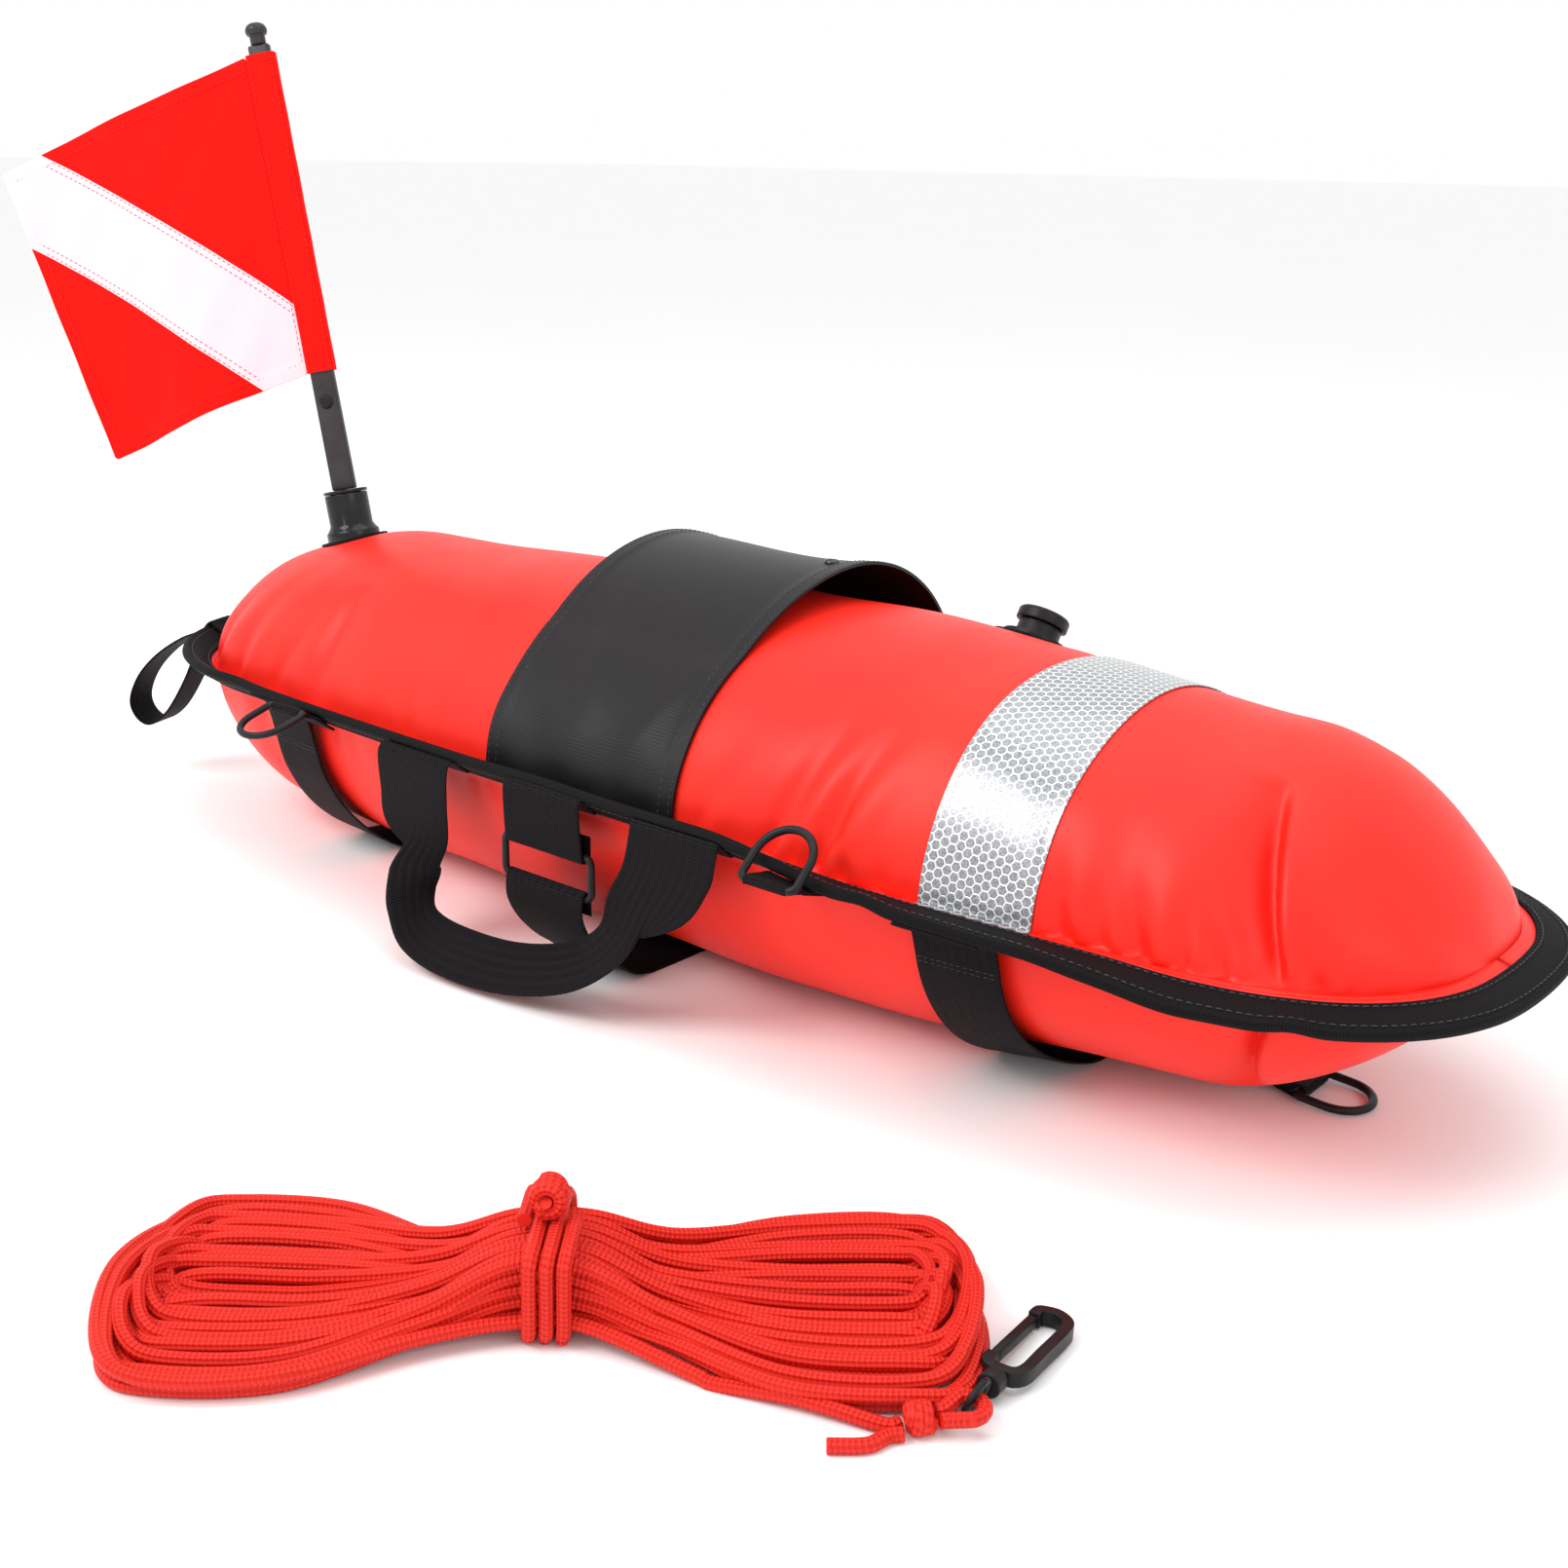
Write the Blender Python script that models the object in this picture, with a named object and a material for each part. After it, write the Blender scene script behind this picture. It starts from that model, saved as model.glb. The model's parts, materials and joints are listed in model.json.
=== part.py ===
"""Inflatable dive flag float with its flag, webbing, rings and hanked line.

Metres, +Z up. The float rests on its belly straps at z = 0. +X runs to the nose,
-Y is the side that carries the handle. The origin lies under the middle strap.
"""
import math

import bmesh
import bpy
import numpy as np
from mathutils import Matrix, Vector

# Clearance between pieces that touch, and the overrun of a cut
GAP = 0.0003
OVERRUN = 0.002

# Inflated body
BODY_LENGTH = 0.742
SEAM_HEIGHT = 0.085
HALF_WIDTH = 0.107
WIDEST_X = 0.050
NOSE_TAPER = 0.103
TAIL_TAPER = 0.108
NOSE_NARROWING = 0.0145
TAIL_NARROWING = 0.0126
PANEL_SKIN = 0.001
FLANGE_WIDTH = 0.021
UPPER_HEIGHT_shares = (0.81, 0.80)
LOWER_HEIGHT_shares = (0.916, 0.79)
PLAN_END_SQUARE = 2.0
PLAN_END_ROUND = 0.374
NOSE_END_SQUARE = 1.80
NOSE_END_ROUND = 0.69
TAIL_END_SQUARE = 1.34
TAIL_END_ROUND = 0.31
BODY_STEPS = 36
SECTION_STEPS = 12

# Tilt of the welded edge along the body: place as a share of the length, angle in radians
FLANGE_TILT_shares = ((-0.45, 0.60), (0.10, 0.66), (0.24, 0.12), (0.45, -0.30))
TWIST_shares = (0.10, 0.24)
TWIST_STEPS = 8

# Folds pressed into the ends of the panels
FOLD_WIDTH = 0.012
FOLD_DEPTH = 0.007
NOSE_FOLD_SEAM_INSET = 0.048
NOSE_FOLD_TOP_INSET = 0.074
NOSE_FOLD_SEAM_X = BODY_LENGTH / 2 - NOSE_FOLD_SEAM_INSET
NOSE_FOLD_TOP_X = BODY_LENGTH / 2 - NOSE_FOLD_TOP_INSET
NOSE_FOLD_TURN = math.radians(66)
TAIL_FOLD_SEAM_INSET = 0.147
TAIL_FOLD_TOP_INSET = 0.154
TAIL_FOLD_SEAM_X = TAIL_FOLD_SEAM_INSET - BODY_LENGTH / 2
TAIL_FOLD_TOP_X = TAIL_FOLD_TOP_INSET - BODY_LENGTH / 2
TAIL_FOLD_TURN = math.radians(52)
TAIL_FOLD_share = 0.45

# Edge binding
BINDING_WIDTH = 0.0155
BINDING_CLOTH = 0.0009

# Webbing
WEBBING = 0.0013
BELLY_WEB_WIDTH = 0.038
WIDE_WEB_WIDTH = 0.050
RING_WEB_WIDTH = 0.0225
TAIL_STRAP_X = -0.230
MIDDLE_STRAP_X = -0.0155
NOSE_STRAP_X = 0.198
NOSE_STRAP_SLACK = 0.005
STRAP_SEWN = 0.012

# Slack of the middle strap between its buckle and the belly
BUCKLE_Y = -0.1225
BUCKLE_TOP = 0.069
BUCKLE_BOTTOM = 0.049
BUCKLE_WIRE = 0.0017
BUCKLE_SIDE_CLEARANCE = 0.0015
BUCKLE_CORNER = 0.004
STRAP_RETURN = 0.009
SLACK_shares = ((1.015, 0.44), (0.955, 0.29), (0.83, 0.12), (0.66, 0.0))

# Top band
BAND_START_X = -0.073
BAND_END_X = 0.047
BAND_CLOTH = 0.0010
BAND_LIFT = 0.017
BAND_FOOT = 0.004
BAND_LIFT_shares = (0.30, 0.92)
BAND_COLUMNS = 5
EYELET_X = 0.034
EYELET_RADIUS = 0.0042
EYELET_BORE = 0.0022
EYELET_HEIGHT = 0.0014

# Reflective tape
TAPE_X = 0.202
TAPE_WIDTH = 0.050
TAPE_CLOTH = 0.0005
TAPE_FOOT = 0.004

# Handle
HANDLE_FOOT_LEFT_X = -0.1035
HANDLE_FOOT_RIGHT_X = 0.066
HANDLE_AXIS_Y = -0.1270
HANDLE_AXIS_Z = 0.0905
HANDLE_HINGE_GAP = 0.0009
HANDLE_REACH = 0.020
HANDLE_STEPS = 26
HANDLE_CLOTH = 0.0015

# Rings on the seam
RING_WIRE = 0.0018
RING_BAR = 0.0282
RING_DEPTH = 0.0265
RING_OUT = 0.012
RING_POINTS = 9
REAR_RING_X = -0.196
FRONT_RING_X = 0.128
REAR_RING_TURN = math.radians(-17)
FRONT_RING_TURN = math.radians(138)

# Ring under the nose
NOSE_RING_INSET = 0.074
NOSE_RING_X = BODY_LENGTH / 2 - NOSE_RING_INSET
NOSE_RING_Y = 0.016
NOSE_RING_TURN = math.radians(-3)
NOSE_TAB_LENGTH = 0.046

# Tail loop
LOOP_WEB_WIDTH = 0.020
LOOP_FOOT_INSET = 0.003
LOOP_FOOT_X = LOOP_FOOT_INSET - BODY_LENGTH / 2
LOOP_FOOT_Y = -0.060
LOOP_FAR_OUTSET = 0.013
LOOP_FAR_X = -LOOP_FAR_OUTSET - BODY_LENGTH / 2
LOOP_FAR_Y = -0.022
LOOP_STAND = 0.004
LOOP_SEARCH = 9
LOOP_LENGTH = 0.062
LOOP_DROP = 0.040
LOOP_STEPS = 18
LOOP_HINGE_GAP = 0.0009
LOOP_FOOT_LENGTH = 0.012

# Flagpole and its socket
POLE_INSET = 0.067
POLE_X = POLE_INSET - BODY_LENGTH / 2
POLE_LEAN = math.radians(13.2)
PATCH_RADIUS = 0.019
PATCH_CLOTH = 0.0008
PATCH_GAP = 0.0004
SOCKET_BASE_RADIUS = 0.015
SOCKET_BASE = 0.004
SOCKET_RADIUS = 0.0122
SOCKET_HEIGHT = 0.024
SOCKET_BORE = 0.0088
SOCKET_FLOOR = 0.003
PLUG_LIP_RADIUS = 0.0125
PLUG_LIP = 0.0018
POLE_WIDTH = 0.0138
POLE_TOP_WIDTH = 0.0118
POLE_THICKNESS = 0.0052
POLE_LENGTH = 0.246
SPIGOT_RADIUS = 0.0042
SPIGOT_LENGTH = 0.014
PIN_HEIGHT = 0.050
PIN_RADIUS = 0.0032
PIN_HEAD_RADIUS = 0.0042
PIN_HEAD = 0.0012
KNOB_RADIUS = 0.0060
KNOB_NECK_RADIUS = 0.0042
KNOB_NECK = 0.005
KNOB_HEIGHT = 0.0065

# Flag
FLAG_AZIMUTH = math.radians(-146.9)
HOIST_BOTTOM = 0.067
HOIST_CLEARANCE = 0.005
HOIST = POLE_LENGTH - HOIST_BOTTOM - HOIST_CLEARANCE
FLY = 0.165
FLY_BOTTOM = 0.137
FLAG_DROOP = math.radians(23)
FLAG_WAVES = 1.5
FLAG_STEPS = 13
FLAG_FOLD_TOP = 0.004
FLAG_FOLD_BOTTOM = 0.016
FLAG_CLOTH = 0.0008
SLEEVE_CLEARANCE = 0.0006
STRIPE_UPPER_shares = ((0.0, 0.20), (0.855, 1.0))
STRIPE_LOWER_shares = ((0.17, 0.0), (1.0, 0.772))

# Inflation valve, on the far side
VALVE_X = 0.118
VALVE_TURN = math.radians(128)
VALVE_PATCH_RADIUS = 0.021
VALVE_BASE_RADIUS = 0.016
VALVE_BASE = 0.0022
VALVE_RADIUS = 0.0105
VALVE_HEIGHT = 0.009
VALVE_BORE = 0.0070
VALVE_CAP_RADIUS = 0.0125
VALVE_CAP_HEIGHT = 0.006
VALVE_STEM_RADIUS = 0.0062
VALVE_STEM = 0.005

# Line: the hank, its tie, and what leads to the hook
ROPE = 0.005
HANK_X = 0.1795
HANK_Y = -0.306
HANK_HEADING = math.radians(39.8)
HANK_LENGTH = 0.301
HANK_WIDTH = 0.124
HANK_LOOPS = 20
HANK_LAYERS = 4
HANK_PITCH = 0.0060
HANK_LAYER_RISE = 0.0057
HANK_WAIST_CLEARANCE = 0.0033
HANK_WAIST_REACH = 0.050
HANK_WAIST_LIFT = 0.0056
HANK_EVEN = 0.25
HANK_START_TURN = -0.1875
HANK_END_TURN = 0.0625
POINTS_PER_LOOP = 24
TIE_TURNS = 3
TIE_PITCH = 0.0056
TIE_CLEARANCE = 0.0006
TIE_KNOT_RADIUS = 0.0065
TIE_KNOT_LENGTH = 0.014
KNOT_RADIUS = 0.0055
KNOT_LENGTH = 0.011
KNOT_WRAPS = 3
LINE_STEPS = 22
KNOT_ALONG = 0.119
KNOT_ACROSS = 0.0625
KNOT_HEADING = math.radians(52)
TAIL_END_ALONG = 0.0907
TAIL_END_ACROSS = 0.0728

# Snap hook
HOOK_HEADING = math.radians(97)
HOOK_LENGTH = 0.046
HOOK_WIDTH = 0.017
HOOK_BAR = 0.0040
HOOK_DEPTH = 0.0052
HOOK_PITCH = math.radians(3.5)
HOOK_STEPS = 26
HOOK_ROUTE_shares = ((0.20, 0.36), (0.13, 0.36), (0.065, 0.26), (0.045, 0.0), (0.065, -0.26), (0.16, -0.38),
                     (0.40, -0.38), (0.74, -0.38), (0.88, -0.30), (0.95, 0.0), (0.93, 0.31), (0.90, 0.36), (0.83, 0.36))
GATE_CLEARANCE = 0.0008
SWIVEL_RADIUS = 0.0042
SWIVEL_LENGTH = 0.0060
SWIVEL_STEM_RADIUS = 0.0022
EYE_RADIUS = 0.0058
EYE_WIRE = 0.0013
EYE_TILT = math.radians(20)
EYE_HEIGHT = 0.0072
EYE_PULL = 0.0014
LOOP_ROPE_RADIUS = 0.0060

RED = (0.86, 0.035, 0.015, 1.0)
BLACK = (0.012, 0.012, 0.013, 1.0)
WHITE = (0.88, 0.86, 0.88, 1.0)
SILVER = (0.62, 0.64, 0.66, 1.0)
UP = Vector((0.0, 0.0, 1.0))


def clear_scene():
    for old in list(bpy.data.objects):
        bpy.data.objects.remove(old)


def finish_material(name, colour, roughness, metallic=0.0):
    made = bpy.data.materials.new(name)
    made.use_nodes = True
    shader = made.node_tree.nodes["Principled BSDF"]
    shader.inputs["Base Color"].default_value = colour
    shader.inputs["Roughness"].default_value = roughness
    shader.inputs["Metallic"].default_value = metallic
    return made


FINISHES = {
    "coated": (RED, 0.42, 0.0),
    "cloth_red": (RED, 0.75, 0.0),
    "cloth_white": (WHITE, 0.75, 0.0),
    "webbing": (BLACK, 0.65, 0.0),
    "plastic": (BLACK, 0.35, 0.0),
    "reflective": (SILVER, 0.25, 0.3),
    "rope": (RED, 0.70, 0.0),
}


def link(name, data, finish, origin=None):
    """Adds an object for the data, with its origin at the given place."""
    thing = bpy.data.objects.new(name, data)
    bpy.context.scene.collection.objects.link(thing)
    data.materials.append(finish_material(name + "_finish", *FINISHES[finish]))
    if origin is not None:
        place = Vector(origin)
        data.transform(Matrix.Translation(-place))
        thing.location = place
    return thing


def solid(name, points, faces, finish, origin=None, sharp=math.radians(35)):
    """Makes one closed solid from points and faces, with its faces outwards."""
    work = bmesh.new()
    corners = [work.verts.new(tuple(float(v) for v in p)) for p in points]
    for face in faces:
        work.faces.new([corners[i] for i in face])
    bmesh.ops.remove_doubles(work, verts=work.verts, dist=GAP / 30)
    bmesh.ops.dissolve_degenerate(work, edges=work.edges, dist=GAP / 30)
    bmesh.ops.recalc_face_normals(work, faces=work.faces)
    mesh = bpy.data.meshes.new(name)
    work.to_mesh(mesh)
    work.free()
    mesh.shade_smooth()
    mesh.set_sharp_from_angle(angle=sharp)
    return link(name, mesh, finish, origin)


def slab(name, inner, outer, finish, ring=False, origin=None):
    """Closes the space between two grids of points of equal size into a solid."""
    inner = np.asarray(inner, float)
    outer = np.asarray(outer, float)
    columns, rows = inner.shape[:2]
    points = list(inner.reshape(-1, 3)) + list(outer.reshape(-1, 3))
    far = columns * rows

    def at(column, row, skin):
        return skin * far + (column % columns) * rows + row

    faces = []
    spans = columns if ring else columns - 1
    for c in range(spans):
        for r in range(rows - 1):
            for skin in (0, 1):
                faces.append([at(c, r, skin), at(c + 1, r, skin), at(c + 1, r + 1, skin), at(c, r + 1, skin)])
        for r in (0, rows - 1):
            faces.append([at(c, r, 0), at(c + 1, r, 0), at(c + 1, r, 1), at(c, r, 1)])
    if not ring:
        for c in (0, columns - 1):
            for r in range(rows - 1):
                faces.append([at(c, r, 0), at(c, r + 1, 0), at(c, r + 1, 1), at(c, r, 1)])
    return solid(name, points, faces, finish, origin)


def grid_normals(grid):
    """Unit normals of a grid of points, columns by rows."""
    along = np.gradient(grid, axis=0)
    across = np.gradient(grid, axis=1)
    normal = np.cross(along, across)
    return normal / np.linalg.norm(normal, axis=2, keepdims=True)


def cloth(name, grid, thickness, finish, origin=None):
    grid = np.asarray(grid, float)
    normal = grid_normals(grid)
    return slab(name, grid - normal * thickness / 2, grid + normal * thickness / 2, finish, origin=origin)


def shifted(path, distance):
    """Moves an open path of (y, z) points to its left side by a distance, with mitred corners."""
    path = np.asarray(path, float)
    steps = np.diff(path, axis=0)
    steps /= np.linalg.norm(steps, axis=1, keepdims=True)
    left = np.stack([-steps[:, 1], steps[:, 0]], axis=1)
    first = np.vstack([left[:1], left])
    last = np.vstack([left, left[-1:]])
    middle = first + last
    middle /= np.linalg.norm(middle, axis=1, keepdims=True)
    spread = np.maximum((middle * first).sum(axis=1, keepdims=True), 0.4)
    return path + middle * distance / spread


def smooth_path(points, count):
    """Points evenly spaced along a smooth curve through the given ones."""
    points = np.asarray(points, float)
    padded = np.vstack([2 * points[0] - points[1], points, 2 * points[-1] - points[-2]])
    fine = []
    for k in range(1, len(padded) - 2):
        p0, p1, p2, p3 = padded[k - 1:k + 3]
        for t in np.linspace(0, 1, 12, endpoint=False):
            fine.append(0.5 * (2 * p1 + (p2 - p0) * t + (2 * p0 - 5 * p1 + 4 * p2 - p3) * t ** 2
                               + (3 * p1 - p0 - 3 * p2 + p3) * t ** 3))
    fine.append(points[-1])
    fine = np.array(fine)
    run = np.concatenate([[0], np.cumsum(np.linalg.norm(np.diff(fine[:, :3], axis=0), axis=1))])
    wanted = np.linspace(0, run[-1], count)
    return np.stack([np.interp(wanted, run, fine[:, c]) for c in range(fine.shape[1])], axis=1)


def tube(name, points, radius, finish, sides=2, closed=False, origin=None):
    """A round bar or rope along a list of points."""
    curve = bpy.data.curves.new(name, "CURVE")
    curve.dimensions = "3D"
    curve.bevel_depth = radius
    curve.bevel_resolution = sides
    curve.use_fill_caps = not closed
    line = curve.splines.new("POLY")
    line.points.add(len(points) - 1)
    for spot, point in zip(line.points, points):
        spot.co = (float(point[0]), float(point[1]), float(point[2]), 1.0)
    line.use_cyclic_u = closed
    return link(name, curve, finish, origin)


def turned(name, profile, base, axis, finish, steps=24, origin=None):
    """Revolves (radius, height) points about an axis that starts at the base."""
    work = bmesh.new()
    corners = [work.verts.new((float(r), 0.0, float(h))) for r, h in profile]
    edges = [work.edges.new(pair) for pair in zip(corners, corners[1:] + corners[:1])]
    bmesh.ops.spin(work, geom=corners + edges, cent=(0, 0, 0), axis=(0, 0, 1), angle=2 * math.pi,
                   steps=steps, use_merge=True, use_duplicate=False)
    bmesh.ops.remove_doubles(work, verts=work.verts, dist=GAP / 30)
    bmesh.ops.dissolve_degenerate(work, edges=work.edges, dist=GAP / 30)
    loose = [f for f in work.faces if f.calc_area() < GAP * GAP / 1000]
    bmesh.ops.delete(work, geom=loose, context="FACES")
    bmesh.ops.recalc_face_normals(work, faces=work.faces)
    turn = UP.rotation_difference(Vector(axis)).to_matrix().to_4x4()
    bmesh.ops.transform(work, matrix=Matrix.Translation(Vector(base)) @ turn, verts=work.verts)
    mesh = bpy.data.meshes.new(name)
    work.to_mesh(mesh)
    work.free()
    mesh.shade_smooth()
    mesh.set_sharp_from_angle(angle=math.radians(35))
    return link(name, mesh, finish, origin)


# Body surface

def half_width(x):
    """Half the width of the inflated part at a place along the body."""
    nose_corner = BODY_LENGTH / 2 - NOSE_TAPER
    tail_corner = -BODY_LENGTH / 2 + TAIL_TAPER
    if x >= WIDEST_X:
        run = (min(x, nose_corner) - WIDEST_X) / (nose_corner - WIDEST_X)
        return HALF_WIDTH - NOSE_NARROWING * run ** 2
    run = (WIDEST_X - max(x, tail_corner)) / (WIDEST_X - tail_corner)
    return HALF_WIDTH - TAIL_NARROWING * run ** 2


def end_run(x):
    """How far into an end taper a place lies, 0 at its corner and 1 at the tip."""
    nose = (x - BODY_LENGTH / 2 + NOSE_TAPER) / NOSE_TAPER
    tail = (-BODY_LENGTH / 2 + TAIL_TAPER - x) / TAIL_TAPER
    return min(max(nose, tail, 0.0), 1.0)


def plan_width(x):
    return half_width(x) * (1 - end_run(x) ** PLAN_END_SQUARE) ** PLAN_END_ROUND


def side_height(x, shares):
    """Height of the bulge above or below the seam at a place along the body."""
    square, rounding = (NOSE_END_SQUARE, NOSE_END_ROUND) if x > 0 else (TAIL_END_SQUARE, TAIL_END_ROUND)
    along = x / BODY_LENGTH + 0.5
    share = shares[0] + (shares[1] - shares[0]) * along
    return half_width(x) * share * (1 - end_run(x) ** square) ** rounding


def flange_tilt(x):
    places = [p * BODY_LENGTH for p, tilt in FLANGE_TILT_shares]
    tilts = [tilt for p, tilt in FLANGE_TILT_shares]
    if x <= places[0]:
        return tilts[0]
    for left, right, low, high in zip(places, places[1:], tilts, tilts[1:]):
        if x <= right:
            t = (x - left) / (right - left)
            return low + (high - low) * (3 * t ** 2 - 2 * t ** 3)
    return tilts[-1]


def station_places():
    """Places of the sections along the body: closer at the tips and where the edge twists."""
    even = [-math.cos(math.pi * i / BODY_STEPS) / 2 for i in range(BODY_STEPS + 1)]
    start, end = TWIST_shares
    apart = (end - start) / TWIST_STEPS
    kept = [p for p in even if p < start - apart / 2 or p > end + apart / 2]
    return sorted(kept + [start + apart * k for k in range(TWIST_STEPS + 1)])


STATION_X = [place * BODY_LENGTH for place in station_places()]
STATIONS = len(STATION_X) - 1
STATION_W = [plan_width(x) for x in STATION_X]
STATION_W[0] = STATION_W[-1] = 0.0
RING = [(i, -1) for i in range(STATIONS + 1)] + [(i, 1) for i in range(STATIONS - 1, 0, -1)]
BINDING_START = FLANGE_WIDTH - BINDING_WIDTH


def station_outward(i):
    """Direction square to the seam in plan, at a station, on the +Y side."""
    if i == 0:
        return (-1.0, 0.0)
    if i == STATIONS:
        return (1.0, 0.0)
    run = STATION_X[i + 1] - STATION_X[i - 1]
    rise = STATION_W[i + 1] - STATION_W[i - 1]
    size = math.hypot(run, rise)
    return (-rise / size, run / size)


def flange_at(i, side, out, lift):
    """A point in the tilted frame of the welded edge at a station."""
    tilt = flange_tilt(STATION_X[i])
    nx, ny = station_outward(i)
    level = out * math.cos(tilt) - lift * math.sin(tilt)
    rise = out * math.sin(tilt) + lift * math.cos(tilt)
    return np.array([STATION_X[i] + nx * level, side * (STATION_W[i] + ny * level), SEAM_HEIGHT + rise])


def between(make, u):
    """A point at a whole or part station, on the straight line between whole stations."""
    low = min(int(u), STATIONS - 1)
    part = u - low
    return make(low) * (1 - part) + make(low + 1) * part


def station_of(x):
    return float(np.interp(x, STATION_X, range(STATIONS + 1)))


def stations_over(start, end):
    """Part stations that cover a stretch of the body, with each whole one inside it."""
    low, high = station_of(start), station_of(end)
    inside = [u for u in range(math.ceil(low), math.floor(high) + 1) if low + 0.06 < u < high - 0.06]
    return [low] + inside + [high]


def fold_depth(x, turn, upward):
    """Depth of the pressed folds. The turn is 0 at a seam and a right angle on the centreline."""
    turn = min(turn, math.pi - turn)
    depth = 0.0
    for seam_x, top_x, reach, share in (
            (NOSE_FOLD_SEAM_X, NOSE_FOLD_TOP_X, NOSE_FOLD_TURN, 1.0),
            (TAIL_FOLD_SEAM_X, TAIL_FOLD_TOP_X, TAIL_FOLD_TURN, TAIL_FOLD_share if upward else 0.0)):
        if 0 < turn < reach:
            climb = turn / reach
            centre = seam_x + (top_x - seam_x) * climb
            bell = math.exp(-((x - centre) / FOLD_WIDTH) ** 2)
            depth += FOLD_DEPTH * share * bell * (4 * climb * (1 - climb)) ** 0.7
    return depth


BELLY_FLAT = WEBBING + GAP


def bowl_at(x, width, turn, upward, inset=0.0):
    """A point on the inflated panel: the turn runs from 0 at the -Y seam to pi at the +Y seam."""
    shares = UPPER_HEIGHT_shares if upward else LOWER_HEIGHT_shares
    height = max(side_height(x, shares) - inset, 0.0)
    drawn = fold_depth(x, turn, upward)
    across = max(width - inset - drawn, 0.0)
    height = max(height - drawn, 0.0)
    y = -across * math.cos(turn)
    z = SEAM_HEIGHT + (height if upward else -height) * math.sin(turn)
    return np.array([x, y, max(z, BELLY_FLAT + inset)])


def bowl_station(i, j, upward, inset=0.0):
    """The panel's own mesh point at a station and section step."""
    lift = (GAP / 2 + (0.0 if inset else PANEL_SKIN)) * (1 if upward else -1)
    if j in (0, SECTION_STEPS) or i in (0, STATIONS):
        side = -1 if j < SECTION_STEPS / 2 else 1
        return flange_at(i, side, -inset, lift)
    x = STATION_X[i] * (1 - 2 * inset / BODY_LENGTH)
    return bowl_at(x, STATION_W[i], math.pi * j / SECTION_STEPS, upward, inset)


def halves(inner_a, inner_b, outer_b, outer_a):
    """Two triangles of a cell of the edge, cut the same way in every layer, so that none crosses another."""
    return [[inner_a, inner_b, outer_b], [inner_a, outer_b, outer_a]]


def panel(name, upward):
    """One welded half: an inflated bowl with the flat edge all round it."""
    points, index = [], {}

    def put(key, point):
        index[key] = len(points)
        points.append(point)

    sign = 1 if upward else -1
    for skin, inset, lift in (("out", 0.0, GAP / 2 + PANEL_SKIN), ("in", PANEL_SKIN, GAP / 2)):
        for i in range(STATIONS + 1):
            steps = (0,) if i in (0, STATIONS) else range(SECTION_STEPS + 1)
            for j in steps:
                put((skin, i, j), bowl_station(i, j, upward, inset))
            for side in ((-1,) if i in (0, STATIONS) else (-1, 1)):
                put((skin, i, side, "rim"), flange_at(i, side, BINDING_START, lift * sign))
                put((skin, i, side, "edge"), flange_at(i, side, FLANGE_WIDTH, lift * sign))

    def bowl(skin, i, j):
        return index[(skin, i, 0 if i in (0, STATIONS) else j)]

    def seam(skin, spot):
        return bowl(skin, spot[0], 0 if spot[1] < 0 else SECTION_STEPS)

    def ledge(skin, spot, row):
        return index[(skin, spot[0], spot[1], row)]

    faces = []
    for skin in ("out", "in"):
        for i in range(STATIONS):
            for j in range(SECTION_STEPS):
                corners = [bowl(skin, i, j), bowl(skin, i + 1, j), bowl(skin, i + 1, j + 1), bowl(skin, i, j + 1)]
                faces.append(list(dict.fromkeys(corners)))
        for a, b in zip(RING, RING[1:] + RING[:1]):
            faces += halves(seam(skin, a), seam(skin, b), ledge(skin, b, "rim"), ledge(skin, a, "rim"))
            faces += halves(ledge(skin, a, "rim"), ledge(skin, b, "rim"),
                            ledge(skin, b, "edge"), ledge(skin, a, "edge"))
    for a, b in zip(RING, RING[1:] + RING[:1]):
        faces += halves(ledge("out", a, "edge"), ledge("out", b, "edge"),
                        ledge("in", b, "edge"), ledge("in", a, "edge"))
    return solid(name, points, faces, "coated")


BINDING_INNER = GAP / 2 + PANEL_SKIN + GAP
BINDING_OUTER = BINDING_INNER + BINDING_CLOTH
BINDING_EDGE = FLANGE_WIDTH + GAP + BINDING_CLOTH


def binding():
    """The cloth strip folded over the welded edge, all round the float."""
    start = BINDING_START
    section = [(start, BINDING_OUTER), (FLANGE_WIDTH, BINDING_OUTER), (BINDING_EDGE, BINDING_INNER),
               (BINDING_EDGE, -BINDING_INNER), (FLANGE_WIDTH, -BINDING_OUTER), (start, -BINDING_OUTER),
               (start, -BINDING_INNER), (FLANGE_WIDTH + GAP, -BINDING_INNER),
               (FLANGE_WIDTH + GAP, BINDING_INNER), (start, BINDING_INNER)]
    points = [flange_at(i, side, out, lift) for i, side in RING for out, lift in section]
    size = len(section)
    faces = []
    for k in range(len(RING)):
        here, there = k * size, ((k + 1) % len(RING)) * size
        for s in range(size):
            p, q = sorted((s, (s + 1) % size), key=lambda spot: section[spot][0])
            faces += halves(here + p, there + p, there + q, here + q)
    return solid("edge_binding", points, faces, "webbing")


def section_path(u, upward, steps):
    """The (y, z) points of the panel at a part station, from the -Y seam to the +Y seam."""
    path = [between(lambda i: bowl_station(i, j, upward), u) for j in steps]
    return path


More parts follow.
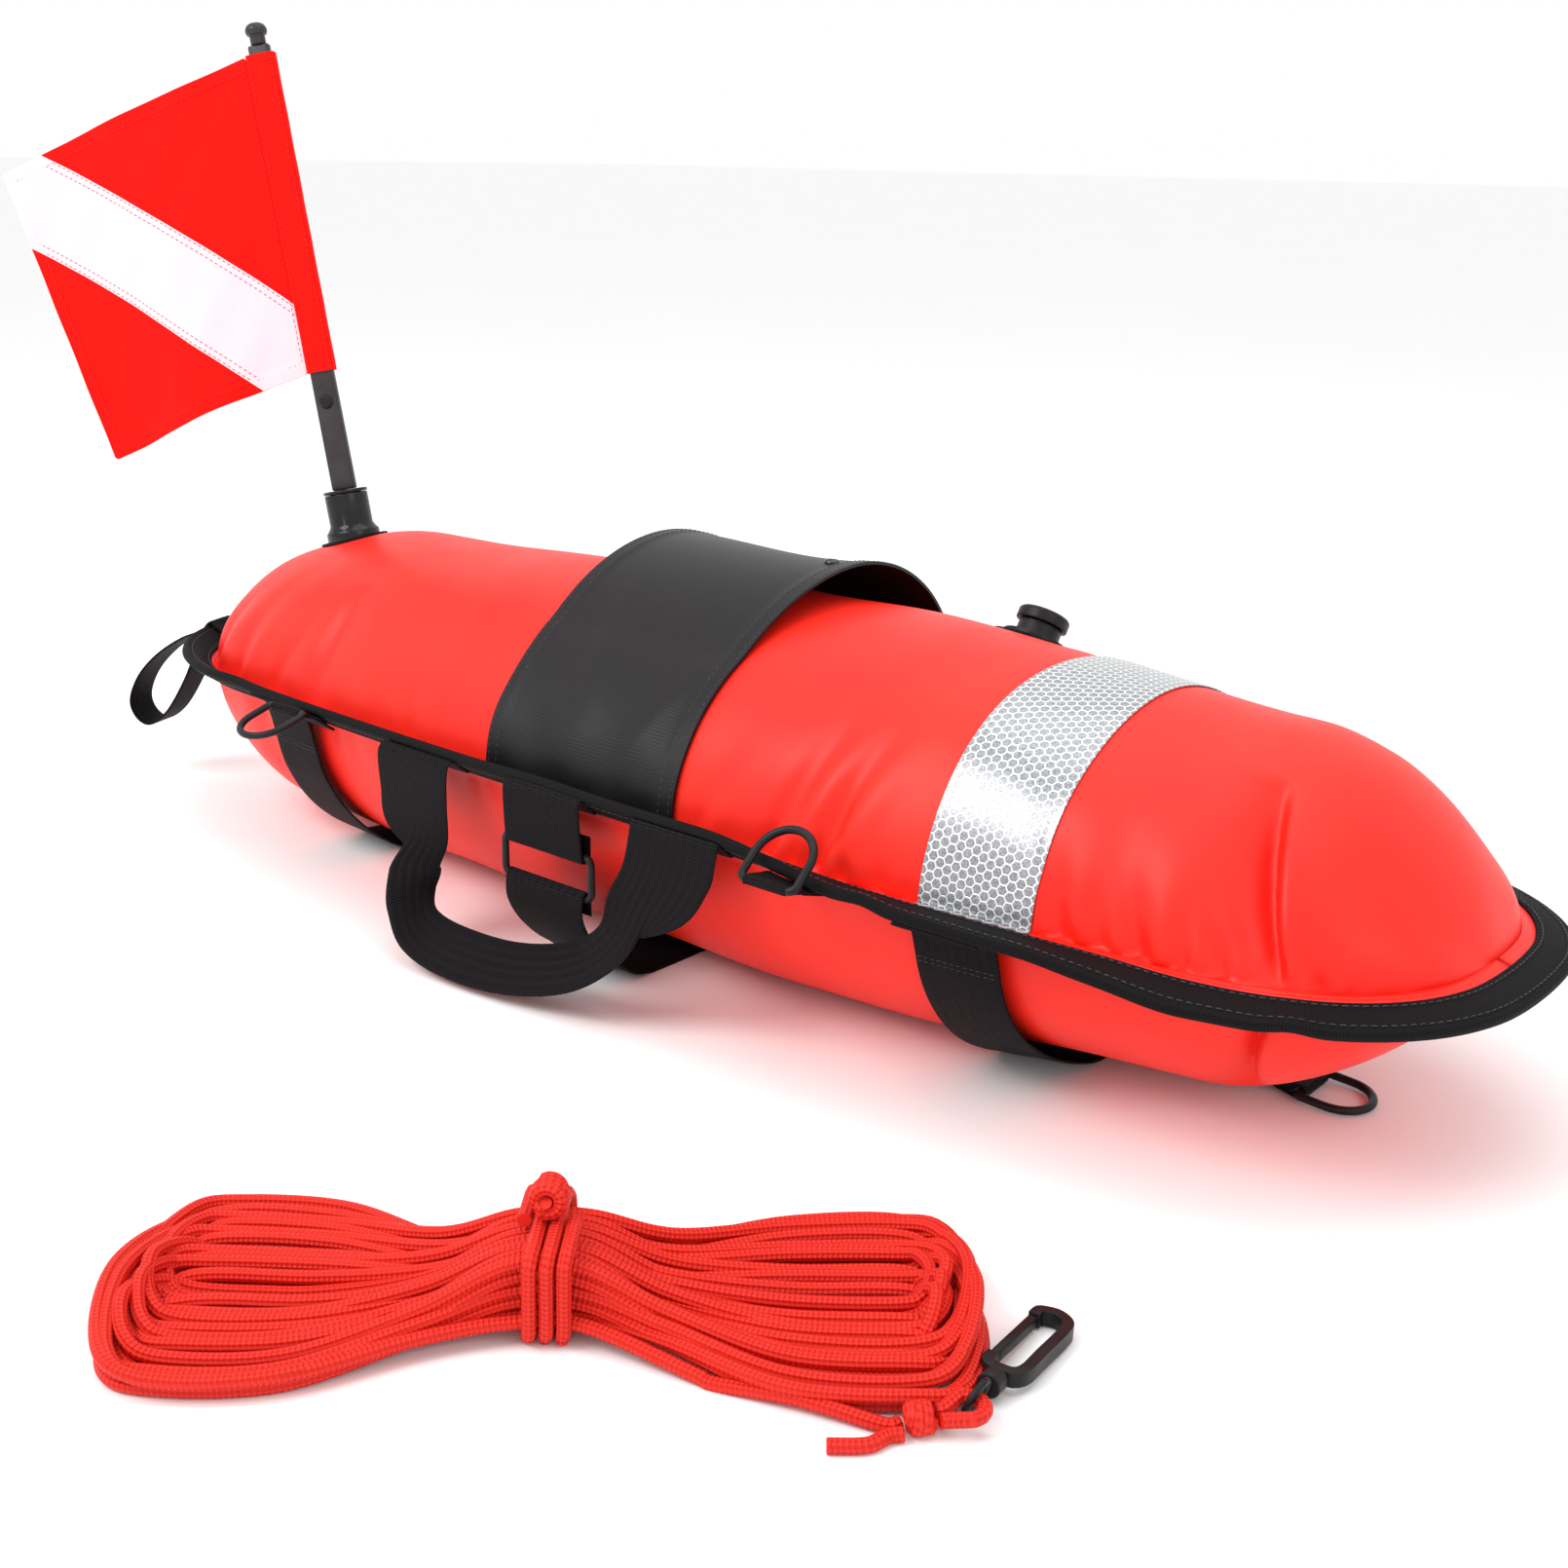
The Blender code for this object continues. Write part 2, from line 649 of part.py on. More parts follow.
def strip_at(u, upward, foot, thickness, lift):
    """The lower and upper (y, z) faces of a strip across a panel at a part station, and its x."""
    points = section_path(u, upward, range(SECTION_STEPS + 1))
    near = between(lambda i: flange_at(i, -1, foot, GAP / 2 + PANEL_SKIN), u)
    far = between(lambda i: flange_at(i, 1, foot, GAP / 2 + PANEL_SKIN), u)
    path = np.array([p[1:] for p in [near] + points + [far]])
    raised = shifted(path, GAP)
    if lift:
        spread = [0.0] + [lift(math.pi * j / SECTION_STEPS) for j in range(SECTION_STEPS + 1)] + [0.0]
        normal = raised - path
        normal /= np.linalg.norm(normal, axis=1, keepdims=True)
        raised = raised + normal * np.array(spread)[:, None]
    return points[SECTION_STEPS // 2][0], raised, shifted(raised, thickness)


def over_panel(name, start, end, upward, thickness, finish, foot, lift=None, columns=None):
    """A strip that lies across a panel, with a foot on the flat edge at each seam."""
    stations = stations_over(start, end)
    if columns:
        stations = sorted(set(stations) | set(np.linspace(stations[0], stations[-1], columns)[1:-1]))
    inner, outer = [], []
    for u in stations:
        x, raised, top = strip_at(u, upward, foot, thickness, lift)
        inner.append([(x, y, z) for y, z in raised])
        outer.append([(x, y, z) for y, z in top])
    return slab(name, inner, outer, finish)


def band_lift(turn):
    """The band lies on the near side and stands off over the far shoulder."""
    low, high = (share * math.pi for share in BAND_LIFT_shares)
    if not low < turn < high:
        return 0.0
    return BAND_LIFT * math.sin(math.pi * (turn - low) / (high - low)) ** 1.3


def sewn_path(u, side, length=STRAP_SEWN):
    """Where webbing is sewn under the binding: its upper face from the inner end out to the edge."""
    lift = -(BINDING_OUTER + GAP)
    spots = [between(lambda i: flange_at(i, side, out, lift), u) for out in (FLANGE_WIDTH - length, FLANGE_WIDTH)]
    return [p[1:] for p in spots]


def floored(under, path):
    """Keeps the lower face of webbing on the floor where its upper face lies one thickness above it."""
    kept = under.copy()
    kept[:, 1] = np.where(path[:, 1] <= WEBBING + GAP, 0.0, np.maximum(under[:, 1], 0.0))
    return kept


def belly_strap(name, centre, width, slack):
    """Webbing from one seam, under the belly, to the other seam."""
    inner, outer = [], []
    for u in stations_over(centre - width / 2, centre + width / 2):
        points = section_path(u, False, range(1, SECTION_STEPS))
        path = np.array([p[1:] for p in points])
        path[:, 0] *= 1 + slack / HALF_WIDTH
        path[:, 1] = np.maximum(SEAM_HEIGHT - (SEAM_HEIGHT - path[:, 1]) * (1 + slack / SEAM_HEIGHT), BELLY_FLAT)
        near, far = sewn_path(u, -1), sewn_path(u, 1)
        whole = np.array([near[1], near[0]] + [p for p in path] + [far[0], far[1]])
        raised = shifted(whole, -GAP)
        raised[0], raised[1], raised[-1], raised[-2] = near[1], near[0], far[1], far[0]
        under = shifted(raised, -WEBBING)
        raised[:, 1] = np.maximum(raised[:, 1], WEBBING)
        under[:, 1] = np.maximum(under[:, 1], 0.0)
        x = points[SECTION_STEPS // 2][0]
        inner.append([(x, y, z) for y, z in raised])
        outer.append([(x, y, z) for y, z in under])
    return slab(name, inner, outer, "webbing")


def build_eyelet():
    """The ring on the part of the band that stands off."""
    x, _, top = strip_at(station_of(EYELET_X), True, BAND_FOOT, BAND_CLOTH, band_lift)
    step = SECTION_STEPS // 2 + 1
    run = top[step + 1] - top[step]
    run /= np.linalg.norm(run)
    normal = np.array([0.0, -run[1], run[0]])
    middle = (top[step] + top[step + 1]) / 2
    base = np.array([x, middle[0], middle[1]]) + normal * GAP
    turned("band_eyelet", [(EYELET_BORE, 0.0), (EYELET_RADIUS, 0.0), (EYELET_RADIUS, EYELET_HEIGHT),
                           (EYELET_BORE, EYELET_HEIGHT)], base, normal, "reflective", steps=16)


def build_body():
    panel("upper_panel", True)
    panel("lower_panel", False)
    binding()
    over_panel("top_band", BAND_START_X, BAND_END_X, True, BAND_CLOTH, "webbing", BAND_FOOT,
               lift=band_lift, columns=BAND_COLUMNS)
    over_panel("reflective_tape", TAPE_X - TAPE_WIDTH / 2, TAPE_X + TAPE_WIDTH / 2, True,
               TAPE_CLOTH, "reflective", TAPE_FOOT)
    belly_strap("belly_strap_tail", TAIL_STRAP_X, BELLY_WEB_WIDTH, 0.0)
    belly_strap("belly_strap_nose", NOSE_STRAP_X, BELLY_WEB_WIDTH, NOSE_STRAP_SLACK)
    build_eyelet()


# Middle strap and its buckle

def round_bar(centre, radius, start, end, steps=6):
    """Points in a plane round a bar, between two angles."""
    angles = np.linspace(start, end, steps)
    return [(centre[0] + radius * math.cos(a), centre[1] + radius * math.sin(a)) for a in angles]


def webbing_over(name, make, centre, width, finish="webbing", origin=None):
    """Webbing across part of the body's length, with its two faces made at each part station."""
    inner, outer = [], []
    for u in stations_over(centre - width / 2, centre + width / 2):
        x = float(np.interp(u, range(STATIONS + 1), STATION_X))
        low, high = make(u)
        inner.append([(x, y, z) for y, z in low])
        outer.append([(x, y, z) for y, z in high])
    return slab(name, inner, outer, finish, origin=origin)


def build_middle_strap():
    inside = BUCKLE_WIRE + GAP
    outside = inside + WEBBING
    top_bar = (BUCKLE_Y, BUCKLE_TOP)
    low_bar = (BUCKLE_Y, BUCKLE_BOTTOM)

    def upper(u):
        sewn = sewn_path(u, -1)
        roll = round_bar(top_bar, outside, math.pi, 2 * math.pi, steps=7)
        face = np.array(sewn + roll + [(BUCKLE_Y + outside, BUCKLE_TOP + STRAP_RETURN)])
        return face, shifted(face, WEBBING)

    def lower(u):
        body = section_path(u, False, range(SECTION_STEPS // 2 - 1, SECTION_STEPS))
        far = sewn_path(u, 1)
        belly = shifted(np.array([p[1:] for p in body] + [far[0]]), -GAP)[:-1]
        belly[:, 1] = np.maximum(belly[:, 1], WEBBING)
        roll = round_bar(low_bar, inside, 0.0, math.pi, steps=7)
        slack = [(BUCKLE_Y * side, SEAM_HEIGHT * rise + WEBBING) for side, rise in SLACK_shares]
        route = smooth_path([roll[-1]] + slack + [belly[0]], 9)[1:-1]
        face = np.vstack([[(BUCKLE_Y + inside, BUCKLE_BOTTOM - STRAP_RETURN)], roll, route, belly, far])
        return face, floored(shifted(face, -WEBBING), face)

    webbing_over("middle_strap_upper", upper, MIDDLE_STRAP_X, WIDE_WEB_WIDTH)
    webbing_over("middle_strap_lower", lower, MIDDLE_STRAP_X, WIDE_WEB_WIDTH)
    wide = WIDE_WEB_WIDTH / 2 + BUCKLE_SIDE_CLEARANCE + BUCKLE_WIRE - BUCKLE_CORNER
    frame = []
    for k, (x, z) in enumerate(((wide, BUCKLE_TOP - BUCKLE_CORNER), (-wide, BUCKLE_TOP - BUCKLE_CORNER),
                                (-wide, BUCKLE_BOTTOM + BUCKLE_CORNER), (wide, BUCKLE_BOTTOM + BUCKLE_CORNER))):
        for px, pz in round_bar((x, z), BUCKLE_CORNER, k * math.pi / 2, (k + 1) * math.pi / 2, steps=4):
            frame.append((MIDDLE_STRAP_X + px, BUCKLE_Y, pz))
    tube("buckle_frame", frame, BUCKLE_WIRE, "plastic", sides=2, closed=True)


# Handle

def build_handle():
    end = HANDLE_AXIS_Z + HANDLE_HINGE_GAP

    def foot(u):
        sewn = sewn_path(u, -1)
        outer_face = np.array(sewn + [(HANDLE_AXIS_Y - WEBBING / 2, (sewn[1][1] + end) / 2),
                                      (HANDLE_AXIS_Y - WEBBING / 2, end)])
        inner_face = shifted(outer_face, WEBBING)
        inner_face[-1] = (HANDLE_AXIS_Y + WEBBING / 2, end)
        return inner_face, outer_face

    webbing_over("handle_foot_rear", foot, HANDLE_FOOT_LEFT_X, WIDE_WEB_WIDTH)
    webbing_over("handle_foot_front", foot, HANDLE_FOOT_RIGHT_X, WIDE_WEB_WIDTH)
    middle = (HANDLE_FOOT_LEFT_X + HANDLE_FOOT_RIGHT_X) / 2
    cloth("handle_loop", handle_grid(WIDE_WEB_WIDTH / 2), HANDLE_CLOTH, "webbing",
          origin=(middle, HANDLE_AXIS_Y, HANDLE_AXIS_Z))


# Route of the handle: along it as a share of the foot spacing, out as a share of the reach,
# up as a share of the height of the axis, then half the webbing's width as shares of the foot's
# half width along X, out and up
HANDLE_ROUTE_shares = (
    (0.000, 0.00, 1.00, 1.00, 0.00, 0.00),
    (0.000, 0.05, 0.82, 1.00, 0.00, 0.00),
    (-0.010, 0.12, 0.62, 0.98, 0.02, 0.00),
    (-0.030, 0.30, 0.42, 0.42, 0.22, 0.02),
    (-0.030, 0.55, 0.28, 0.18, 0.42, 0.12),
    (0.050, 0.85, 0.17, 0.02, 0.30, 0.38),
    (0.260, 1.00, 0.145, 0.00, 0.12, 0.47),
    (0.560, 0.85, 0.145, 0.00, 0.12, 0.47),
    (0.780, 0.62, 0.21, -0.10, 0.24, 0.42),
    (0.880, 0.42, 0.36, -0.40, 0.22, 0.30),
    (0.940, 0.18, 0.60, -0.93, 0.06, 0.10),
    (0.985, 0.05, 0.82, -0.99, 0.00, 0.02),
    (1.000, 0.00, 1.00, -1.00, 0.00, 0.00),
)


def handle_grid(half):
    span = HANDLE_FOOT_RIGHT_X - HANDLE_FOOT_LEFT_X
    rows = []
    for along, out, up, wx, wy, wz in HANDLE_ROUTE_shares:
        rows.append((HANDLE_FOOT_LEFT_X + along * span, HANDLE_AXIS_Y - out * HANDLE_REACH, HANDLE_AXIS_Z * up,
                     wx * half, wy * half, wz * half))
    path = smooth_path(rows, HANDLE_STEPS)
    return [[row[:3] + row[3:] * across for across in (-1, -0.5, 0, 0.5, 1)] for row in path]


# Rings and their tabs

def ring_outline():
    """The D of a ring in its own plane: the bar along the first axis, the bow along the second."""
    half = RING_BAR / 2
    bow = RING_DEPTH - half
    points = [(half * share, 0.0) for share in (-0.88, 0.0, 0.88)]
    points += [(half, RING_WIRE), (half, bow)]
    for a in np.linspace(0.0, math.pi, RING_POINTS)[1:-1]:
        points.append((half * math.cos(a), bow + half * math.sin(a)))
    points += [(-half, bow), (-half, RING_WIRE)]
    return points


def ring(name, centre, along, bow):
    """A D-ring about its bar, which lies along one direction, with its bow pointing another way."""
    centre, along, bow = (np.array(v, float) for v in (centre, along, bow))
    points = [centre + along * a + bow * b for a, b in ring_outline()]
    tube(name, points, RING_WIRE, "plastic", sides=1, closed=True, origin=centre)
    print(name, [round(float(v), 4) for v in centre])


def build_side_ring(place, x, turn, side):
    """A ring in its tab under the seam binding, on the near or the far side."""
    lift = -(BINDING_OUTER + GAP + WEBBING)
    u = station_of(x)
    bar_out = FLANGE_WIDTH + RING_OUT
    bar_lift = lift - RING_WIRE - GAP
    centre = between(lambda i: flange_at(i, -1, bar_out, bar_lift), u)
    tilt = between(lambda i: flange_tilt(STATION_X[i]), u)
    out_angle = math.pi - tilt
    roll = round_bar(centre[1:], RING_WIRE + GAP, out_angle - math.pi / 2, out_angle + math.pi / 2, steps=7)

    def legs(v):
        upper = [between(lambda i: flange_at(i, -1, out, lift), v)[1:] for out in
                 (FLANGE_WIDTH - STRAP_SEWN, BINDING_EDGE)]
        lower = [between(lambda i: flange_at(i, -1, out, lift - GAP), v)[1:] for out in
                 (FLANGE_WIDTH, FLANGE_WIDTH - STRAP_SEWN / 2)]
        face = np.array(upper + roll + lower)
        back = shifted(face, -WEBBING)
        return face * (-side, 1), back * (-side, 1)

    webbing_over("ring_tab_" + place, legs, x, RING_WEB_WIDTH)
    ring("ring_" + place, (x, -side * centre[1], centre[2]), (1, 0, 0),
         (0, side * math.cos(turn), math.sin(turn)))


def panel_bottom(x):
    return float(between(lambda i: bowl_station(i, SECTION_STEPS // 2, False), station_of(x))[2])


def build_nose_ring():
    """The ring that lies on the floor under the nose, in a tab sewn to the lower panel."""
    height = RING_WIRE + GAP + WEBBING
    inside = RING_WIRE + GAP
    places = np.linspace(NOSE_RING_X - NOSE_TAB_LENGTH, NOSE_RING_X - RING_DEPTH, 3)
    upper = [(x, panel_bottom(x) - GAP - WEBBING) for x in places]
    roll = round_bar((NOSE_RING_X, height), inside, math.pi / 2, -math.pi / 2, steps=7)
    lower = [(x, z - GAP) for x, z in upper[::-1]]
    face = np.array(upper + roll + lower)
    back = shifted(face, WEBBING)
    back[:, 1] = np.maximum(back[:, 1], 0.0)
    half = RING_WEB_WIDTH / 2
    grids = [[[(x, NOSE_RING_Y + across, z) for x, z in line] for across in (-half, half)]
             for line in (face, back)]
    slab("ring_tab_nose", grids[0], grids[1], "webbing")
    ring("ring_nose", (NOSE_RING_X, NOSE_RING_Y, height), (0, 1, 0),
         (math.cos(NOSE_RING_TURN), 0, math.sin(NOSE_RING_TURN)))


def build_rings():
    for side, word in ((-1, "near"), (1, "far")):
        build_side_ring("rear_" + word, REAR_RING_X, REAR_RING_TURN, side)
        build_side_ring("front_" + word, FRONT_RING_X, FRONT_RING_TURN, side)
    build_nose_ring()


# Tail loop

# Route of the loop: out from its hinge as a share of its length, along the hinge as a share of the
# spread of its feet, down as a share of its drop, then the quarter turns of its width
LOOP_ROUTE_shares = (
    (0.00, -1.00, 0.00, 0.00),
    (0.22, -1.04, 0.14, 0.20),
    (0.60, -1.15, 0.55, 0.85),
    (0.92, -0.72, 0.95, 1.00),
    (1.00, 0.00, 1.00, 1.00),
    (0.90, 0.75, 0.90, 1.00),
    (0.58, 1.15, 0.45, 1.15),
    (0.22, 1.04, 0.12, 1.80),
    (0.00, 1.00, 0.00, 2.00),
)


def rim_near(target, out, lift):
    """The point of the tail's near edge, at an offset in the edge's frame, that is nearest in plan."""
    spots = [between(lambda i: flange_at(i, -1, out, lift), u) for u in np.linspace(0, LOOP_SEARCH, 90)]
    return min(spots, key=lambda p: float(np.hypot(p[0] - target[0], p[1] - target[1])))


def build_tail_loop():
    """A loop of webbing that hangs from two sewn feet at the near corner of the tail."""
    lift = -(BINDING_OUTER + GAP)
    stand = BINDING_EDGE + LOOP_STAND
    ends = []
    for x, y in ((LOOP_FOOT_X, LOOP_FOOT_Y), (LOOP_FAR_X, LOOP_FAR_Y)):
        ends.append(rim_near((x, y), stand, lift - LOOP_STAND))
    ends = np.array(ends)
    ends[:, 2] = ends[:, 2].mean()
    middle = ends.mean(axis=0)
    spread = float(np.linalg.norm(ends[1] - ends[0])) / 2
    along = (ends[1] - ends[0]) / (2 * spread)
    level = np.array([along[1], -along[0], 0.0])
    if level[0] > 0:
        level = -level
    half = LOOP_WEB_WIDTH / 2
    for name, end in zip(("tail_loop_foot_near", "tail_loop_foot_middle"), ends):
        top, under = [], []
        for share in (-1, -0.5, 0, 0.5, 1):
            foot = end + along * half * share
            rows = [rim_near(foot, out, lift) for out in (FLANGE_WIDTH - LOOP_FOOT_LENGTH, BINDING_EDGE)]
            low = [rim_near(foot, out, lift - WEBBING) for out in (FLANGE_WIDTH - LOOP_FOOT_LENGTH, BINDING_EDGE)]
            edge = foot + (rows[1] - foot) * LOOP_HINGE_GAP / np.linalg.norm(rows[1] - foot)
            sheet = (rows[1] - low[1]) / 2
            top.append(rows + [edge + sheet])
            under.append(low + [edge - sheet])
        slab(name, top, under, "webbing")
    rows = []
    for out, across, down, quarter in LOOP_ROUTE_shares:
        spot = middle + level * LOOP_LENGTH * out + along * spread * across - np.array(UP) * LOOP_DROP * down
        rows.append(tuple(spot) + (quarter,))
    path = smooth_path(rows, LOOP_STEPS)
    grid = []
    for row in path:
        width = along * math.cos(row[3] * math.pi / 2) + np.array(UP) * math.sin(row[3] * math.pi / 2)
        grid.append([row[:3] + width * half * across for across in (-1, -0.5, 0, 0.5, 1)])
    cloth("tail_loop", grid, WEBBING, "webbing", origin=middle)
    print("tail loop hinge", [round(float(v), 4) for v in middle], [round(float(v), 4) for v in along])


# Fittings that stand on the upper panel

def panel_top(x, y):
    """Height of the upper panel's own faces over a place in plan."""
    points = section_path(station_of(x), True, range(SECTION_STEPS + 1))
    return float(np.interp(y, [p[1] for p in points], [p[2] for p in points]))


class Seat:
    """A place on the upper panel, with the direction out of it and two directions along it."""

    def __init__(self, x, turn):
        step = PATCH_RADIUS / 4
        y = -plan_width(x) * math.cos(turn)
        self.foot = np.array([x, y, panel_top(x, y)])
        ahead = np.array([2 * step, 0.0, panel_top(x + step, y) - panel_top(x - step, y)])
        aside = np.array([0.0, 2 * step, panel_top(x, y + step) - panel_top(x, y - step)])
        self.normal = np.cross(ahead, aside)
        self.normal /= np.linalg.norm(self.normal)
        self.ahead = ahead / np.linalg.norm(ahead)
        self.aside = np.cross(self.normal, self.ahead)

    def spot(self, radius, angle):
        """The point of the panel straight below a place in the plane of the seat."""
        point = self.foot + self.ahead * radius * math.cos(angle) + self.aside * radius * math.sin(angle)
        for _ in range(5):
            over = point[2] - panel_top(point[0], point[1])
            point = point - self.normal * over * self.normal[2]
        return point

    def clearing(self, axis, radius):
        """How far a flat disc must stand off along an axis to clear the panel."""
        spots = [self.spot(radius * share, a) for share in (0.0, 0.4, 0.7, 1.0)
                 for a in np.linspace(0, 2 * math.pi, 16, endpoint=False)]
        return max(float(np.dot(p - self.foot, axis)) for p in spots)


def round_patch(name, seat, radius, thickness):
    """A round piece of cloth that follows the panel."""
    inner, outer = [], []
    for a in np.linspace(0, 2 * math.pi, 20, endpoint=False):
        spots = [seat.spot(radius * share, a) for share in (0.0, 0.25, 0.5, 0.75, 1.0)]
        inner.append([p + seat.normal * PATCH_GAP for p in spots])
        outer.append([p + seat.normal * (PATCH_GAP + thickness) for p in spots])
    return slab(name, inner, outer, "webbing", ring=True)


def build_valve():
    seat = Seat(VALVE_X, VALVE_TURN)
    axis = seat.normal
    round_patch("valve_patch", seat, VALVE_PATCH_RADIUS, PATCH_CLOTH)
    stand = seat.clearing(axis, VALVE_BASE_RADIUS) + PATCH_GAP + PATCH_CLOTH + GAP
    base = seat.foot + axis * stand
    turned("valve_body", [
        (0.0, 0.0), (VALVE_BASE_RADIUS, 0.0), (VALVE_BASE_RADIUS, VALVE_BASE), (VALVE_RADIUS, VALVE_BASE),
        (VALVE_RADIUS, VALVE_HEIGHT), (VALVE_BORE, VALVE_HEIGHT), (VALVE_BORE, VALVE_BASE), (0.0, VALVE_BASE),
    ], base, axis, "plastic")
    top = base + axis * (VALVE_HEIGHT + GAP)
    turned("valve_cap", [
        (0.0, -VALVE_STEM), (VALVE_STEM_RADIUS, -VALVE_STEM), (VALVE_STEM_RADIUS, 0.0), (VALVE_CAP_RADIUS, 0.0),
        (VALVE_CAP_RADIUS, VALVE_CAP_HEIGHT * 0.8), (VALVE_CAP_RADIUS * 0.9, VALVE_CAP_HEIGHT),
        (0.0, VALVE_CAP_HEIGHT),
    ], top, axis, "plastic", origin=top)
    print("valve cap", [round(float(v), 4) for v in top], "axis", [round(float(v), 4) for v in axis])


# Flagpole, socket and flag

def pole_frame():
    axis = np.array([-math.sin(POLE_LEAN), 0.0, math.cos(POLE_LEAN)])
    out = np.array([math.cos(FLAG_AZIMUTH), math.sin(FLAG_AZIMUTH), 0.0])
    out = out - axis * np.dot(out, axis)
    out /= np.linalg.norm(out)
    return axis, out, np.cross(axis, out)


def build_pole():
    axis, out, side = pole_frame()
    seat = Seat(POLE_X, math.pi / 2)
    round_patch("socket_patch", seat, PATCH_RADIUS, PATCH_CLOTH)
    stand = seat.clearing(axis, SOCKET_BASE_RADIUS) + PATCH_GAP + PATCH_CLOTH + GAP
    base = seat.foot + axis * stand
    turned("pole_socket", [
        (0.0, 0.0), (SOCKET_BASE_RADIUS, 0.0), (SOCKET_BASE_RADIUS, SOCKET_BASE * 0.7),
        (SOCKET_RADIUS + SOCKET_BASE * 0.3, SOCKET_BASE), (SOCKET_RADIUS, SOCKET_BASE * 1.5),
        (SOCKET_RADIUS, SOCKET_HEIGHT - SOCKET_BASE * 0.2), (SOCKET_RADIUS - SOCKET_BASE * 0.2, SOCKET_HEIGHT),
        (SOCKET_BORE, SOCKET_HEIGHT), (SOCKET_BORE, SOCKET_FLOOR), (0.0, SOCKET_FLOOR),
    ], base, axis, "plastic")
    plug = base + axis * (SOCKET_FLOOR + GAP)
    lip = SOCKET_HEIGHT - SOCKET_FLOOR
    bore = SPIGOT_RADIUS + GAP
    bore_floor = lip + PLUG_LIP - SPIGOT_LENGTH - GAP
    turned("pole_plug", [
        (0.0, 0.0), (SOCKET_BORE - GAP, 0.0), (SOCKET_BORE - GAP, lip), (PLUG_LIP_RADIUS, lip),
        (PLUG_LIP_RADIUS, lip + PLUG_LIP), (bore, lip + PLUG_LIP), (bore, bore_floor), (0.0, bore_floor),
    ], plug, axis, "plastic", origin=plug)
    start = plug + axis * (lip + PLUG_LIP + GAP)
    build_bar(start, axis, out, side)
    build_flag(start, axis, out, side)
    print("pole start", [round(float(v), 4) for v in start], "axis", [round(float(v), 4) for v in axis])


def build_bar(start, axis, out, side):
    """The flat bar with its round foot, the pin through it and the knob on its end."""
    points = []
    bevel = POLE_THICKNESS * 0.3
    deep = POLE_THICKNESS / 2
    for height, width in ((0.0, POLE_WIDTH), (POLE_LENGTH, POLE_TOP_WIDTH)):
        half = width / 2
        outline = [(half, deep - bevel), (half - bevel, deep), (bevel - half, deep), (-half, deep - bevel),
                   (-half, bevel - deep), (bevel - half, -deep), (half - bevel, -deep), (half, bevel - deep)]
        points += [start + axis * height + out * a + side * b for a, b in outline]
    faces = [list(range(8)), list(range(8, 16))]
    faces += [[k, (k + 1) % 8, (k + 1) % 8 + 8, k + 8] for k in range(8)]
    bar = solid("pole_bar", points, faces, "plastic", origin=start)
    spigot = SPIGOT_LENGTH + GAP
    foot = turned("pole_foot_shape", [(0.0, -spigot), (SPIGOT_RADIUS, -spigot), (SPIGOT_RADIUS, OVERRUN),
                                      (0.0, OVERRUN)], start, axis, "plastic")
    spot = start + axis * PIN_HEIGHT
    hole = turned("pole_hole_shape", [(0.0, -POLE_WIDTH), (PIN_RADIUS + GAP, -POLE_WIDTH),
                                      (PIN_RADIUS + GAP, POLE_WIDTH), (0.0, POLE_WIDTH)],
                  spot, side, "plastic", steps=16)
    for shape, way in ((foot, "UNION"), (hole, "DIFFERENCE")):
        shape.hide_render = True
        shape.display_type = "WIRE"
        cut = bar.modifiers.new(shape.name, "BOOLEAN")
        cut.operation = way
        cut.object = shape
        cut.solver = "EXACT"
    reach = deep + GAP
    turned("pole_pin", [
        (0.0, -reach - PIN_HEAD), (PIN_HEAD_RADIUS * 0.7, -reach - PIN_HEAD), (PIN_HEAD_RADIUS, -reach),
        (PIN_RADIUS, -reach), (PIN_RADIUS, reach), (PIN_HEAD_RADIUS, reach),
        (PIN_HEAD_RADIUS * 0.7, reach + PIN_HEAD), (0.0, reach + PIN_HEAD),
    ], spot, side, "plastic", steps=16, origin=start)
    top = start + axis * (POLE_LENGTH + GAP)
    turned("pole_knob", [
        (0.0, 0.0), (KNOB_NECK_RADIUS, 0.0), (KNOB_NECK_RADIUS, KNOB_NECK), (KNOB_RADIUS * 0.9, KNOB_NECK),
        (KNOB_RADIUS, KNOB_NECK + KNOB_HEIGHT * 0.3), (KNOB_RADIUS * 0.93, KNOB_NECK + KNOB_HEIGHT * 0.75),
        (KNOB_RADIUS * 0.6, KNOB_NECK + KNOB_HEIGHT), (0.0, KNOB_NECK + KNOB_HEIGHT),
    ], top, axis, "plastic", steps=16, origin=start)


def chain_point(points, share):
    """A point on a chain of (fly, hoist) shares."""
    points = np.array(points, float)
    spans = len(points) - 1
    k = min(int(share * spans), spans - 1)
    part = share * spans - k
    return points[k] * (1 - part) + points[k + 1] * part


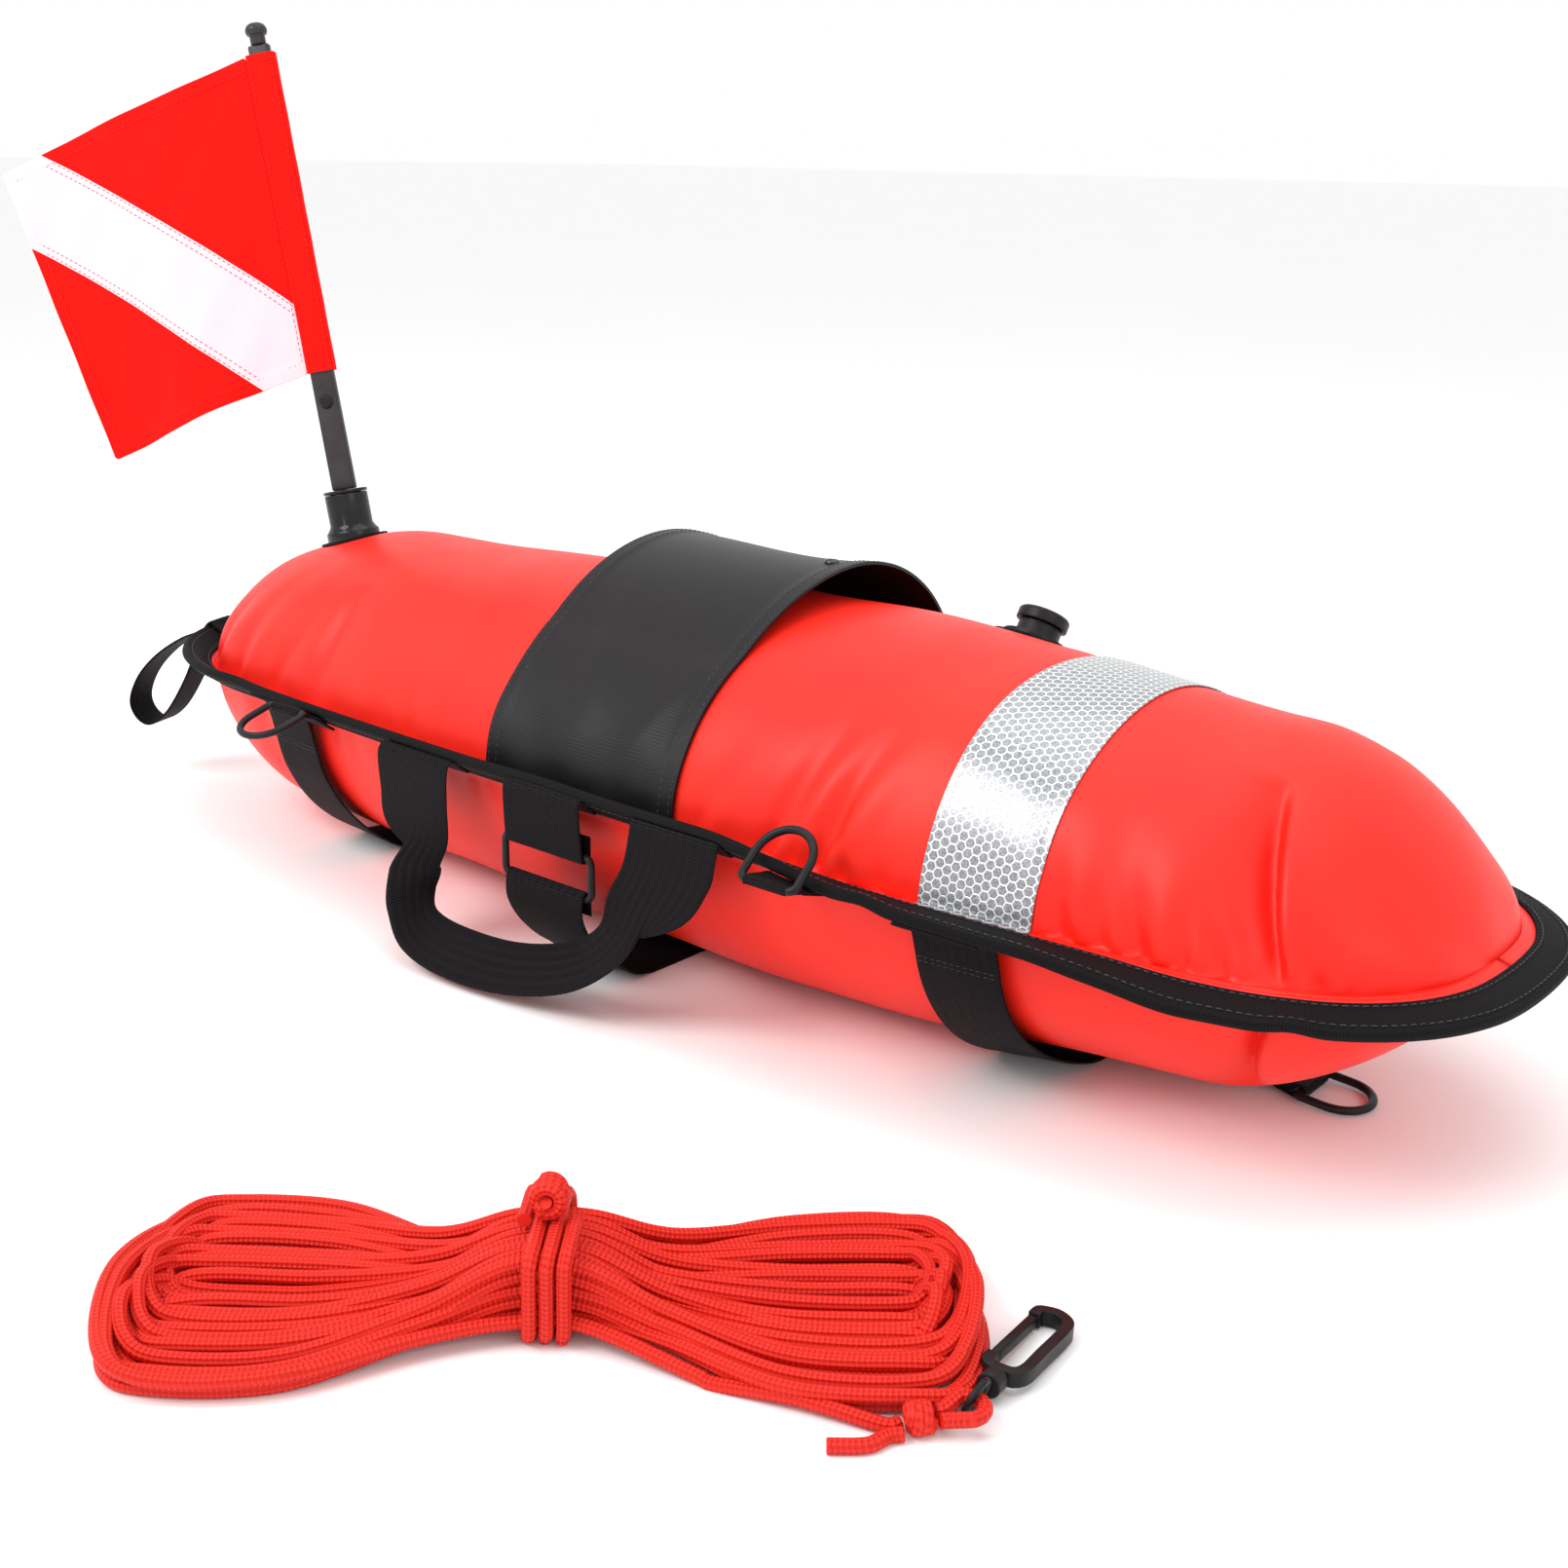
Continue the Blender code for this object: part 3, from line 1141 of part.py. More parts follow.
def build_flag(start, axis, out, side):
    """The sleeve on the bar, and the flag sewn from two red cloths and a white stripe."""
    inner_out = POLE_WIDTH / 2 + SLEEVE_CLEARANCE
    inner_side = POLE_THICKNESS / 2 + SLEEVE_CLEARANCE
    grids = [[], []]
    for a in np.linspace(0, 2 * math.pi, 24, endpoint=False):
        ca = math.copysign(math.sqrt(abs(math.cos(a))), math.cos(a))
        sa = math.copysign(math.sqrt(abs(math.sin(a))), math.sin(a))
        for grid, more in zip(grids, (0.0, FLAG_CLOTH)):
            across = out * (inner_out + more) * ca + side * (inner_side + more) * sa
            grid.append([start + axis * (HOIST_BOTTOM + HOIST * share) + across for share in (0.0, 1.0)])
    slab("flag_sleeve", grids[0], grids[1], "cloth_red", ring=True, origin=start)
    seam = inner_out + FLAG_CLOTH + GAP
    level = np.array([math.cos(FLAG_AZIMUTH), math.sin(FLAG_AZIMUTH), 0.0])
    along = level * math.cos(FLAG_DROOP) - np.array(UP) * math.sin(FLAG_DROOP)

    def spot(fly_share, hoist_share):
        reach = FLY_BOTTOM + (FLY - FLY_BOTTOM) * hoist_share
        fold = FLAG_FOLD_TOP + (FLAG_FOLD_BOTTOM - FLAG_FOLD_TOP) * (1 - hoist_share)
        wave = math.sin(FLAG_WAVES * math.pi * fly_share) * min(2 * fly_share, 1.0)
        place = start + axis * (HOIST_BOTTOM + HOIST * hoist_share) + out * seam
        return place + along * reach * fly_share + side * fold * wave

    upper, lower = STRIPE_UPPER_shares, STRIPE_LOWER_shares
    clear = GAP / FLY
    upper_red = ((0.0, upper[0][1] + 2 * clear), (upper[1][0] - clear, 1.0))
    lower_red = ((lower[0][0] + 2 * clear, 0.0), (1.0, lower[1][1] - 2 * clear))
    pieces = (
        ("flag_stripe_white", "cloth_white", (lower, ((0.0, 0.0), (1.0, 1.0)), upper)),
        ("flag_red_upper", "cloth_red", (upper_red, (upper_red[0], (0.0, 1.0), upper_red[1]))),
        ("flag_red_lower", "cloth_red", (lower_red, (lower_red[0], (1.0, 0.0), lower_red[1]))),
    )
    for name, finish, chains in pieces:
        grid = []
        for a in np.linspace(0, 1, FLAG_STEPS):
            column = []
            for b in np.linspace(0, len(chains) - 1, 7):
                k = min(int(b), len(chains) - 2)
                pair = chain_point(chains[k], a) * (1 - (b - k)) + chain_point(chains[k + 1], a) * (b - k)
                column.append(spot(*pair))
            grid.append(column)
        grid = np.array(grid)
        sheet = side * FLAG_CLOTH / 2
        slab(name, grid - sheet, grid + sheet, finish, origin=start)


# Hank of line

HANK_AHEAD = np.array([math.cos(HANK_HEADING), math.sin(HANK_HEADING), 0.0])
HANK_NEAR = np.array([math.sin(HANK_HEADING), -math.cos(HANK_HEADING), 0.0])
HANK_HALF = (HANK_LENGTH - ROPE) / 2
HANK_SIDE = (HANK_WIDTH - ROPE) / 2
LAYER_LOOPS = HANK_LOOPS // HANK_LAYERS
HANK_DRAW = HANK_SIDE - HANK_PITCH * LAYER_LOOPS - HANK_WAIST_CLEARANCE


def hank_place(ahead, near, height):
    return np.array([HANK_X, HANK_Y, height]) + HANK_AHEAD * ahead + HANK_NEAR * near


def eased(share):
    share = min(max(share, 0.0), 1.0)
    return share * share * (3 - 2 * share)


def hank_point(t):
    """The rope's middle after a number of turns."""
    nearest = LAYER_LOOPS * round(t / LAYER_LOOPS)
    off = t - nearest
    drawn = abs(off) if abs(off) > 0.25 else 2 * off * off + 0.125
    if nearest in (0, HANK_LOOPS):
        drawn = off if nearest == 0 else -off
    if round(nearest / LAYER_LOOPS) % 2:
        drawn = LAYER_LOOPS - drawn
    layer = math.floor(t / LAYER_LOOPS)
    if 0 < nearest < HANK_LOOPS and abs(off) < 0.25:
        layer = nearest / LAYER_LOOPS - 1 + eased(2 * (off + 0.25))
    layer = min(max(layer, 0), HANK_LAYERS - 1)
    angle = 2 * math.pi * (t - HANK_EVEN * math.sin(4 * math.pi * t) / (4 * math.pi)) - math.pi / 2
    ahead = (HANK_HALF - HANK_PITCH * drawn) * math.cos(angle)
    waist = HANK_DRAW * math.exp(-(ahead / HANK_WAIST_REACH) ** 2)
    side = -math.sin(angle) * (HANK_SIDE - HANK_PITCH * drawn)
    near = side - math.copysign(waist, side)
    height = ROPE / 2 + layer * HANK_LAYER_RISE + HANK_WAIST_LIFT * math.exp(-(ahead / HANK_WAIST_REACH) ** 4)
    return hank_place(ahead, near, height)


def hank_path():
    steps = round((HANK_LOOPS + HANK_END_TURN - HANK_START_TURN) * POINTS_PER_LOOP)
    points = [hank_point(t) for t in np.linspace(HANK_START_TURN, HANK_LOOPS + HANK_END_TURN, steps + 1)]
    for end, before in ((0, 1), (-1, -2)):
        way = points[end] - points[before]
        way[2] = 0.0
        way /= np.linalg.norm(way)
        extra = points[end] + way * ROPE
        points = [extra] + points if end == 0 else points + [extra]
    return np.array(points)


def least_gap(points, radius, skip):
    """The least room between parts of one wound rope, measured between its points."""
    fine = np.vstack([points[:-1] + (points[1:] - points[:-1]) * share for share in (0.0, 0.5)])
    order = np.concatenate([np.arange(len(points) - 1) + share for share in (0.0, 0.5)])
    least = math.inf
    for spot, place in zip(fine, order):
        far = fine[np.abs(order - place) > skip]
        least = min(least, float(np.linalg.norm(far - spot, axis=1).min()))
    return least - 2 * radius


def tie_path(hank):
    """The rope wound round the waist of the hank."""
    flat = hank - np.array([HANK_X, HANK_Y, 0.0])
    waist = flat[np.abs(flat @ HANK_AHEAD) < HANK_WAIST_REACH / 2]
    low = HANK_WAIST_LIFT + ROPE / 2
    high = low + (HANK_LAYERS - 1) * HANK_LAYER_RISE
    wide = float(np.abs(waist @ HANK_NEAR).max())
    off = ROPE + TIE_CLEARANCE
    turn = []
    for k, (near, height) in enumerate(((wide, high), (-wide, high), (-wide, low), (wide, low))):
        turn += round_bar((near, height), off, k * math.pi / 2, (k + 1) * math.pi / 2, steps=4)
        if k == 0:
            turn.append((0.0, high + off))
    turn = turn[4:] + turn[:4]
    points = []
    whole = TIE_TURNS * len(turn)
    for k in range(whole + 1):
        near, height = turn[k % len(turn)]
        points.append(hank_place((k / whole - 0.5) * TIE_TURNS * TIE_PITCH, near, height))
    return points, high + off


def knot(name, centre, axis, radius, length):
    """A barrel knot: three wraps of rope side by side."""
    profile = [(0.0, -length / 2)]
    wrap = length / KNOT_WRAPS
    for k in range(KNOT_WRAPS):
        middle = -length / 2 + wrap * (k + 0.5)
        for a in np.linspace(math.pi, 0.0, 5):
            profile.append((radius * (0.80 + 0.20 * math.sin(a)), middle + wrap * 0.46 * math.cos(a)))
    profile.append((0.0, length / 2))
    return turned(name, profile, centre, axis, "rope", steps=14)


def build_hank():
    points = hank_path()
    print("hank least gap mm", round(1000 * least_gap(points, ROPE / 2, POINTS_PER_LOOP / 3), 3),
          "length m", round(float(np.linalg.norm(np.diff(points, axis=0), axis=1).sum()), 3),
          "points", len(points))
    tube("hank_rope", points, ROPE / 2, "rope", sides=1)
    wound, top = tie_path(points)
    tube("hank_tie", wound, ROPE / 2, "rope", sides=1)
    knot("tie_knot", hank_place(0.0, 0.0, top + ROPE / 2 + GAP + TIE_KNOT_RADIUS), HANK_NEAR,
         TIE_KNOT_RADIUS, TIE_KNOT_LENGTH)
    build_line(points[-1], points[-1] - points[-2])


def build_line(start, way):
    """The end of the line, its knot, the loop through the swivel, and the hook."""
    way = way / np.linalg.norm(way)
    axis = np.array([math.cos(KNOT_HEADING), math.sin(KNOT_HEADING), 0.0])
    aside = np.array([math.sin(KNOT_HEADING), -math.cos(KNOT_HEADING), 0.0])
    centre = hank_place(KNOT_ALONG, KNOT_ACROSS, KNOT_RADIUS)
    knot("line_knot", centre, axis, KNOT_RADIUS, KNOT_LENGTH)
    back = centre - axis * (KNOT_LENGTH / 2 + GAP)
    beside = ROPE / 2 + GAP
    down = np.array([0.0, 0.0, KNOT_RADIUS - ROPE / 2])
    into = back - aside * beside - down
    first = start + way * GAP
    middle = (first + into) / 2 + HANK_NEAR * ROPE / 3 + np.array(UP) * ROPE / 3
    route = smooth_path([first + way * ROPE, middle, into - axis * ROPE], LINE_STEPS)
    tube("line_stretch", [first] + list(route) + [into], ROPE / 2, "rope", sides=2)
    out = back + aside * beside - down
    end = hank_place(TAIL_END_ALONG, TAIL_END_ACROSS, ROPE / 2)
    route = smooth_path([out - axis * ROPE, (out + end) / 2 + aside * ROPE / 2, end], LINE_STEPS // 2)
    tube("line_tail", [out] + list(route), ROPE / 2, "rope", sides=2)
    build_hook(centre, axis, aside)


def build_hook(knot_centre, axis, aside):
    rise = np.array([0.0, 0.0, EYE_HEIGHT - KNOT_RADIUS])
    front = knot_centre + axis * (KNOT_LENGTH / 2 + GAP)
    crook = front + axis * (LOOP_ROPE_RADIUS + ROPE / 2) + rise
    leg = ROPE / 2 + GAP
    straight = axis * ROPE / 2
    points = [front + aside * leg, front + aside * leg + straight]
    for a in np.linspace(0.0, math.pi, 11):
        points.append(crook + (aside * math.cos(a) + axis * math.sin(a)) * LOOP_ROPE_RADIUS)
    points += [front - aside * leg + straight, front - aside * leg]
    tube("line_loop", points, ROPE / 2, "rope", sides=2)
    drop = HOOK_PITCH
    ahead = np.array([math.cos(HOOK_HEADING) * math.cos(drop), math.sin(HOOK_HEADING) * math.cos(drop),
                      -math.sin(drop)])
    left = np.array([-math.sin(HOOK_HEADING), math.cos(HOOK_HEADING), 0.0])
    over = np.cross(ahead, left)
    eye = crook + ahead * (EYE_RADIUS + EYE_PULL)
    upward = over * math.cos(EYE_TILT) - left * math.sin(EYE_TILT)
    ring_points = [eye + (ahead * math.cos(a) + upward * math.sin(a)) * EYE_RADIUS
                   for a in np.linspace(0, 2 * math.pi, 16, endpoint=False)]
    tube("swivel_eye", ring_points, EYE_WIRE, "plastic", sides=1, closed=True)
    base = eye + ahead * (EYE_RADIUS + EYE_WIRE + GAP)
    bore = SWIVEL_STEM_RADIUS + GAP
    turned("swivel_barrel", [
        (0.0, 0.0), (SWIVEL_RADIUS, 0.0), (SWIVEL_RADIUS, SWIVEL_LENGTH), (bore, SWIVEL_LENGTH),
        (bore, SWIVEL_LENGTH / 4), (0.0, SWIVEL_LENGTH / 4),
    ], base, ahead, "plastic", steps=16)
    stem_start = base + ahead * (SWIVEL_LENGTH / 4 + GAP)
    stem = SWIVEL_LENGTH * 3 / 4 + GAP
    turned("hook_stem", [(0.0, 0.0), (SWIVEL_STEM_RADIUS, 0.0), (SWIVEL_STEM_RADIUS, stem), (0.0, stem)],
           stem_start, ahead, "plastic", steps=16, origin=stem_start)
    foot = stem_start + ahead * (stem + GAP)
    route = smooth_path([(a * HOOK_LENGTH, b * HOOK_WIDTH, 0.0) for a, b in HOOK_ROUTE_shares], HOOK_STEPS)
    inner, outer = shifted(route[:, :2], HOOK_BAR / 2), shifted(route[:, :2], -HOOK_BAR / 2)
    nearest = min(inner[:, 0].min(), outer[:, 0].min())

    def block(path, depth):
        """Two rows of points, below and above a line in the hook's plane."""
        return [[foot + ahead * (a - nearest) + left * b + over * lift for lift in (-depth / 2, depth / 2)]
                for a, b in path]

    slab("hook_frame", block(inner, HOOK_DEPTH), block(outer, HOOK_DEPTH), "plastic", origin=stem_start)
    mouth_low, mouth_high = route[0], route[-1]
    gate_half = HOOK_BAR * 0.4
    pivot = (mouth_low[0] + GATE_CLEARANCE + gate_half, mouth_low[1])
    tip = mouth_high[0] - GATE_CLEARANCE
    low, high = [], []
    for a in np.linspace(math.pi / 2, math.pi, 4):
        reach, width = gate_half * math.cos(a), gate_half * math.sin(a)
        low.append((pivot[0] + reach, pivot[1] - width))
        high.append((pivot[0] + reach, pivot[1] + width))
    low, high = low[::-1], high[::-1]
    low.append((tip, pivot[1] - gate_half))
    high.append((tip, pivot[1] + gate_half))
    hinge = foot + ahead * (pivot[0] - nearest) + left * pivot[1]
    slab("hook_gate", block(low, HOOK_DEPTH * 0.8), block(high, HOOK_DEPTH * 0.8), "plastic", origin=hinge)
    print("hook axis", [round(float(v), 4) for v in stem_start], [round(float(v), 4) for v in ahead],
          "gate", [round(float(v), 4) for v in hinge], [round(float(v), 4) for v in over])


clear_scene()
build_body()
build_middle_strap()
build_handle()
build_rings()
build_tail_loop()
build_valve()
build_pole()
build_hank()
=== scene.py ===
"""The looks of a dive flag float with its flag, webbing and floating line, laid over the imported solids."""
import json
import math

import bmesh
import bpy
import numpy as np
from mathutils import Matrix, Vector
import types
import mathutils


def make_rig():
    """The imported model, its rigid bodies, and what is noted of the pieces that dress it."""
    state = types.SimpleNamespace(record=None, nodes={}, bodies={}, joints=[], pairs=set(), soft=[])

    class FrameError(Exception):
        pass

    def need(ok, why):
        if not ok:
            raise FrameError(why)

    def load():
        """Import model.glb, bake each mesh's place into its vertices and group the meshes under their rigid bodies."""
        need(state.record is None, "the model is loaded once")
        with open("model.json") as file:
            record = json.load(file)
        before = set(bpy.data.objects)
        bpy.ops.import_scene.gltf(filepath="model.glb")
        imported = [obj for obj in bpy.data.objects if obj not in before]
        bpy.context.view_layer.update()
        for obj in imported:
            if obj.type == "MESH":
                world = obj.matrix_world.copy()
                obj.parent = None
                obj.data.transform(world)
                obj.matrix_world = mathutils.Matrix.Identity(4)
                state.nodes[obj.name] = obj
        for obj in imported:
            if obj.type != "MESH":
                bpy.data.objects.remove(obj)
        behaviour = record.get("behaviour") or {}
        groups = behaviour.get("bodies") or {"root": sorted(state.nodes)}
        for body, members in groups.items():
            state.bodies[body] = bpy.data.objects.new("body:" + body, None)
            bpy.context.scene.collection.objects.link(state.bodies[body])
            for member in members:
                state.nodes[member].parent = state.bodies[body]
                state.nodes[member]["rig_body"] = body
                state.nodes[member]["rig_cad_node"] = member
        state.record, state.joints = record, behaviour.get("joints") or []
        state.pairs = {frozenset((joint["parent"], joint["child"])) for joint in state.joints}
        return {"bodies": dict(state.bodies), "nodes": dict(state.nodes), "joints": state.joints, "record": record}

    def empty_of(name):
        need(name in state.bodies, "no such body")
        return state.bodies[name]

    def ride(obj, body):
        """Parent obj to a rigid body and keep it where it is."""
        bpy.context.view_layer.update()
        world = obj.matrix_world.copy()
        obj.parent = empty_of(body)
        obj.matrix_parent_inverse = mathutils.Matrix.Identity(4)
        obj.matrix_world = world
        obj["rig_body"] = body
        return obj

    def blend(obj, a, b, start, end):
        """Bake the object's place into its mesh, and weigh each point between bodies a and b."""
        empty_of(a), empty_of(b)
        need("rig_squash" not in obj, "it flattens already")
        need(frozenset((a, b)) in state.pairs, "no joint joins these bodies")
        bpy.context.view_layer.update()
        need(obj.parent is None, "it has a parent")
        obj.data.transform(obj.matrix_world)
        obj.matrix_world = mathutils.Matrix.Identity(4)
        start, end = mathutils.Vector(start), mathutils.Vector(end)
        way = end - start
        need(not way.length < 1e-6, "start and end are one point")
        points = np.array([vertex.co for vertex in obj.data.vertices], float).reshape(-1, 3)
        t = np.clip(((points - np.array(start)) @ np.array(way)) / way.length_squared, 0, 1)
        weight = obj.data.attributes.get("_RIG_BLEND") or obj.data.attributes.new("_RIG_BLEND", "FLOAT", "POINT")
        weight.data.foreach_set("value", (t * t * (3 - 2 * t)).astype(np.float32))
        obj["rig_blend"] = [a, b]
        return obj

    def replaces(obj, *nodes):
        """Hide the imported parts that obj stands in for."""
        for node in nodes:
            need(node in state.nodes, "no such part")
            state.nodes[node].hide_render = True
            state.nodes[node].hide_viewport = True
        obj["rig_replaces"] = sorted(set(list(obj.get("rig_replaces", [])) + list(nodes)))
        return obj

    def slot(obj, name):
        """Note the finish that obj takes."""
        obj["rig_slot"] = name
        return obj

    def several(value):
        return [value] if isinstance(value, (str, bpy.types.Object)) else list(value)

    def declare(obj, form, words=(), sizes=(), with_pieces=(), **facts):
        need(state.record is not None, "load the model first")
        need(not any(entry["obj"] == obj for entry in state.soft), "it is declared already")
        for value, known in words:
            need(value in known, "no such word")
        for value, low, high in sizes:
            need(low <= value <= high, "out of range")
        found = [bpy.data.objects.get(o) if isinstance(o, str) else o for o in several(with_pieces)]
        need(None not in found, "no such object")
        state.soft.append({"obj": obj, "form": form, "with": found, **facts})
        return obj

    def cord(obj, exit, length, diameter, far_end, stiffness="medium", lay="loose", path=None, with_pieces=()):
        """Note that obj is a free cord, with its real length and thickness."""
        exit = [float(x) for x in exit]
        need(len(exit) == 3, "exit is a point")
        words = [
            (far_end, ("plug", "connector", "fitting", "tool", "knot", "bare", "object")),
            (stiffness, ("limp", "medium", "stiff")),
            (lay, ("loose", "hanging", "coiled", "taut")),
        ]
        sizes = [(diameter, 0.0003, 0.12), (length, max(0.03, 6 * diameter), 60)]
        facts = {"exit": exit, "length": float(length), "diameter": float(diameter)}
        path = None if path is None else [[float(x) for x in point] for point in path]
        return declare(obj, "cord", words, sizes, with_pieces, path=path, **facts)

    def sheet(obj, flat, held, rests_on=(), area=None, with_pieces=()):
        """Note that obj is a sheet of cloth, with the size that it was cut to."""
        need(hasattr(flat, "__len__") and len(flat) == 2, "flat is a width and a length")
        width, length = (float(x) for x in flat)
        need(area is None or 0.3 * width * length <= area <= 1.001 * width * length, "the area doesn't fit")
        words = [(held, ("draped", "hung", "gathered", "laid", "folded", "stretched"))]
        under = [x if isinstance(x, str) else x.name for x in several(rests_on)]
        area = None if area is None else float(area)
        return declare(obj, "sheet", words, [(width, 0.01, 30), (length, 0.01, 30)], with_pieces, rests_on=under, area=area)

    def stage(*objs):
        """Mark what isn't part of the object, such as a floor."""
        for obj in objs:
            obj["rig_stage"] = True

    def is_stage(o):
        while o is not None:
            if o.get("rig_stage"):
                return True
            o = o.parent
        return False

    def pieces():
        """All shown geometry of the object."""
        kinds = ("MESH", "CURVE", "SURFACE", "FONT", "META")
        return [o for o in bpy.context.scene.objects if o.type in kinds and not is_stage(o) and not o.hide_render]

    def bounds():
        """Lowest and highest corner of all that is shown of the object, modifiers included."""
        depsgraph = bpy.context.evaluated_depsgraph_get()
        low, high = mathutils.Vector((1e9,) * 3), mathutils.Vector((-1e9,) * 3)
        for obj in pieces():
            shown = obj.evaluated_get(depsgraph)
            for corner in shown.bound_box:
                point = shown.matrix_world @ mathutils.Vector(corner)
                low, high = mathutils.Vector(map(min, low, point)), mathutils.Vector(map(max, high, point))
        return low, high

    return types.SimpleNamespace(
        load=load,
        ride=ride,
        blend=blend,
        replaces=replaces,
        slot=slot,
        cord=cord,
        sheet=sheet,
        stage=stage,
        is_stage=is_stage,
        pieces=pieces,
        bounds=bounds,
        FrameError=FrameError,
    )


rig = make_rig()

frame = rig.load()
CAD_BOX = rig.bounds()
UP = np.array([0.0, 0.0, 1.0])

# Body, with the same driving dimensions as the solids
BODY_LENGTH = 0.742
SEAM_HEIGHT = 0.085
HALF_WIDTH = 0.107
WIDEST_X = 0.050
NOSE_TAPER = 0.103
TAIL_TAPER = 0.108
NOSE_NARROWING = 0.0145
TAIL_NARROWING = 0.0126
PANEL_SKIN = 0.001
FLANGE_WIDTH = 0.021
UPPER_HEIGHT_SHARES = (0.81, 0.80)
LOWER_HEIGHT_SHARES = (0.916, 0.79)
PLAN_END = (2.0, 0.374)
NOSE_END = (1.80, 0.69)
TAIL_END = (1.34, 0.31)
BODY_STEPS = 36
TWIST_SHARES = (0.10, 0.24)
TWIST_STEPS = 8
FLANGE_TILT_SHARES = ((-0.45, 0.60), (0.10, 0.66), (0.24, 0.12), (0.45, -0.30))
LAYER_GAP = 0.0003
WEBBING = 0.0013
BINDING_WIDTH = 0.0155
BINDING_CLOTH = 0.0009
BINDING_START = FLANGE_WIDTH - BINDING_WIDTH
BINDING_INNER = LAYER_GAP / 2 + PANEL_SKIN + LAYER_GAP
BINDING_OUTER = BINDING_INNER + BINDING_CLOTH
BINDING_EDGE = FLANGE_WIDTH + LAYER_GAP + BINDING_CLOTH
STRAP_SEWN = 0.012

# Creases pressed into the ends: seam place, top place, reach in turns, depth, width on the tail and nose side
CREASES = (
    (0.323, 0.297, math.radians(66), 0.0160, 0.011, 0.0020, (True, False)),
    (-0.224, -0.217, math.radians(52), 0.0055, 0.005, 0.012, (True,)),
    (-0.262, -0.240, math.radians(40), 0.0034, 0.004, 0.009, (True,)),
)
# Folds that run up from the near seam: place, lean, reach up the side, depth, width
TALL_FOLDS = (
    (0.098, 0.30, 0.060, 0.0046, 0.0040), (0.111, 0.10, 0.042, 0.0034, 0.0032),
    (0.124, 0.25, 0.068, 0.0048, 0.0038), (0.139, -0.15, 0.034, 0.0030, 0.0032),
    (0.240, -0.30, 0.038, 0.0034, 0.0036), (0.256, -0.20, 0.028, 0.0030, 0.0032),
    (0.272, -0.35, 0.040, 0.0038, 0.0040), (0.288, -0.10, 0.025, 0.0028, 0.0030),
    (0.303, -0.30, 0.030, 0.0034, 0.0034), (-0.335, 0.35, 0.044, 0.0036, 0.0042),
    (-0.300, 0.30, 0.050, 0.0032, 0.0042), (-0.140, 0.10, 0.026, 0.0020, 0.0038),
    (0.335, -0.30, 0.026, 0.0026, 0.0030), (0.060, 0.20, 0.034, 0.0024, 0.0036),
)
PUCKER_SEED = 7
SWELL = 0.0007


# Small tools

MERGE_DISTANCE = LAYER_GAP / 60
SHARP_TURNED = math.radians(40)
SHARP_CLOTH = math.radians(50)
SHARP_PANEL = math.radians(55)
SHARP_ROUND = math.radians(60)
SHARP_WEBBING = math.radians(70)
TINY = 1e-9
CURVE_STEPS = 14
THREAD_SIDES = 6
# A sewn thread's bead: place along it, width and how far it stands out, as shares of length and thickness
THREAD_BEAD_SHARES = ((-0.5, 0.35, -0.45), (-0.3, 0.95, -0.05), (0.3, 0.95, -0.05), (0.5, 0.35, -0.45))
# Threads: distance from stitch to stitch, length and thickness of one
EDGE_THREAD = (0.0036, 0.0026, 0.00062)
BAND_THREAD = (0.0034, 0.0024, 0.00055)
STRAP_THREAD = (0.0030, 0.0021, 0.0005)
FLAG_THREAD = (0.0032, 0.0023, 0.0005)


def named(obj, name):
    """Gives an object and its mesh the same name."""
    obj.name = name
    obj.data.name = name
    return obj


def settle(obj, body, material, slot, nodes=()):
    """Gives a piece its finish and body, and names the solids that it stands for."""
    obj.data.materials.clear()
    obj.data.materials.append(material)
    if body:
        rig.ride(obj, body)
    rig.slot(obj, slot)
    if nodes:
        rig.replaces(obj, *nodes)
    return obj


def add_object(name, data):
    """A new object of the scene."""
    obj = bpy.data.objects.new(name, data)
    bpy.context.scene.collection.objects.link(obj)
    return obj


def closed(name, points, faces, smooth, uv=None):
    """An object from points and faces, doubles merged, faces turned outwards; uv is per corner."""
    mesh = bpy.data.meshes.new(name)
    mesh.from_pydata(points, [], faces)
    if uv is not None:
        mesh.uv_layers.new(name="pattern").data.foreach_set("uv", uv.ravel())
    work = bmesh.new()
    work.from_mesh(mesh)
    bmesh.ops.remove_doubles(work, verts=work.verts, dist=MERGE_DISTANCE)
    bmesh.ops.dissolve_degenerate(work, edges=work.edges, dist=MERGE_DISTANCE)
    bmesh.ops.recalc_face_normals(work, faces=work.faces)
    work.to_mesh(mesh)
    work.free()
    mesh.shade_smooth()
    mesh.set_sharp_from_angle(angle=smooth)
    return add_object(name, mesh)


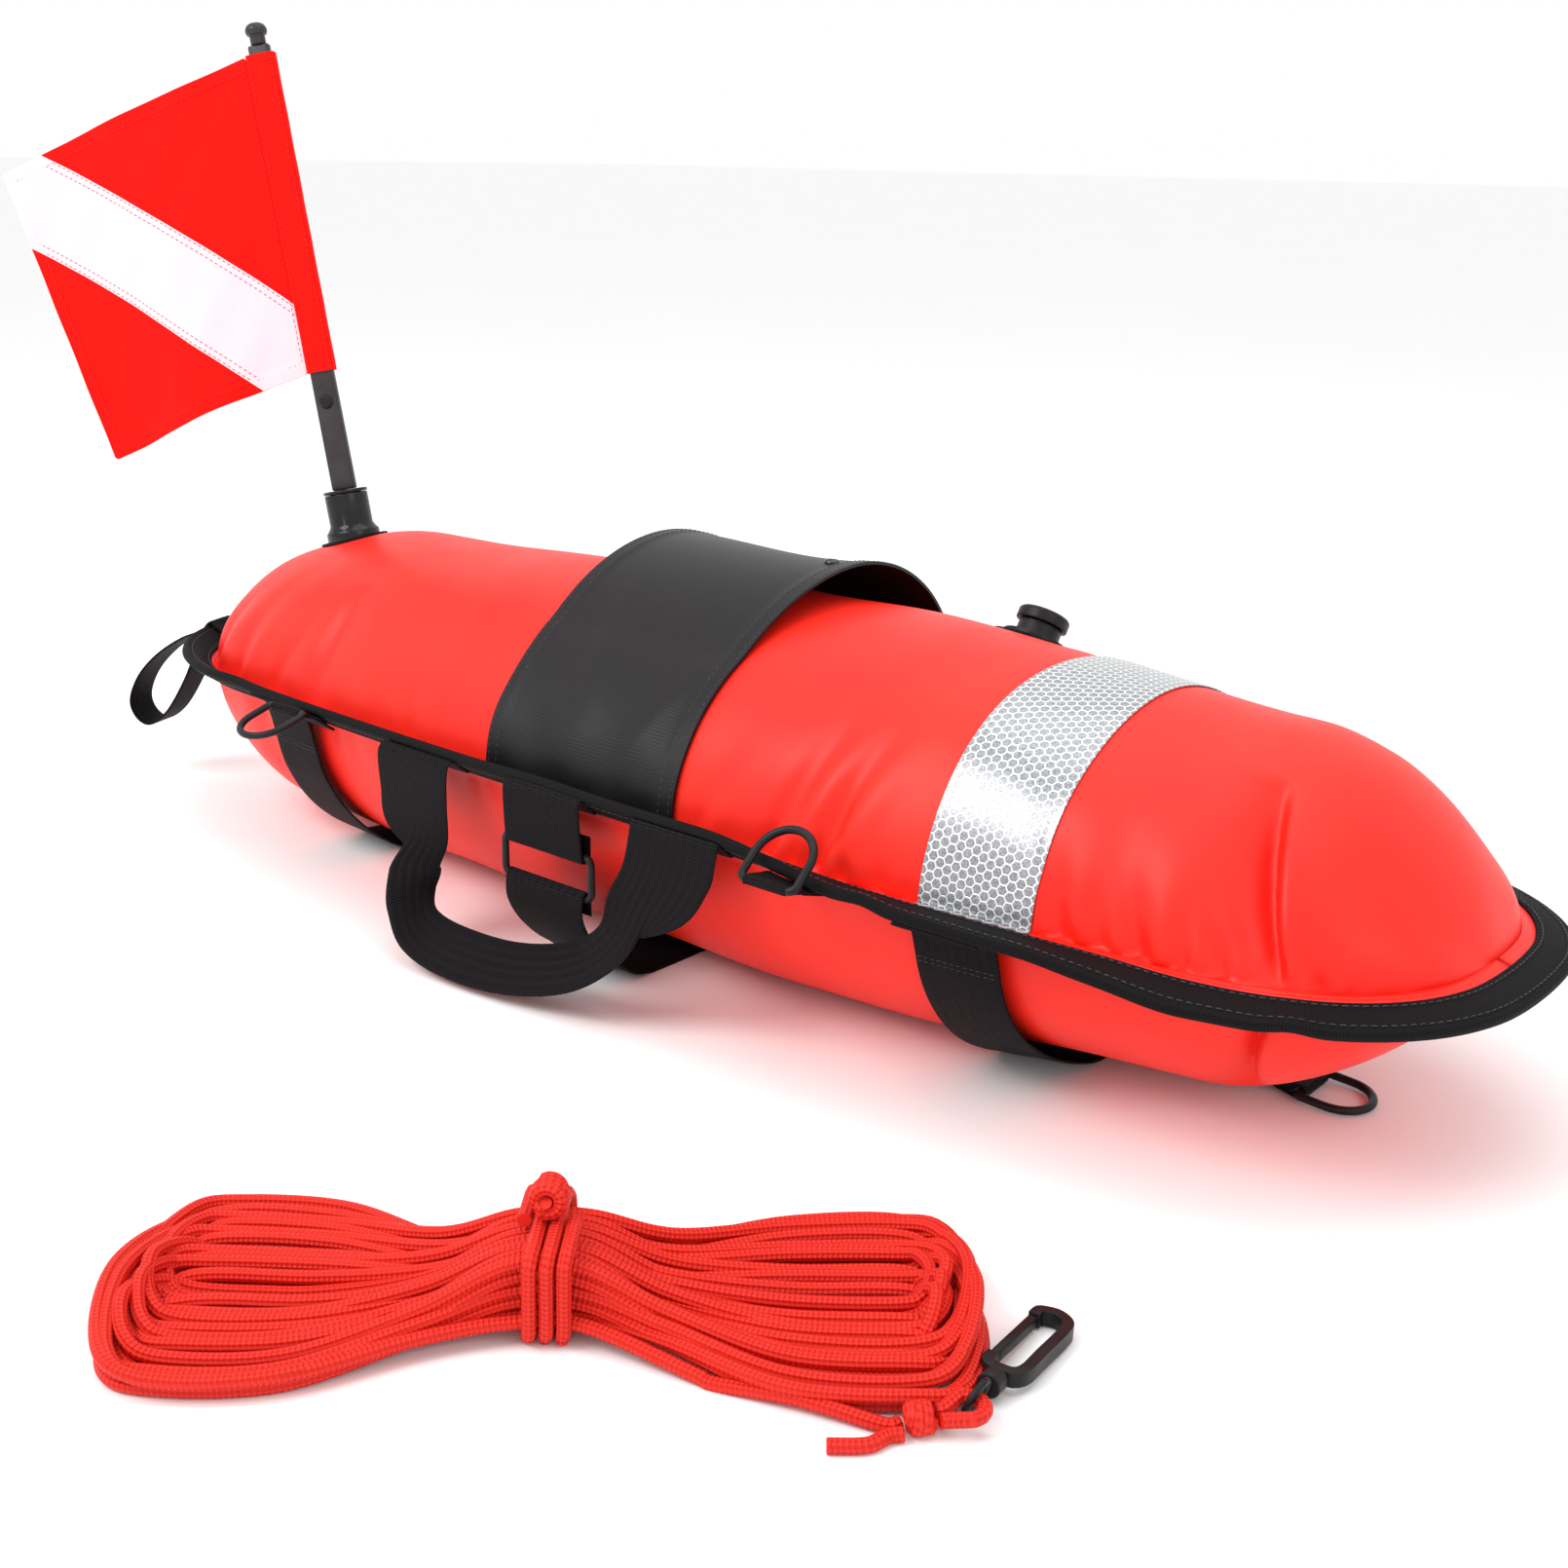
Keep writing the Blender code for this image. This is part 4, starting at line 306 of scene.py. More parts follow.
def shell(name, low, high, uv, ring=False, smooth=SHARP_CLOTH):
    """Closes the space between two grids, columns by rows, with the pattern map on both faces."""
    columns, rows = low.shape[:2]
    far = columns * rows
    spans = columns if ring else columns - 1
    c, r = np.meshgrid(np.arange(spans), np.arange(rows - 1), indexing="ij")
    c, r = c.ravel(), r.ravel()
    nxt = (c + 1) % columns
    a, b, d, e = c * rows + r, nxt * rows + r, nxt * rows + r + 1, c * rows + r + 1
    faces = [np.stack([a, e, d, b], 1), np.stack([a, b, d, e], 1) + far]
    ends = np.arange(spans)
    rims = [(ends * rows + row, ((ends + 1) % columns) * rows + row, row > 0) for row in (0, rows - 1)]
    if not ring:
        side = np.arange(rows - 1)
        rims += [(column * rows + side, column * rows + side + 1, column == 0) for column in (0, columns - 1)]
    for p, q, flip in rims:
        quad = np.stack([p, q, q + far, p + far], 1)
        faces.append(quad[:, ::-1] if flip else quad)
    faces = np.concatenate(faces)
    points = np.concatenate([low.reshape(-1, 3), high.reshape(-1, 3)])
    corners = np.tile(uv.reshape(-1, 2), (2, 1))[faces.ravel()]
    return closed(name, points.tolist(), faces.tolist(), smooth, corners)


def unit(rows):
    """Vectors, one to a row, brought to a length of 1."""
    return rows / np.linalg.norm(rows, axis=-1, keepdims=True)


def run_along(points):
    """How far along a line each of its points is."""
    return np.concatenate([[0], np.cumsum(np.linalg.norm(np.diff(points, axis=0), axis=1))])


def full_turn(count):
    """Evenly spaced angles all round."""
    return np.linspace(0, 2 * math.pi, count, endpoint=False)


def grid_normals(grid):
    """The normal at each point of a grid."""
    along = np.gradient(grid, axis=0)
    across = np.gradient(grid, axis=1)
    normal = np.cross(along, across)
    return normal / np.maximum(np.linalg.norm(normal, axis=2, keepdims=True), 1e-12)


def grid_uv(grid):
    """The pattern map of a grid in metres: across it, and along it."""
    along = np.linalg.norm(np.diff(grid, axis=0), axis=2).mean(axis=1)
    across = np.linalg.norm(np.diff(grid, axis=1), axis=2).mean(axis=0)
    u = np.concatenate([[0], np.cumsum(across)])
    v = np.concatenate([[0], np.cumsum(along)])
    return np.stack(np.meshgrid(v, u, indexing="ij")[::-1], axis=-1)


def catmull(values, u):
    """A smooth curve through values at whole places, a row each."""
    values = np.asarray(values, float)
    u = np.clip(np.asarray(u, float), 0, len(values) - 1 - 1e-9)
    k = u.astype(int)
    t = (u - k)[..., None] if values.ndim > 1 else u - k
    padded = np.concatenate([[2 * values[0] - values[1]], values, [2 * values[-1] - values[-2]]])
    p0, p1, p2, p3 = padded[k], padded[k + 1], padded[k + 2], padded[np.minimum(k + 3, len(padded) - 1)]
    return 0.5 * (2 * p1 + (p2 - p0) * t + (2 * p0 - 5 * p1 + 4 * p2 - p3) * t ** 2
                  + (3 * p1 - p0 - 3 * p2 + p3) * t ** 3)


def smooth_path(points, count):
    """Points evenly spaced along a smooth curve through the given ones."""
    points = np.asarray(points, float)
    fine = catmull(points, np.linspace(0, len(points) - 1, CURVE_STEPS * (len(points) - 1) + 1))
    run = run_along(fine[:, :3])
    wanted = np.linspace(0, run[-1], count)
    return np.stack([np.interp(wanted, run, fine[:, c]) for c in range(fine.shape[1])], axis=1)


def tube(name, points, radius, sides=14, ring=False):
    """A round bar or rope along points, its pattern map in metres along it and turns round it."""
    points = np.asarray(points, float)
    ahead = unit(np.roll(points, -1, 0) - np.roll(points, 1, 0) if ring else np.gradient(points, axis=0))
    upright = abs(ahead[0] @ UP) > 0.9
    start = np.array([1.0, 0.0, 0.0]) if upright else UP
    normal = start - ahead[0] * (start @ ahead[0])
    normals = []
    for way in ahead:
        normal = normal - way * (normal @ way)
        normal /= np.linalg.norm(normal)
        normals.append(normal)
    normals = unit(np.cross(ahead, np.cross(start, ahead))) if ring else np.array(normals)
    aside = np.cross(ahead, normals)
    turns = full_turn(sides)
    rim = normals[:, None] * np.cos(turns)[None, :, None] + aside[:, None] * np.sin(turns)[None, :, None]
    skin = points[:, None] + rim * radius
    count = len(points)
    spans = count if ring else count - 1
    i, j = np.meshgrid(np.arange(spans), np.arange(sides), indexing="ij")
    i, j = i.ravel(), j.ravel()
    ni, nj = (i + 1) % count, (j + 1) % sides
    faces = np.stack([i * sides + j, ni * sides + j, ni * sides + nj, i * sides + nj], 1).tolist()
    run = run_along(points)
    ends = np.append(run, run[-1] + np.linalg.norm(points[0] - points[-1]))
    su = np.stack([ends[i], ends[i + 1], ends[i + 1], ends[i]], 1)
    sv = np.stack([j, j, j + 1, j + 1], 1) / sides
    uv = np.stack([su, sv], -1).reshape(-1, 2)
    if not ring:
        faces += [list(range(sides)), list(range((count - 1) * sides, count * sides))[::-1]]
        uv = np.concatenate([uv, np.zeros((2 * sides, 2))])
    return closed(name, skin.reshape(-1, 3).tolist(), faces, SHARP_ROUND, uv)


def along_line(place, run, values):
    """Each coordinate of a line's values at one place along its run."""
    return np.array([np.interp(place, run, values[:, c]) for c in range(3)])


def stitches(name, lines, thread):
    """Threads sewn along lines of (points, normals): short closed beads that dip at their ends."""
    pitch, length, thick = thread
    sides = THREAD_SIDES
    turns = full_turn(sides)
    verts, faces = [], []
    for points, normals in lines:
        run = run_along(points)
        for place in np.arange(pitch / 2, run[-1] - pitch / 2, pitch):
            here = along_line(place, run, points)
            there = along_line(place + length / 2, run, points)
            up = along_line(place, run, normals)
            way = (there - here) / max(np.linalg.norm(there - here), TINY)
            up = up - way * (up @ way)
            up /= np.linalg.norm(up)
            aside = np.cross(way, up)
            base = len(verts)
            for along, size, stand in THREAD_BEAD_SHARES:
                centre = here + way * along * length + up * thick * stand
                for a in turns:
                    verts.append(centre + (aside * math.cos(a) + up * math.sin(a)) * thick * size / 2)
            for k in range(len(THREAD_BEAD_SHARES) - 1):
                for s in range(sides):
                    t = (s + 1) % sides
                    faces.append([base + k * sides + s, base + k * sides + t,
                                  base + (k + 1) * sides + t, base + (k + 1) * sides + s])
            faces.append([base + s for s in range(sides)][::-1])
            faces.append([base + (len(THREAD_BEAD_SHARES) - 1) * sides + s for s in range(sides)])
    return closed(name, [tuple(v) for v in verts], faces, SHARP_ROUND)


# Finishes

def link(tree, a, b):
    """Joins one socket to another."""
    tree.links.new(a, b)


def feed(tree, node, values):
    """Gives a node's sockets, in order, sockets or plain values; None leaves one as it is."""
    for socket, value in zip(node.inputs, values):
        if isinstance(value, bpy.types.NodeSocket):
            link(tree, value, socket)
        elif value is not None:
            socket.default_value = value


def maths(tree, work, a, b=None, c=None):
    """A Math node on sockets or numbers."""
    node = tree.nodes.new("ShaderNodeMath")
    node.operation = work
    feed(tree, node, (a, b, c))
    return node.outputs[0]


def vectors(tree, work, a, b=None):
    """A Vector Math node on sockets or triples."""
    node = tree.nodes.new("ShaderNodeVectorMath")
    node.operation = work
    feed(tree, node, (a, b))
    return node.outputs["Value"] if work == "DOT_PRODUCT" else node.outputs["Vector"]


def finish(name, colour, roughness, **sockets):
    """A Principled material with its plain numbers on the shader's own sockets."""
    made = bpy.data.materials.new(name)
    made.use_nodes = True
    shader = made.node_tree.nodes["Principled BSDF"]
    shader.inputs["Base Color"].default_value = (*colour, 1.0)
    shader.inputs["Roughness"].default_value = roughness
    for key, value in sockets.items():
        shader.inputs[key.replace("_", " ").title().replace("Ior", "IOR")].default_value = value
    return made, made.node_tree, shader


def object_place(tree):
    """A place on the piece, in metres."""
    return tree.nodes.new("ShaderNodeTexCoord").outputs["Object"]


def pattern_map(tree):
    """The piece's own pattern map."""
    node = tree.nodes.new("ShaderNodeUVMap")
    node.uv_map = "pattern"
    return node.outputs["UV"]


def pattern_place(tree):
    """The two numbers of the pattern map apart."""
    split = tree.nodes.new("ShaderNodeSeparateXYZ")
    link(tree, pattern_map(tree), split.inputs[0])
    return split.outputs["X"], split.outputs["Y"]


def noise(tree, place, size, detail=3.0):
    """Noise of a given grain size in metres."""
    node = tree.nodes.new("ShaderNodeTexNoise")
    node.inputs["Scale"].default_value = 1 / size
    node.inputs["Detail"].default_value = detail
    link(tree, place, node.inputs["Vector"])
    return node.outputs["Fac"]


def spread(tree, value, **limits):
    """A Map Range node with the limits that are named, such as from_min."""
    node = tree.nodes.new("ShaderNodeMapRange")
    for key, limit in limits.items():
        node.inputs[key.replace("_", " ").title()].default_value = limit
    link(tree, value, node.inputs["Value"])
    return node.outputs["Result"]


def mixed(tree, share, low_colour, high_colour):
    """Two colours, each plain or from a socket, mixed by a share."""
    mix = tree.nodes.new("ShaderNodeMix")
    mix.data_type = "RGBA"
    link(tree, share, mix.inputs["Factor"])
    for letter, colour in (("A", low_colour), ("B", high_colour)):
        if isinstance(colour, bpy.types.NodeSocket):
            link(tree, colour, mix.inputs[letter])
        else:
            mix.inputs[letter].default_value = (*colour, 1.0)
    return mix.outputs["Result"]


def ramp(tree, value, low, high, low_colour, high_colour):
    """Mixes two colours as a value goes from low to high."""
    return mixed(tree, spread(tree, value, from_min=low, from_max=high), low_colour, high_colour)


def bump(tree, shader, height, distance, strength):
    """Relief from a height; distance is in metres."""
    node = tree.nodes.new("ShaderNodeBump")
    node.inputs["Distance"].default_value = distance
    node.inputs["Strength"].default_value = strength
    link(tree, height, node.inputs["Height"])
    link(tree, node.outputs["Normal"], shader.inputs["Normal"])


def wave(tree, place, pitch, shift=None):
    """A sine of a place in metres, from -1 to 1."""
    turned = maths(tree, "MULTIPLY", place, 2 * math.pi / pitch)
    if shift is not None:
        turned = maths(tree, "ADD", turned, shift)
    return maths(tree, "SINE", turned)


def roughness_from(tree, shader, value, low, high):
    """Roughness that goes from low to high with a value."""
    link(tree, spread(tree, value, to_min=low, to_max=high), shader.inputs["Roughness"])


def coated_cloth(name, light, dark):
    """Coated nylon: satin, with a fine pressed weave and slightly uneven colour."""
    blotch_size, cloud_size, patch_size, weave_size, relief = 0.09, 0.010, 0.03, 0.0011, 0.00007
    made, tree, shader = finish(name, light, 0.44, specular_ior_level=0.30)
    place = object_place(tree)
    blotch = noise(tree, place, blotch_size, 2.0)
    link(tree, ramp(tree, blotch, 0.35, 0.65, dark, light), shader.inputs["Base Color"])
    weave = noise(tree, place, weave_size, 2.0)
    both = maths(tree, "MULTIPLY_ADD", noise(tree, place, cloud_size), 0.5, weave)
    bump(tree, shader, both, relief, 0.55)
    roughness_from(tree, shader, noise(tree, place, patch_size), 0.38, 0.52)
    return made


def woven(name, light, dark, along, across, depth, roughness, diagonal=0.0, shine=0.07):
    """Woven cloth or webbing: ribs along and across its pattern map, and colour that darkens in the weave's grooves as
    painted shade, mottled at random by fuzz.
    """
    fuzz_size = 0.0009
    made, tree, shader = finish(name, light, roughness, specular_ior_level=shine)
    u, v = pattern_place(tree)
    slant = maths(tree, "MULTIPLY_ADD", u, diagonal, v)
    ribs = wave(tree, slant, along)
    offset = maths(tree, "MULTIPLY", maths(tree, "FLOOR", maths(tree, "DIVIDE", u, across)), math.pi)
    checks = maths(tree, "MULTIPLY", wave(tree, slant, along, offset),
                   maths(tree, "ABSOLUTE", wave(tree, u, 2 * across)))
    height = maths(tree, "MULTIPLY_ADD", checks, 0.6, ribs)
    fuzz = noise(tree, object_place(tree), fuzz_size, 2.0)
    total = maths(tree, "MULTIPLY_ADD", fuzz, 0.8, height)
    bump(tree, shader, total, depth, 0.8)
    # Painted shade: the colour goes from dark in the weave's low grooves to light on its raised ribs, with random fuzz
    # mottle on top.
    link(tree, ramp(tree, total, -1.2, 2.0, dark, light), shader.inputs["Base Color"])
    return made


def moulded(name, colour, roughness, grain=0.0012, shine=0.5):
    """Moulded plastic: fine spark grain and soft, slightly worn gloss."""
    blotch_size, wear_size, relief = 0.012, 0.006, 0.00005
    made, tree, shader = finish(name, colour, roughness, specular_ior_level=shine)
    place = object_place(tree)
    worn = tuple(c * 1.5 + 0.002 for c in colour)
    blotches = ramp(tree, noise(tree, place, blotch_size), 0.3, 0.7, colour, worn)
    link(tree, blotches, shader.inputs["Base Color"])
    bump(tree, shader, noise(tree, place, grain, 2.0), relief, 0.5)
    roughness_from(tree, shader, noise(tree, place, wear_size), roughness * 0.8, roughness * 1.25)
    return made


def cell_distance(tree, cell):
    """How far a place is from the middle of its six-sided cell: 0 there, 0.5 at a wall."""
    tall = math.sqrt(3.0)
    far = 50.0
    middle = (0.5, tall / 2, 0.0)
    scaled = vectors(tree, "DIVIDE", pattern_map(tree), (cell, cell, cell))
    moved = vectors(tree, "ADD", scaled, (far, far * tall, 0.0))
    reach = []
    for shift in ((0.0, 0.0, 0.0), middle):
        part = vectors(tree, "MODULO", vectors(tree, "ADD", moved, shift), (1.0, tall, 1.0))
        folded = vectors(tree, "ABSOLUTE", vectors(tree, "SUBTRACT", part, middle))
        slanted = vectors(tree, "DOT_PRODUCT", folded, middle)
        level = vectors(tree, "DOT_PRODUCT", folded, (1.0, 0.0, 0.0))
        reach.append(maths(tree, "MAXIMUM", slanted, level))
    return maths(tree, "MINIMUM", reach[0], reach[1])


def cell_tape():
    """Silver tape with welded honeycomb cells over fine prisms."""
    cell, grain_size, relief = 0.0042, 0.0007, 0.00010
    made, tree, shader = finish("cell_tape", (0.46, 0.47, 0.49), 0.30, metallic=0.35, coat_weight=0.35,
                                coat_roughness=0.12)
    wall = spread(tree, cell_distance(tree, cell), from_min=0.41, from_max=0.45)
    grain = noise(tree, object_place(tree), grain_size, 2.0)
    inside = ramp(tree, grain, 0.35, 0.65, (0.17, 0.175, 0.185), (0.38, 0.39, 0.41))
    link(tree, mixed(tree, wall, inside, (0.86, 0.87, 0.88)), shader.inputs["Base Color"])
    bump(tree, shader, maths(tree, "MULTIPLY_ADD", grain, 0.2, wall), relief, 0.8)
    return made


def braid(name, light, dark):
    """Braided line: strands that cross both ways round it, with painted shade darkening the grooves between them."""
    strand_pitch, strand_turns, fibre_pitch, relief = 0.0036, 4, 0.0009, 0.00045
    made, tree, shader = finish(name, light, 0.55, specular_ior_level=0.25)
    s, turn = pattern_place(tree)
    lengthwise = maths(tree, "MULTIPLY", s, 2 * math.pi / strand_pitch)
    round_it = maths(tree, "MULTIPLY", turn, 2 * math.pi * strand_turns)
    one = maths(tree, "SINE", maths(tree, "ADD", lengthwise, round_it))
    two = maths(tree, "SINE", maths(tree, "SUBTRACT", lengthwise, round_it))
    diamonds = maths(tree, "MULTIPLY", one, two)
    height = maths(tree, "MULTIPLY_ADD", wave(tree, s, fibre_pitch, round_it), 0.18, diamonds)
    bump(tree, shader, height, relief, 0.85)
    # Painted shade: the line's colour darkens where the strands dip into the grooves between them.
    link(tree, ramp(tree, height, -0.9, 0.9, dark, light), shader.inputs["Base Color"])
    return made


COATED = coated_cloth("coated_red", (0.90, 0.020, 0.008), (0.85, 0.012, 0.005))
# The darker colour given to each woven finish and to the braided line is painted shade in the grooves of the weave and
# braid.
BINDING = woven("binding_cloth", (0.010, 0.0095, 0.0105), (0.003, 0.003, 0.0035), 0.0011, 0.0009, 0.00012,
                0.62)
TWILL = woven("band_twill", (0.010, 0.009, 0.0105), (0.006, 0.0055, 0.0065), 0.0006, 0.0008, 0.00002, 0.40,
              diagonal=1.0, shine=0.22)
RIBBED = woven("ribbed_webbing", (0.012, 0.010, 0.012), (0.003, 0.0025, 0.003), 0.0013, 0.0024, 0.00030, 0.55)
FLAG_RED = woven("flag_cloth_red", (0.86, 0.006, 0.003), (0.76, 0.004, 0.002), 0.0006, 0.0006, 0.00003, 0.68)
FLAG_WHITE = woven("flag_cloth_white", (0.72, 0.645, 0.69), (0.64, 0.57, 0.61), 0.0006, 0.0006, 0.00003, 0.68)
TAPE = cell_tape()
ROPE_RED = braid("braided_red", (0.88, 0.030, 0.014), (0.55, 0.008, 0.004))
PLASTIC = moulded("moulded_black", (0.007, 0.007, 0.008), 0.38, shine=0.20)
GLOSSY = moulded("polished_black", (0.006, 0.006, 0.007), 0.16, grain=0.004, shine=0.28)
BAR_GREY = moulded("pole_grey", (0.026, 0.024, 0.026), 0.34, shine=0.24)
THREAD_BLACK = moulded("thread_black", (0.020, 0.020, 0.024), 0.42, grain=0.0004, shine=0.35)
THREAD_RED = moulded("thread_red", (0.50, 0.008, 0.006), 0.5, grain=0.0004, shine=0.2)
EYELET_METAL = moulded("eyelet_black", (0.02, 0.02, 0.022), 0.22)


# Camera and light, placed to match the photograph

CAMERA_PLACE = (0.599, -0.693, 0.369)
CAMERA_YAW = math.radians(39.82)
CAMERA_PITCH = math.radians(17.91)
CAMERA_ROLL = math.radians(1.05)
CAMERA_LENS = 44.8
SENSOR_WIDTH = 36.0
NEAR_CLIP = 0.01
# Lamps: name, place, what each points at, size and power
LAMPS = (
    ("key", (-0.5, -1.3, 1.5), (0.0, 0.0, 0.1), (1.2, 0.9), 22),
    ("top", (0.1, 0.2, 1.7), (0.0, 0.0, 0.1), (1.6, 1.2), 9),
    ("nose", (1.5, -0.3, 0.9), (0.3, 0.0, 0.1), (0.9, 0.7), 3),
)
FLOOR_SIZE = 80.0
FLOOR_BLOTCH = 0.4
FLOOR_PALE, FLOOR_DARKER, FLOOR_LIGHTER = 0.94, 0.935, 0.945


def build_camera():
    """The camera that took the photograph, as solved from it."""
    data = bpy.data.cameras.new("photo_camera")
    data.lens = CAMERA_LENS
    data.sensor_width = SENSOR_WIDTH
    data.sensor_fit = "HORIZONTAL"
    data.clip_start = NEAR_CLIP
    camera = add_object("photo_camera", data)
    level = math.cos(CAMERA_PITCH)
    look = Vector((-math.sin(CAMERA_YAW) * level, math.cos(CAMERA_YAW) * level, -math.sin(CAMERA_PITCH)))
    right = Vector((math.cos(CAMERA_YAW), math.sin(CAMERA_YAW), 0.0))
    above = right.cross(look)
    side = right * math.cos(CAMERA_ROLL) + above * math.sin(CAMERA_ROLL)
    top = above * math.cos(CAMERA_ROLL) - right * math.sin(CAMERA_ROLL)
    turn = Matrix((side, top, -look)).transposed().to_4x4()
    camera.matrix_world = Matrix.Translation(CAMERA_PLACE) @ turn
    bpy.context.scene.camera = camera


def area_light(name, place, target, size, power):
    """A soft lamp that points at a target."""
    data = bpy.data.lights.new(name, "AREA")
    data.shape = "RECTANGLE"
    data.size, data.size_y = size
    data.energy = power
    light = add_object(name, data)
    way = Vector(target) - Vector(place)
    light.matrix_world = Matrix.Translation(place) @ way.to_track_quat("-Z", "Y").to_matrix().to_4x4()


def build_studio():
    """White surroundings, three soft lamps and a pale floor."""
    world = bpy.data.worlds.new("studio")
    world.use_nodes = True
    back = world.node_tree.nodes["Background"]
    back.inputs["Color"].default_value = (1.0, 1.0, 1.0, 1.0)
    back.inputs["Strength"].default_value = 1.0
    bpy.context.scene.world = world
    bpy.context.scene.view_settings.view_transform = "Standard"
    for lamp in LAMPS:
        area_light(*lamp)
    bpy.ops.mesh.primitive_plane_add(size=FLOOR_SIZE, location=(0.0, 0.0, 0.0))
    floor = named(bpy.context.object, "floor")
    made, tree, shader = finish("pale_floor", (FLOOR_PALE,) * 3, 0.7)
    blotch = noise(tree, object_place(tree), FLOOR_BLOTCH)
    link(tree, ramp(tree, blotch, 0.3, 0.7, (FLOOR_DARKER,) * 3, (FLOOR_LIGHTER,) * 3),
         shader.inputs["Base Color"])
    floor.data.materials.append(made)
    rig.stage(floor)


bpy.ops.object.select_all(action="DESELECT")
build_camera()
build_studio()


# Body surface, on the same formulas as the solids but fine enough for folds

def half_width(x):
    """Half the body's width at a place along it, without its rounded ends."""
    nose_corner = BODY_LENGTH / 2 - NOSE_TAPER
    tail_corner = TAIL_TAPER - BODY_LENGTH / 2
    if x >= WIDEST_X:
        nose_share = (min(x, nose_corner) - WIDEST_X) / (nose_corner - WIDEST_X)
        return HALF_WIDTH - NOSE_NARROWING * nose_share ** 2
    tail_share = (WIDEST_X - max(x, tail_corner)) / (WIDEST_X - tail_corner)
    return HALF_WIDTH - TAIL_NARROWING * tail_share ** 2


def end_run(x):
    """0 along the middle of the body, rising to 1 at each tip."""
    nose = (x - BODY_LENGTH / 2 + NOSE_TAPER) / NOSE_TAPER
    tail = (TAIL_TAPER - BODY_LENGTH / 2 - x) / TAIL_TAPER
    return min(max(nose, tail, 0.0), 1.0)


def plan_width(x):
    """Half the body's width, ends and all."""
    return half_width(x) * (1 - end_run(x) ** PLAN_END[0]) ** PLAN_END[1]


def side_height(x, shares):
    """Height of a half over or under the seam."""
    square, rounding = NOSE_END if x > 0 else TAIL_END
    share = shares[0] + (shares[1] - shares[0]) * (x / BODY_LENGTH + 0.5)
    return half_width(x) * share * (1 - end_run(x) ** square) ** rounding


def flange_tilt(x):
    """How far the welded edge leans up from level, which changes smoothly along the body."""
    places = [p * BODY_LENGTH for p, _ in FLANGE_TILT_SHARES]
    tilts = [tilt for _, tilt in FLANGE_TILT_SHARES]
    x = np.clip(x, places[0], places[-1])
    k = np.clip(np.searchsorted(places, x) - 1, 0, len(places) - 2)
    t = (x - np.take(places, k)) / (np.take(places, k + 1) - np.take(places, k))
    return np.take(tilts, k) + (np.take(tilts, k + 1) - np.take(tilts, k)) * (3 * t ** 2 - 2 * t ** 3)


def station_places():
    """Places of the solids' sections, as shares: close at the tips and where the edge twists."""
    even = [-math.cos(math.pi * i / BODY_STEPS) / 2 for i in range(BODY_STEPS + 1)]
    start, end = TWIST_SHARES
    apart = (end - start) / TWIST_STEPS
    kept = [p for p in even if p < start - apart / 2 or p > end + apart / 2]
    return sorted(kept + [start + apart * k for k in range(TWIST_STEPS + 1)])


STATION_X = np.array([place * BODY_LENGTH for place in station_places()])
STATIONS = len(STATION_X) - 1
STATION_W = np.array([0.0] + [plan_width(x) for x in STATION_X[1:-1]] + [0.0])
HEIGHTS = {upward: np.array([side_height(x, UPPER_HEIGHT_SHARES if upward else LOWER_HEIGHT_SHARES)
                             for x in STATION_X]) for upward in (True, False)}
FLOOR_CLEARANCE = WEBBING + LAYER_GAP
MIRRORED = 3


def over_tips(values, sign):
    """Values at the stations, run on past both tips as a mirror would."""
    before, after = values[MIRRORED:0:-1], values[-2:-2 - MIRRORED:-1]
    return np.concatenate([sign * before, values, sign * after])


X_RUN, W_RUN = over_tips(STATION_X, 1.0), over_tips(STATION_W, -1.0)
H_RUN = {upward: over_tips(HEIGHTS[upward], -1.0) for upward in (True, False)}


def along_body(u):
    """Place and half width at part stations, and the way out of the seam in plan on the +Y side."""
    step = 0.02
    u = np.asarray(u, float) + MIRRORED
    x, w = catmull(X_RUN, u), catmull(W_RUN, u)
    run = catmull(X_RUN, u + step) - catmull(X_RUN, u - step)
    rise = catmull(W_RUN, u + step) - catmull(W_RUN, u - step)
    size = np.hypot(run, rise)
    return x, np.maximum(w, 0.0), -rise / size, run / size


def station_of(x):
    """The part station at a place along the body."""
    return np.interp(x, STATION_X, np.arange(STATIONS + 1))


# Waves of the sewn edge: place, height and width, and how much nearer the tail they are on the far side
EDGE_WAVES = ((0.163, 0.0022, 0.010), (0.290, -0.0012, 0.012), (0.327, 0.0020, 0.006), (-0.02, 0.0009, 0.03),
              (0.235, 0.0012, 0.016), (-0.27, 0.0010, 0.02))
FAR_WAVE_SHIFT = 0.03


def edge_wave(x, side):
    """How far the sewn edge lifts and dips along the float."""
    shift = np.where(np.asarray(side) < 0, 0.0, FAR_WAVE_SHIFT)
    lift = 0.0
    for place, height, width in EDGE_WAVES:
        lift = lift + height * np.exp(-((x - place + shift) / width) ** 2)
    return lift


def edge_point(u, side, out, lift):
    """A point in the tilted frame of the welded edge."""
    x, w, nx, ny = along_body(u)
    tilt = flange_tilt(x)
    lift = lift + edge_wave(x, side) * np.clip(out / FLANGE_WIDTH, 0, 1) ** 2
    level = out * np.cos(tilt) - lift * np.sin(tilt)
    rise = out * np.sin(tilt) + lift * np.cos(tilt)
    return np.stack(np.broadcast_arrays(x + nx * level, side * (w + ny * level), SEAM_HEIGHT + rise), axis=-1)


COLUMN_PITCH = 0.0026
TIP_COLUMNS = 22
CREASE_COLUMNS = (0.285, 0.345, 61)
COLUMN_APART = 0.012


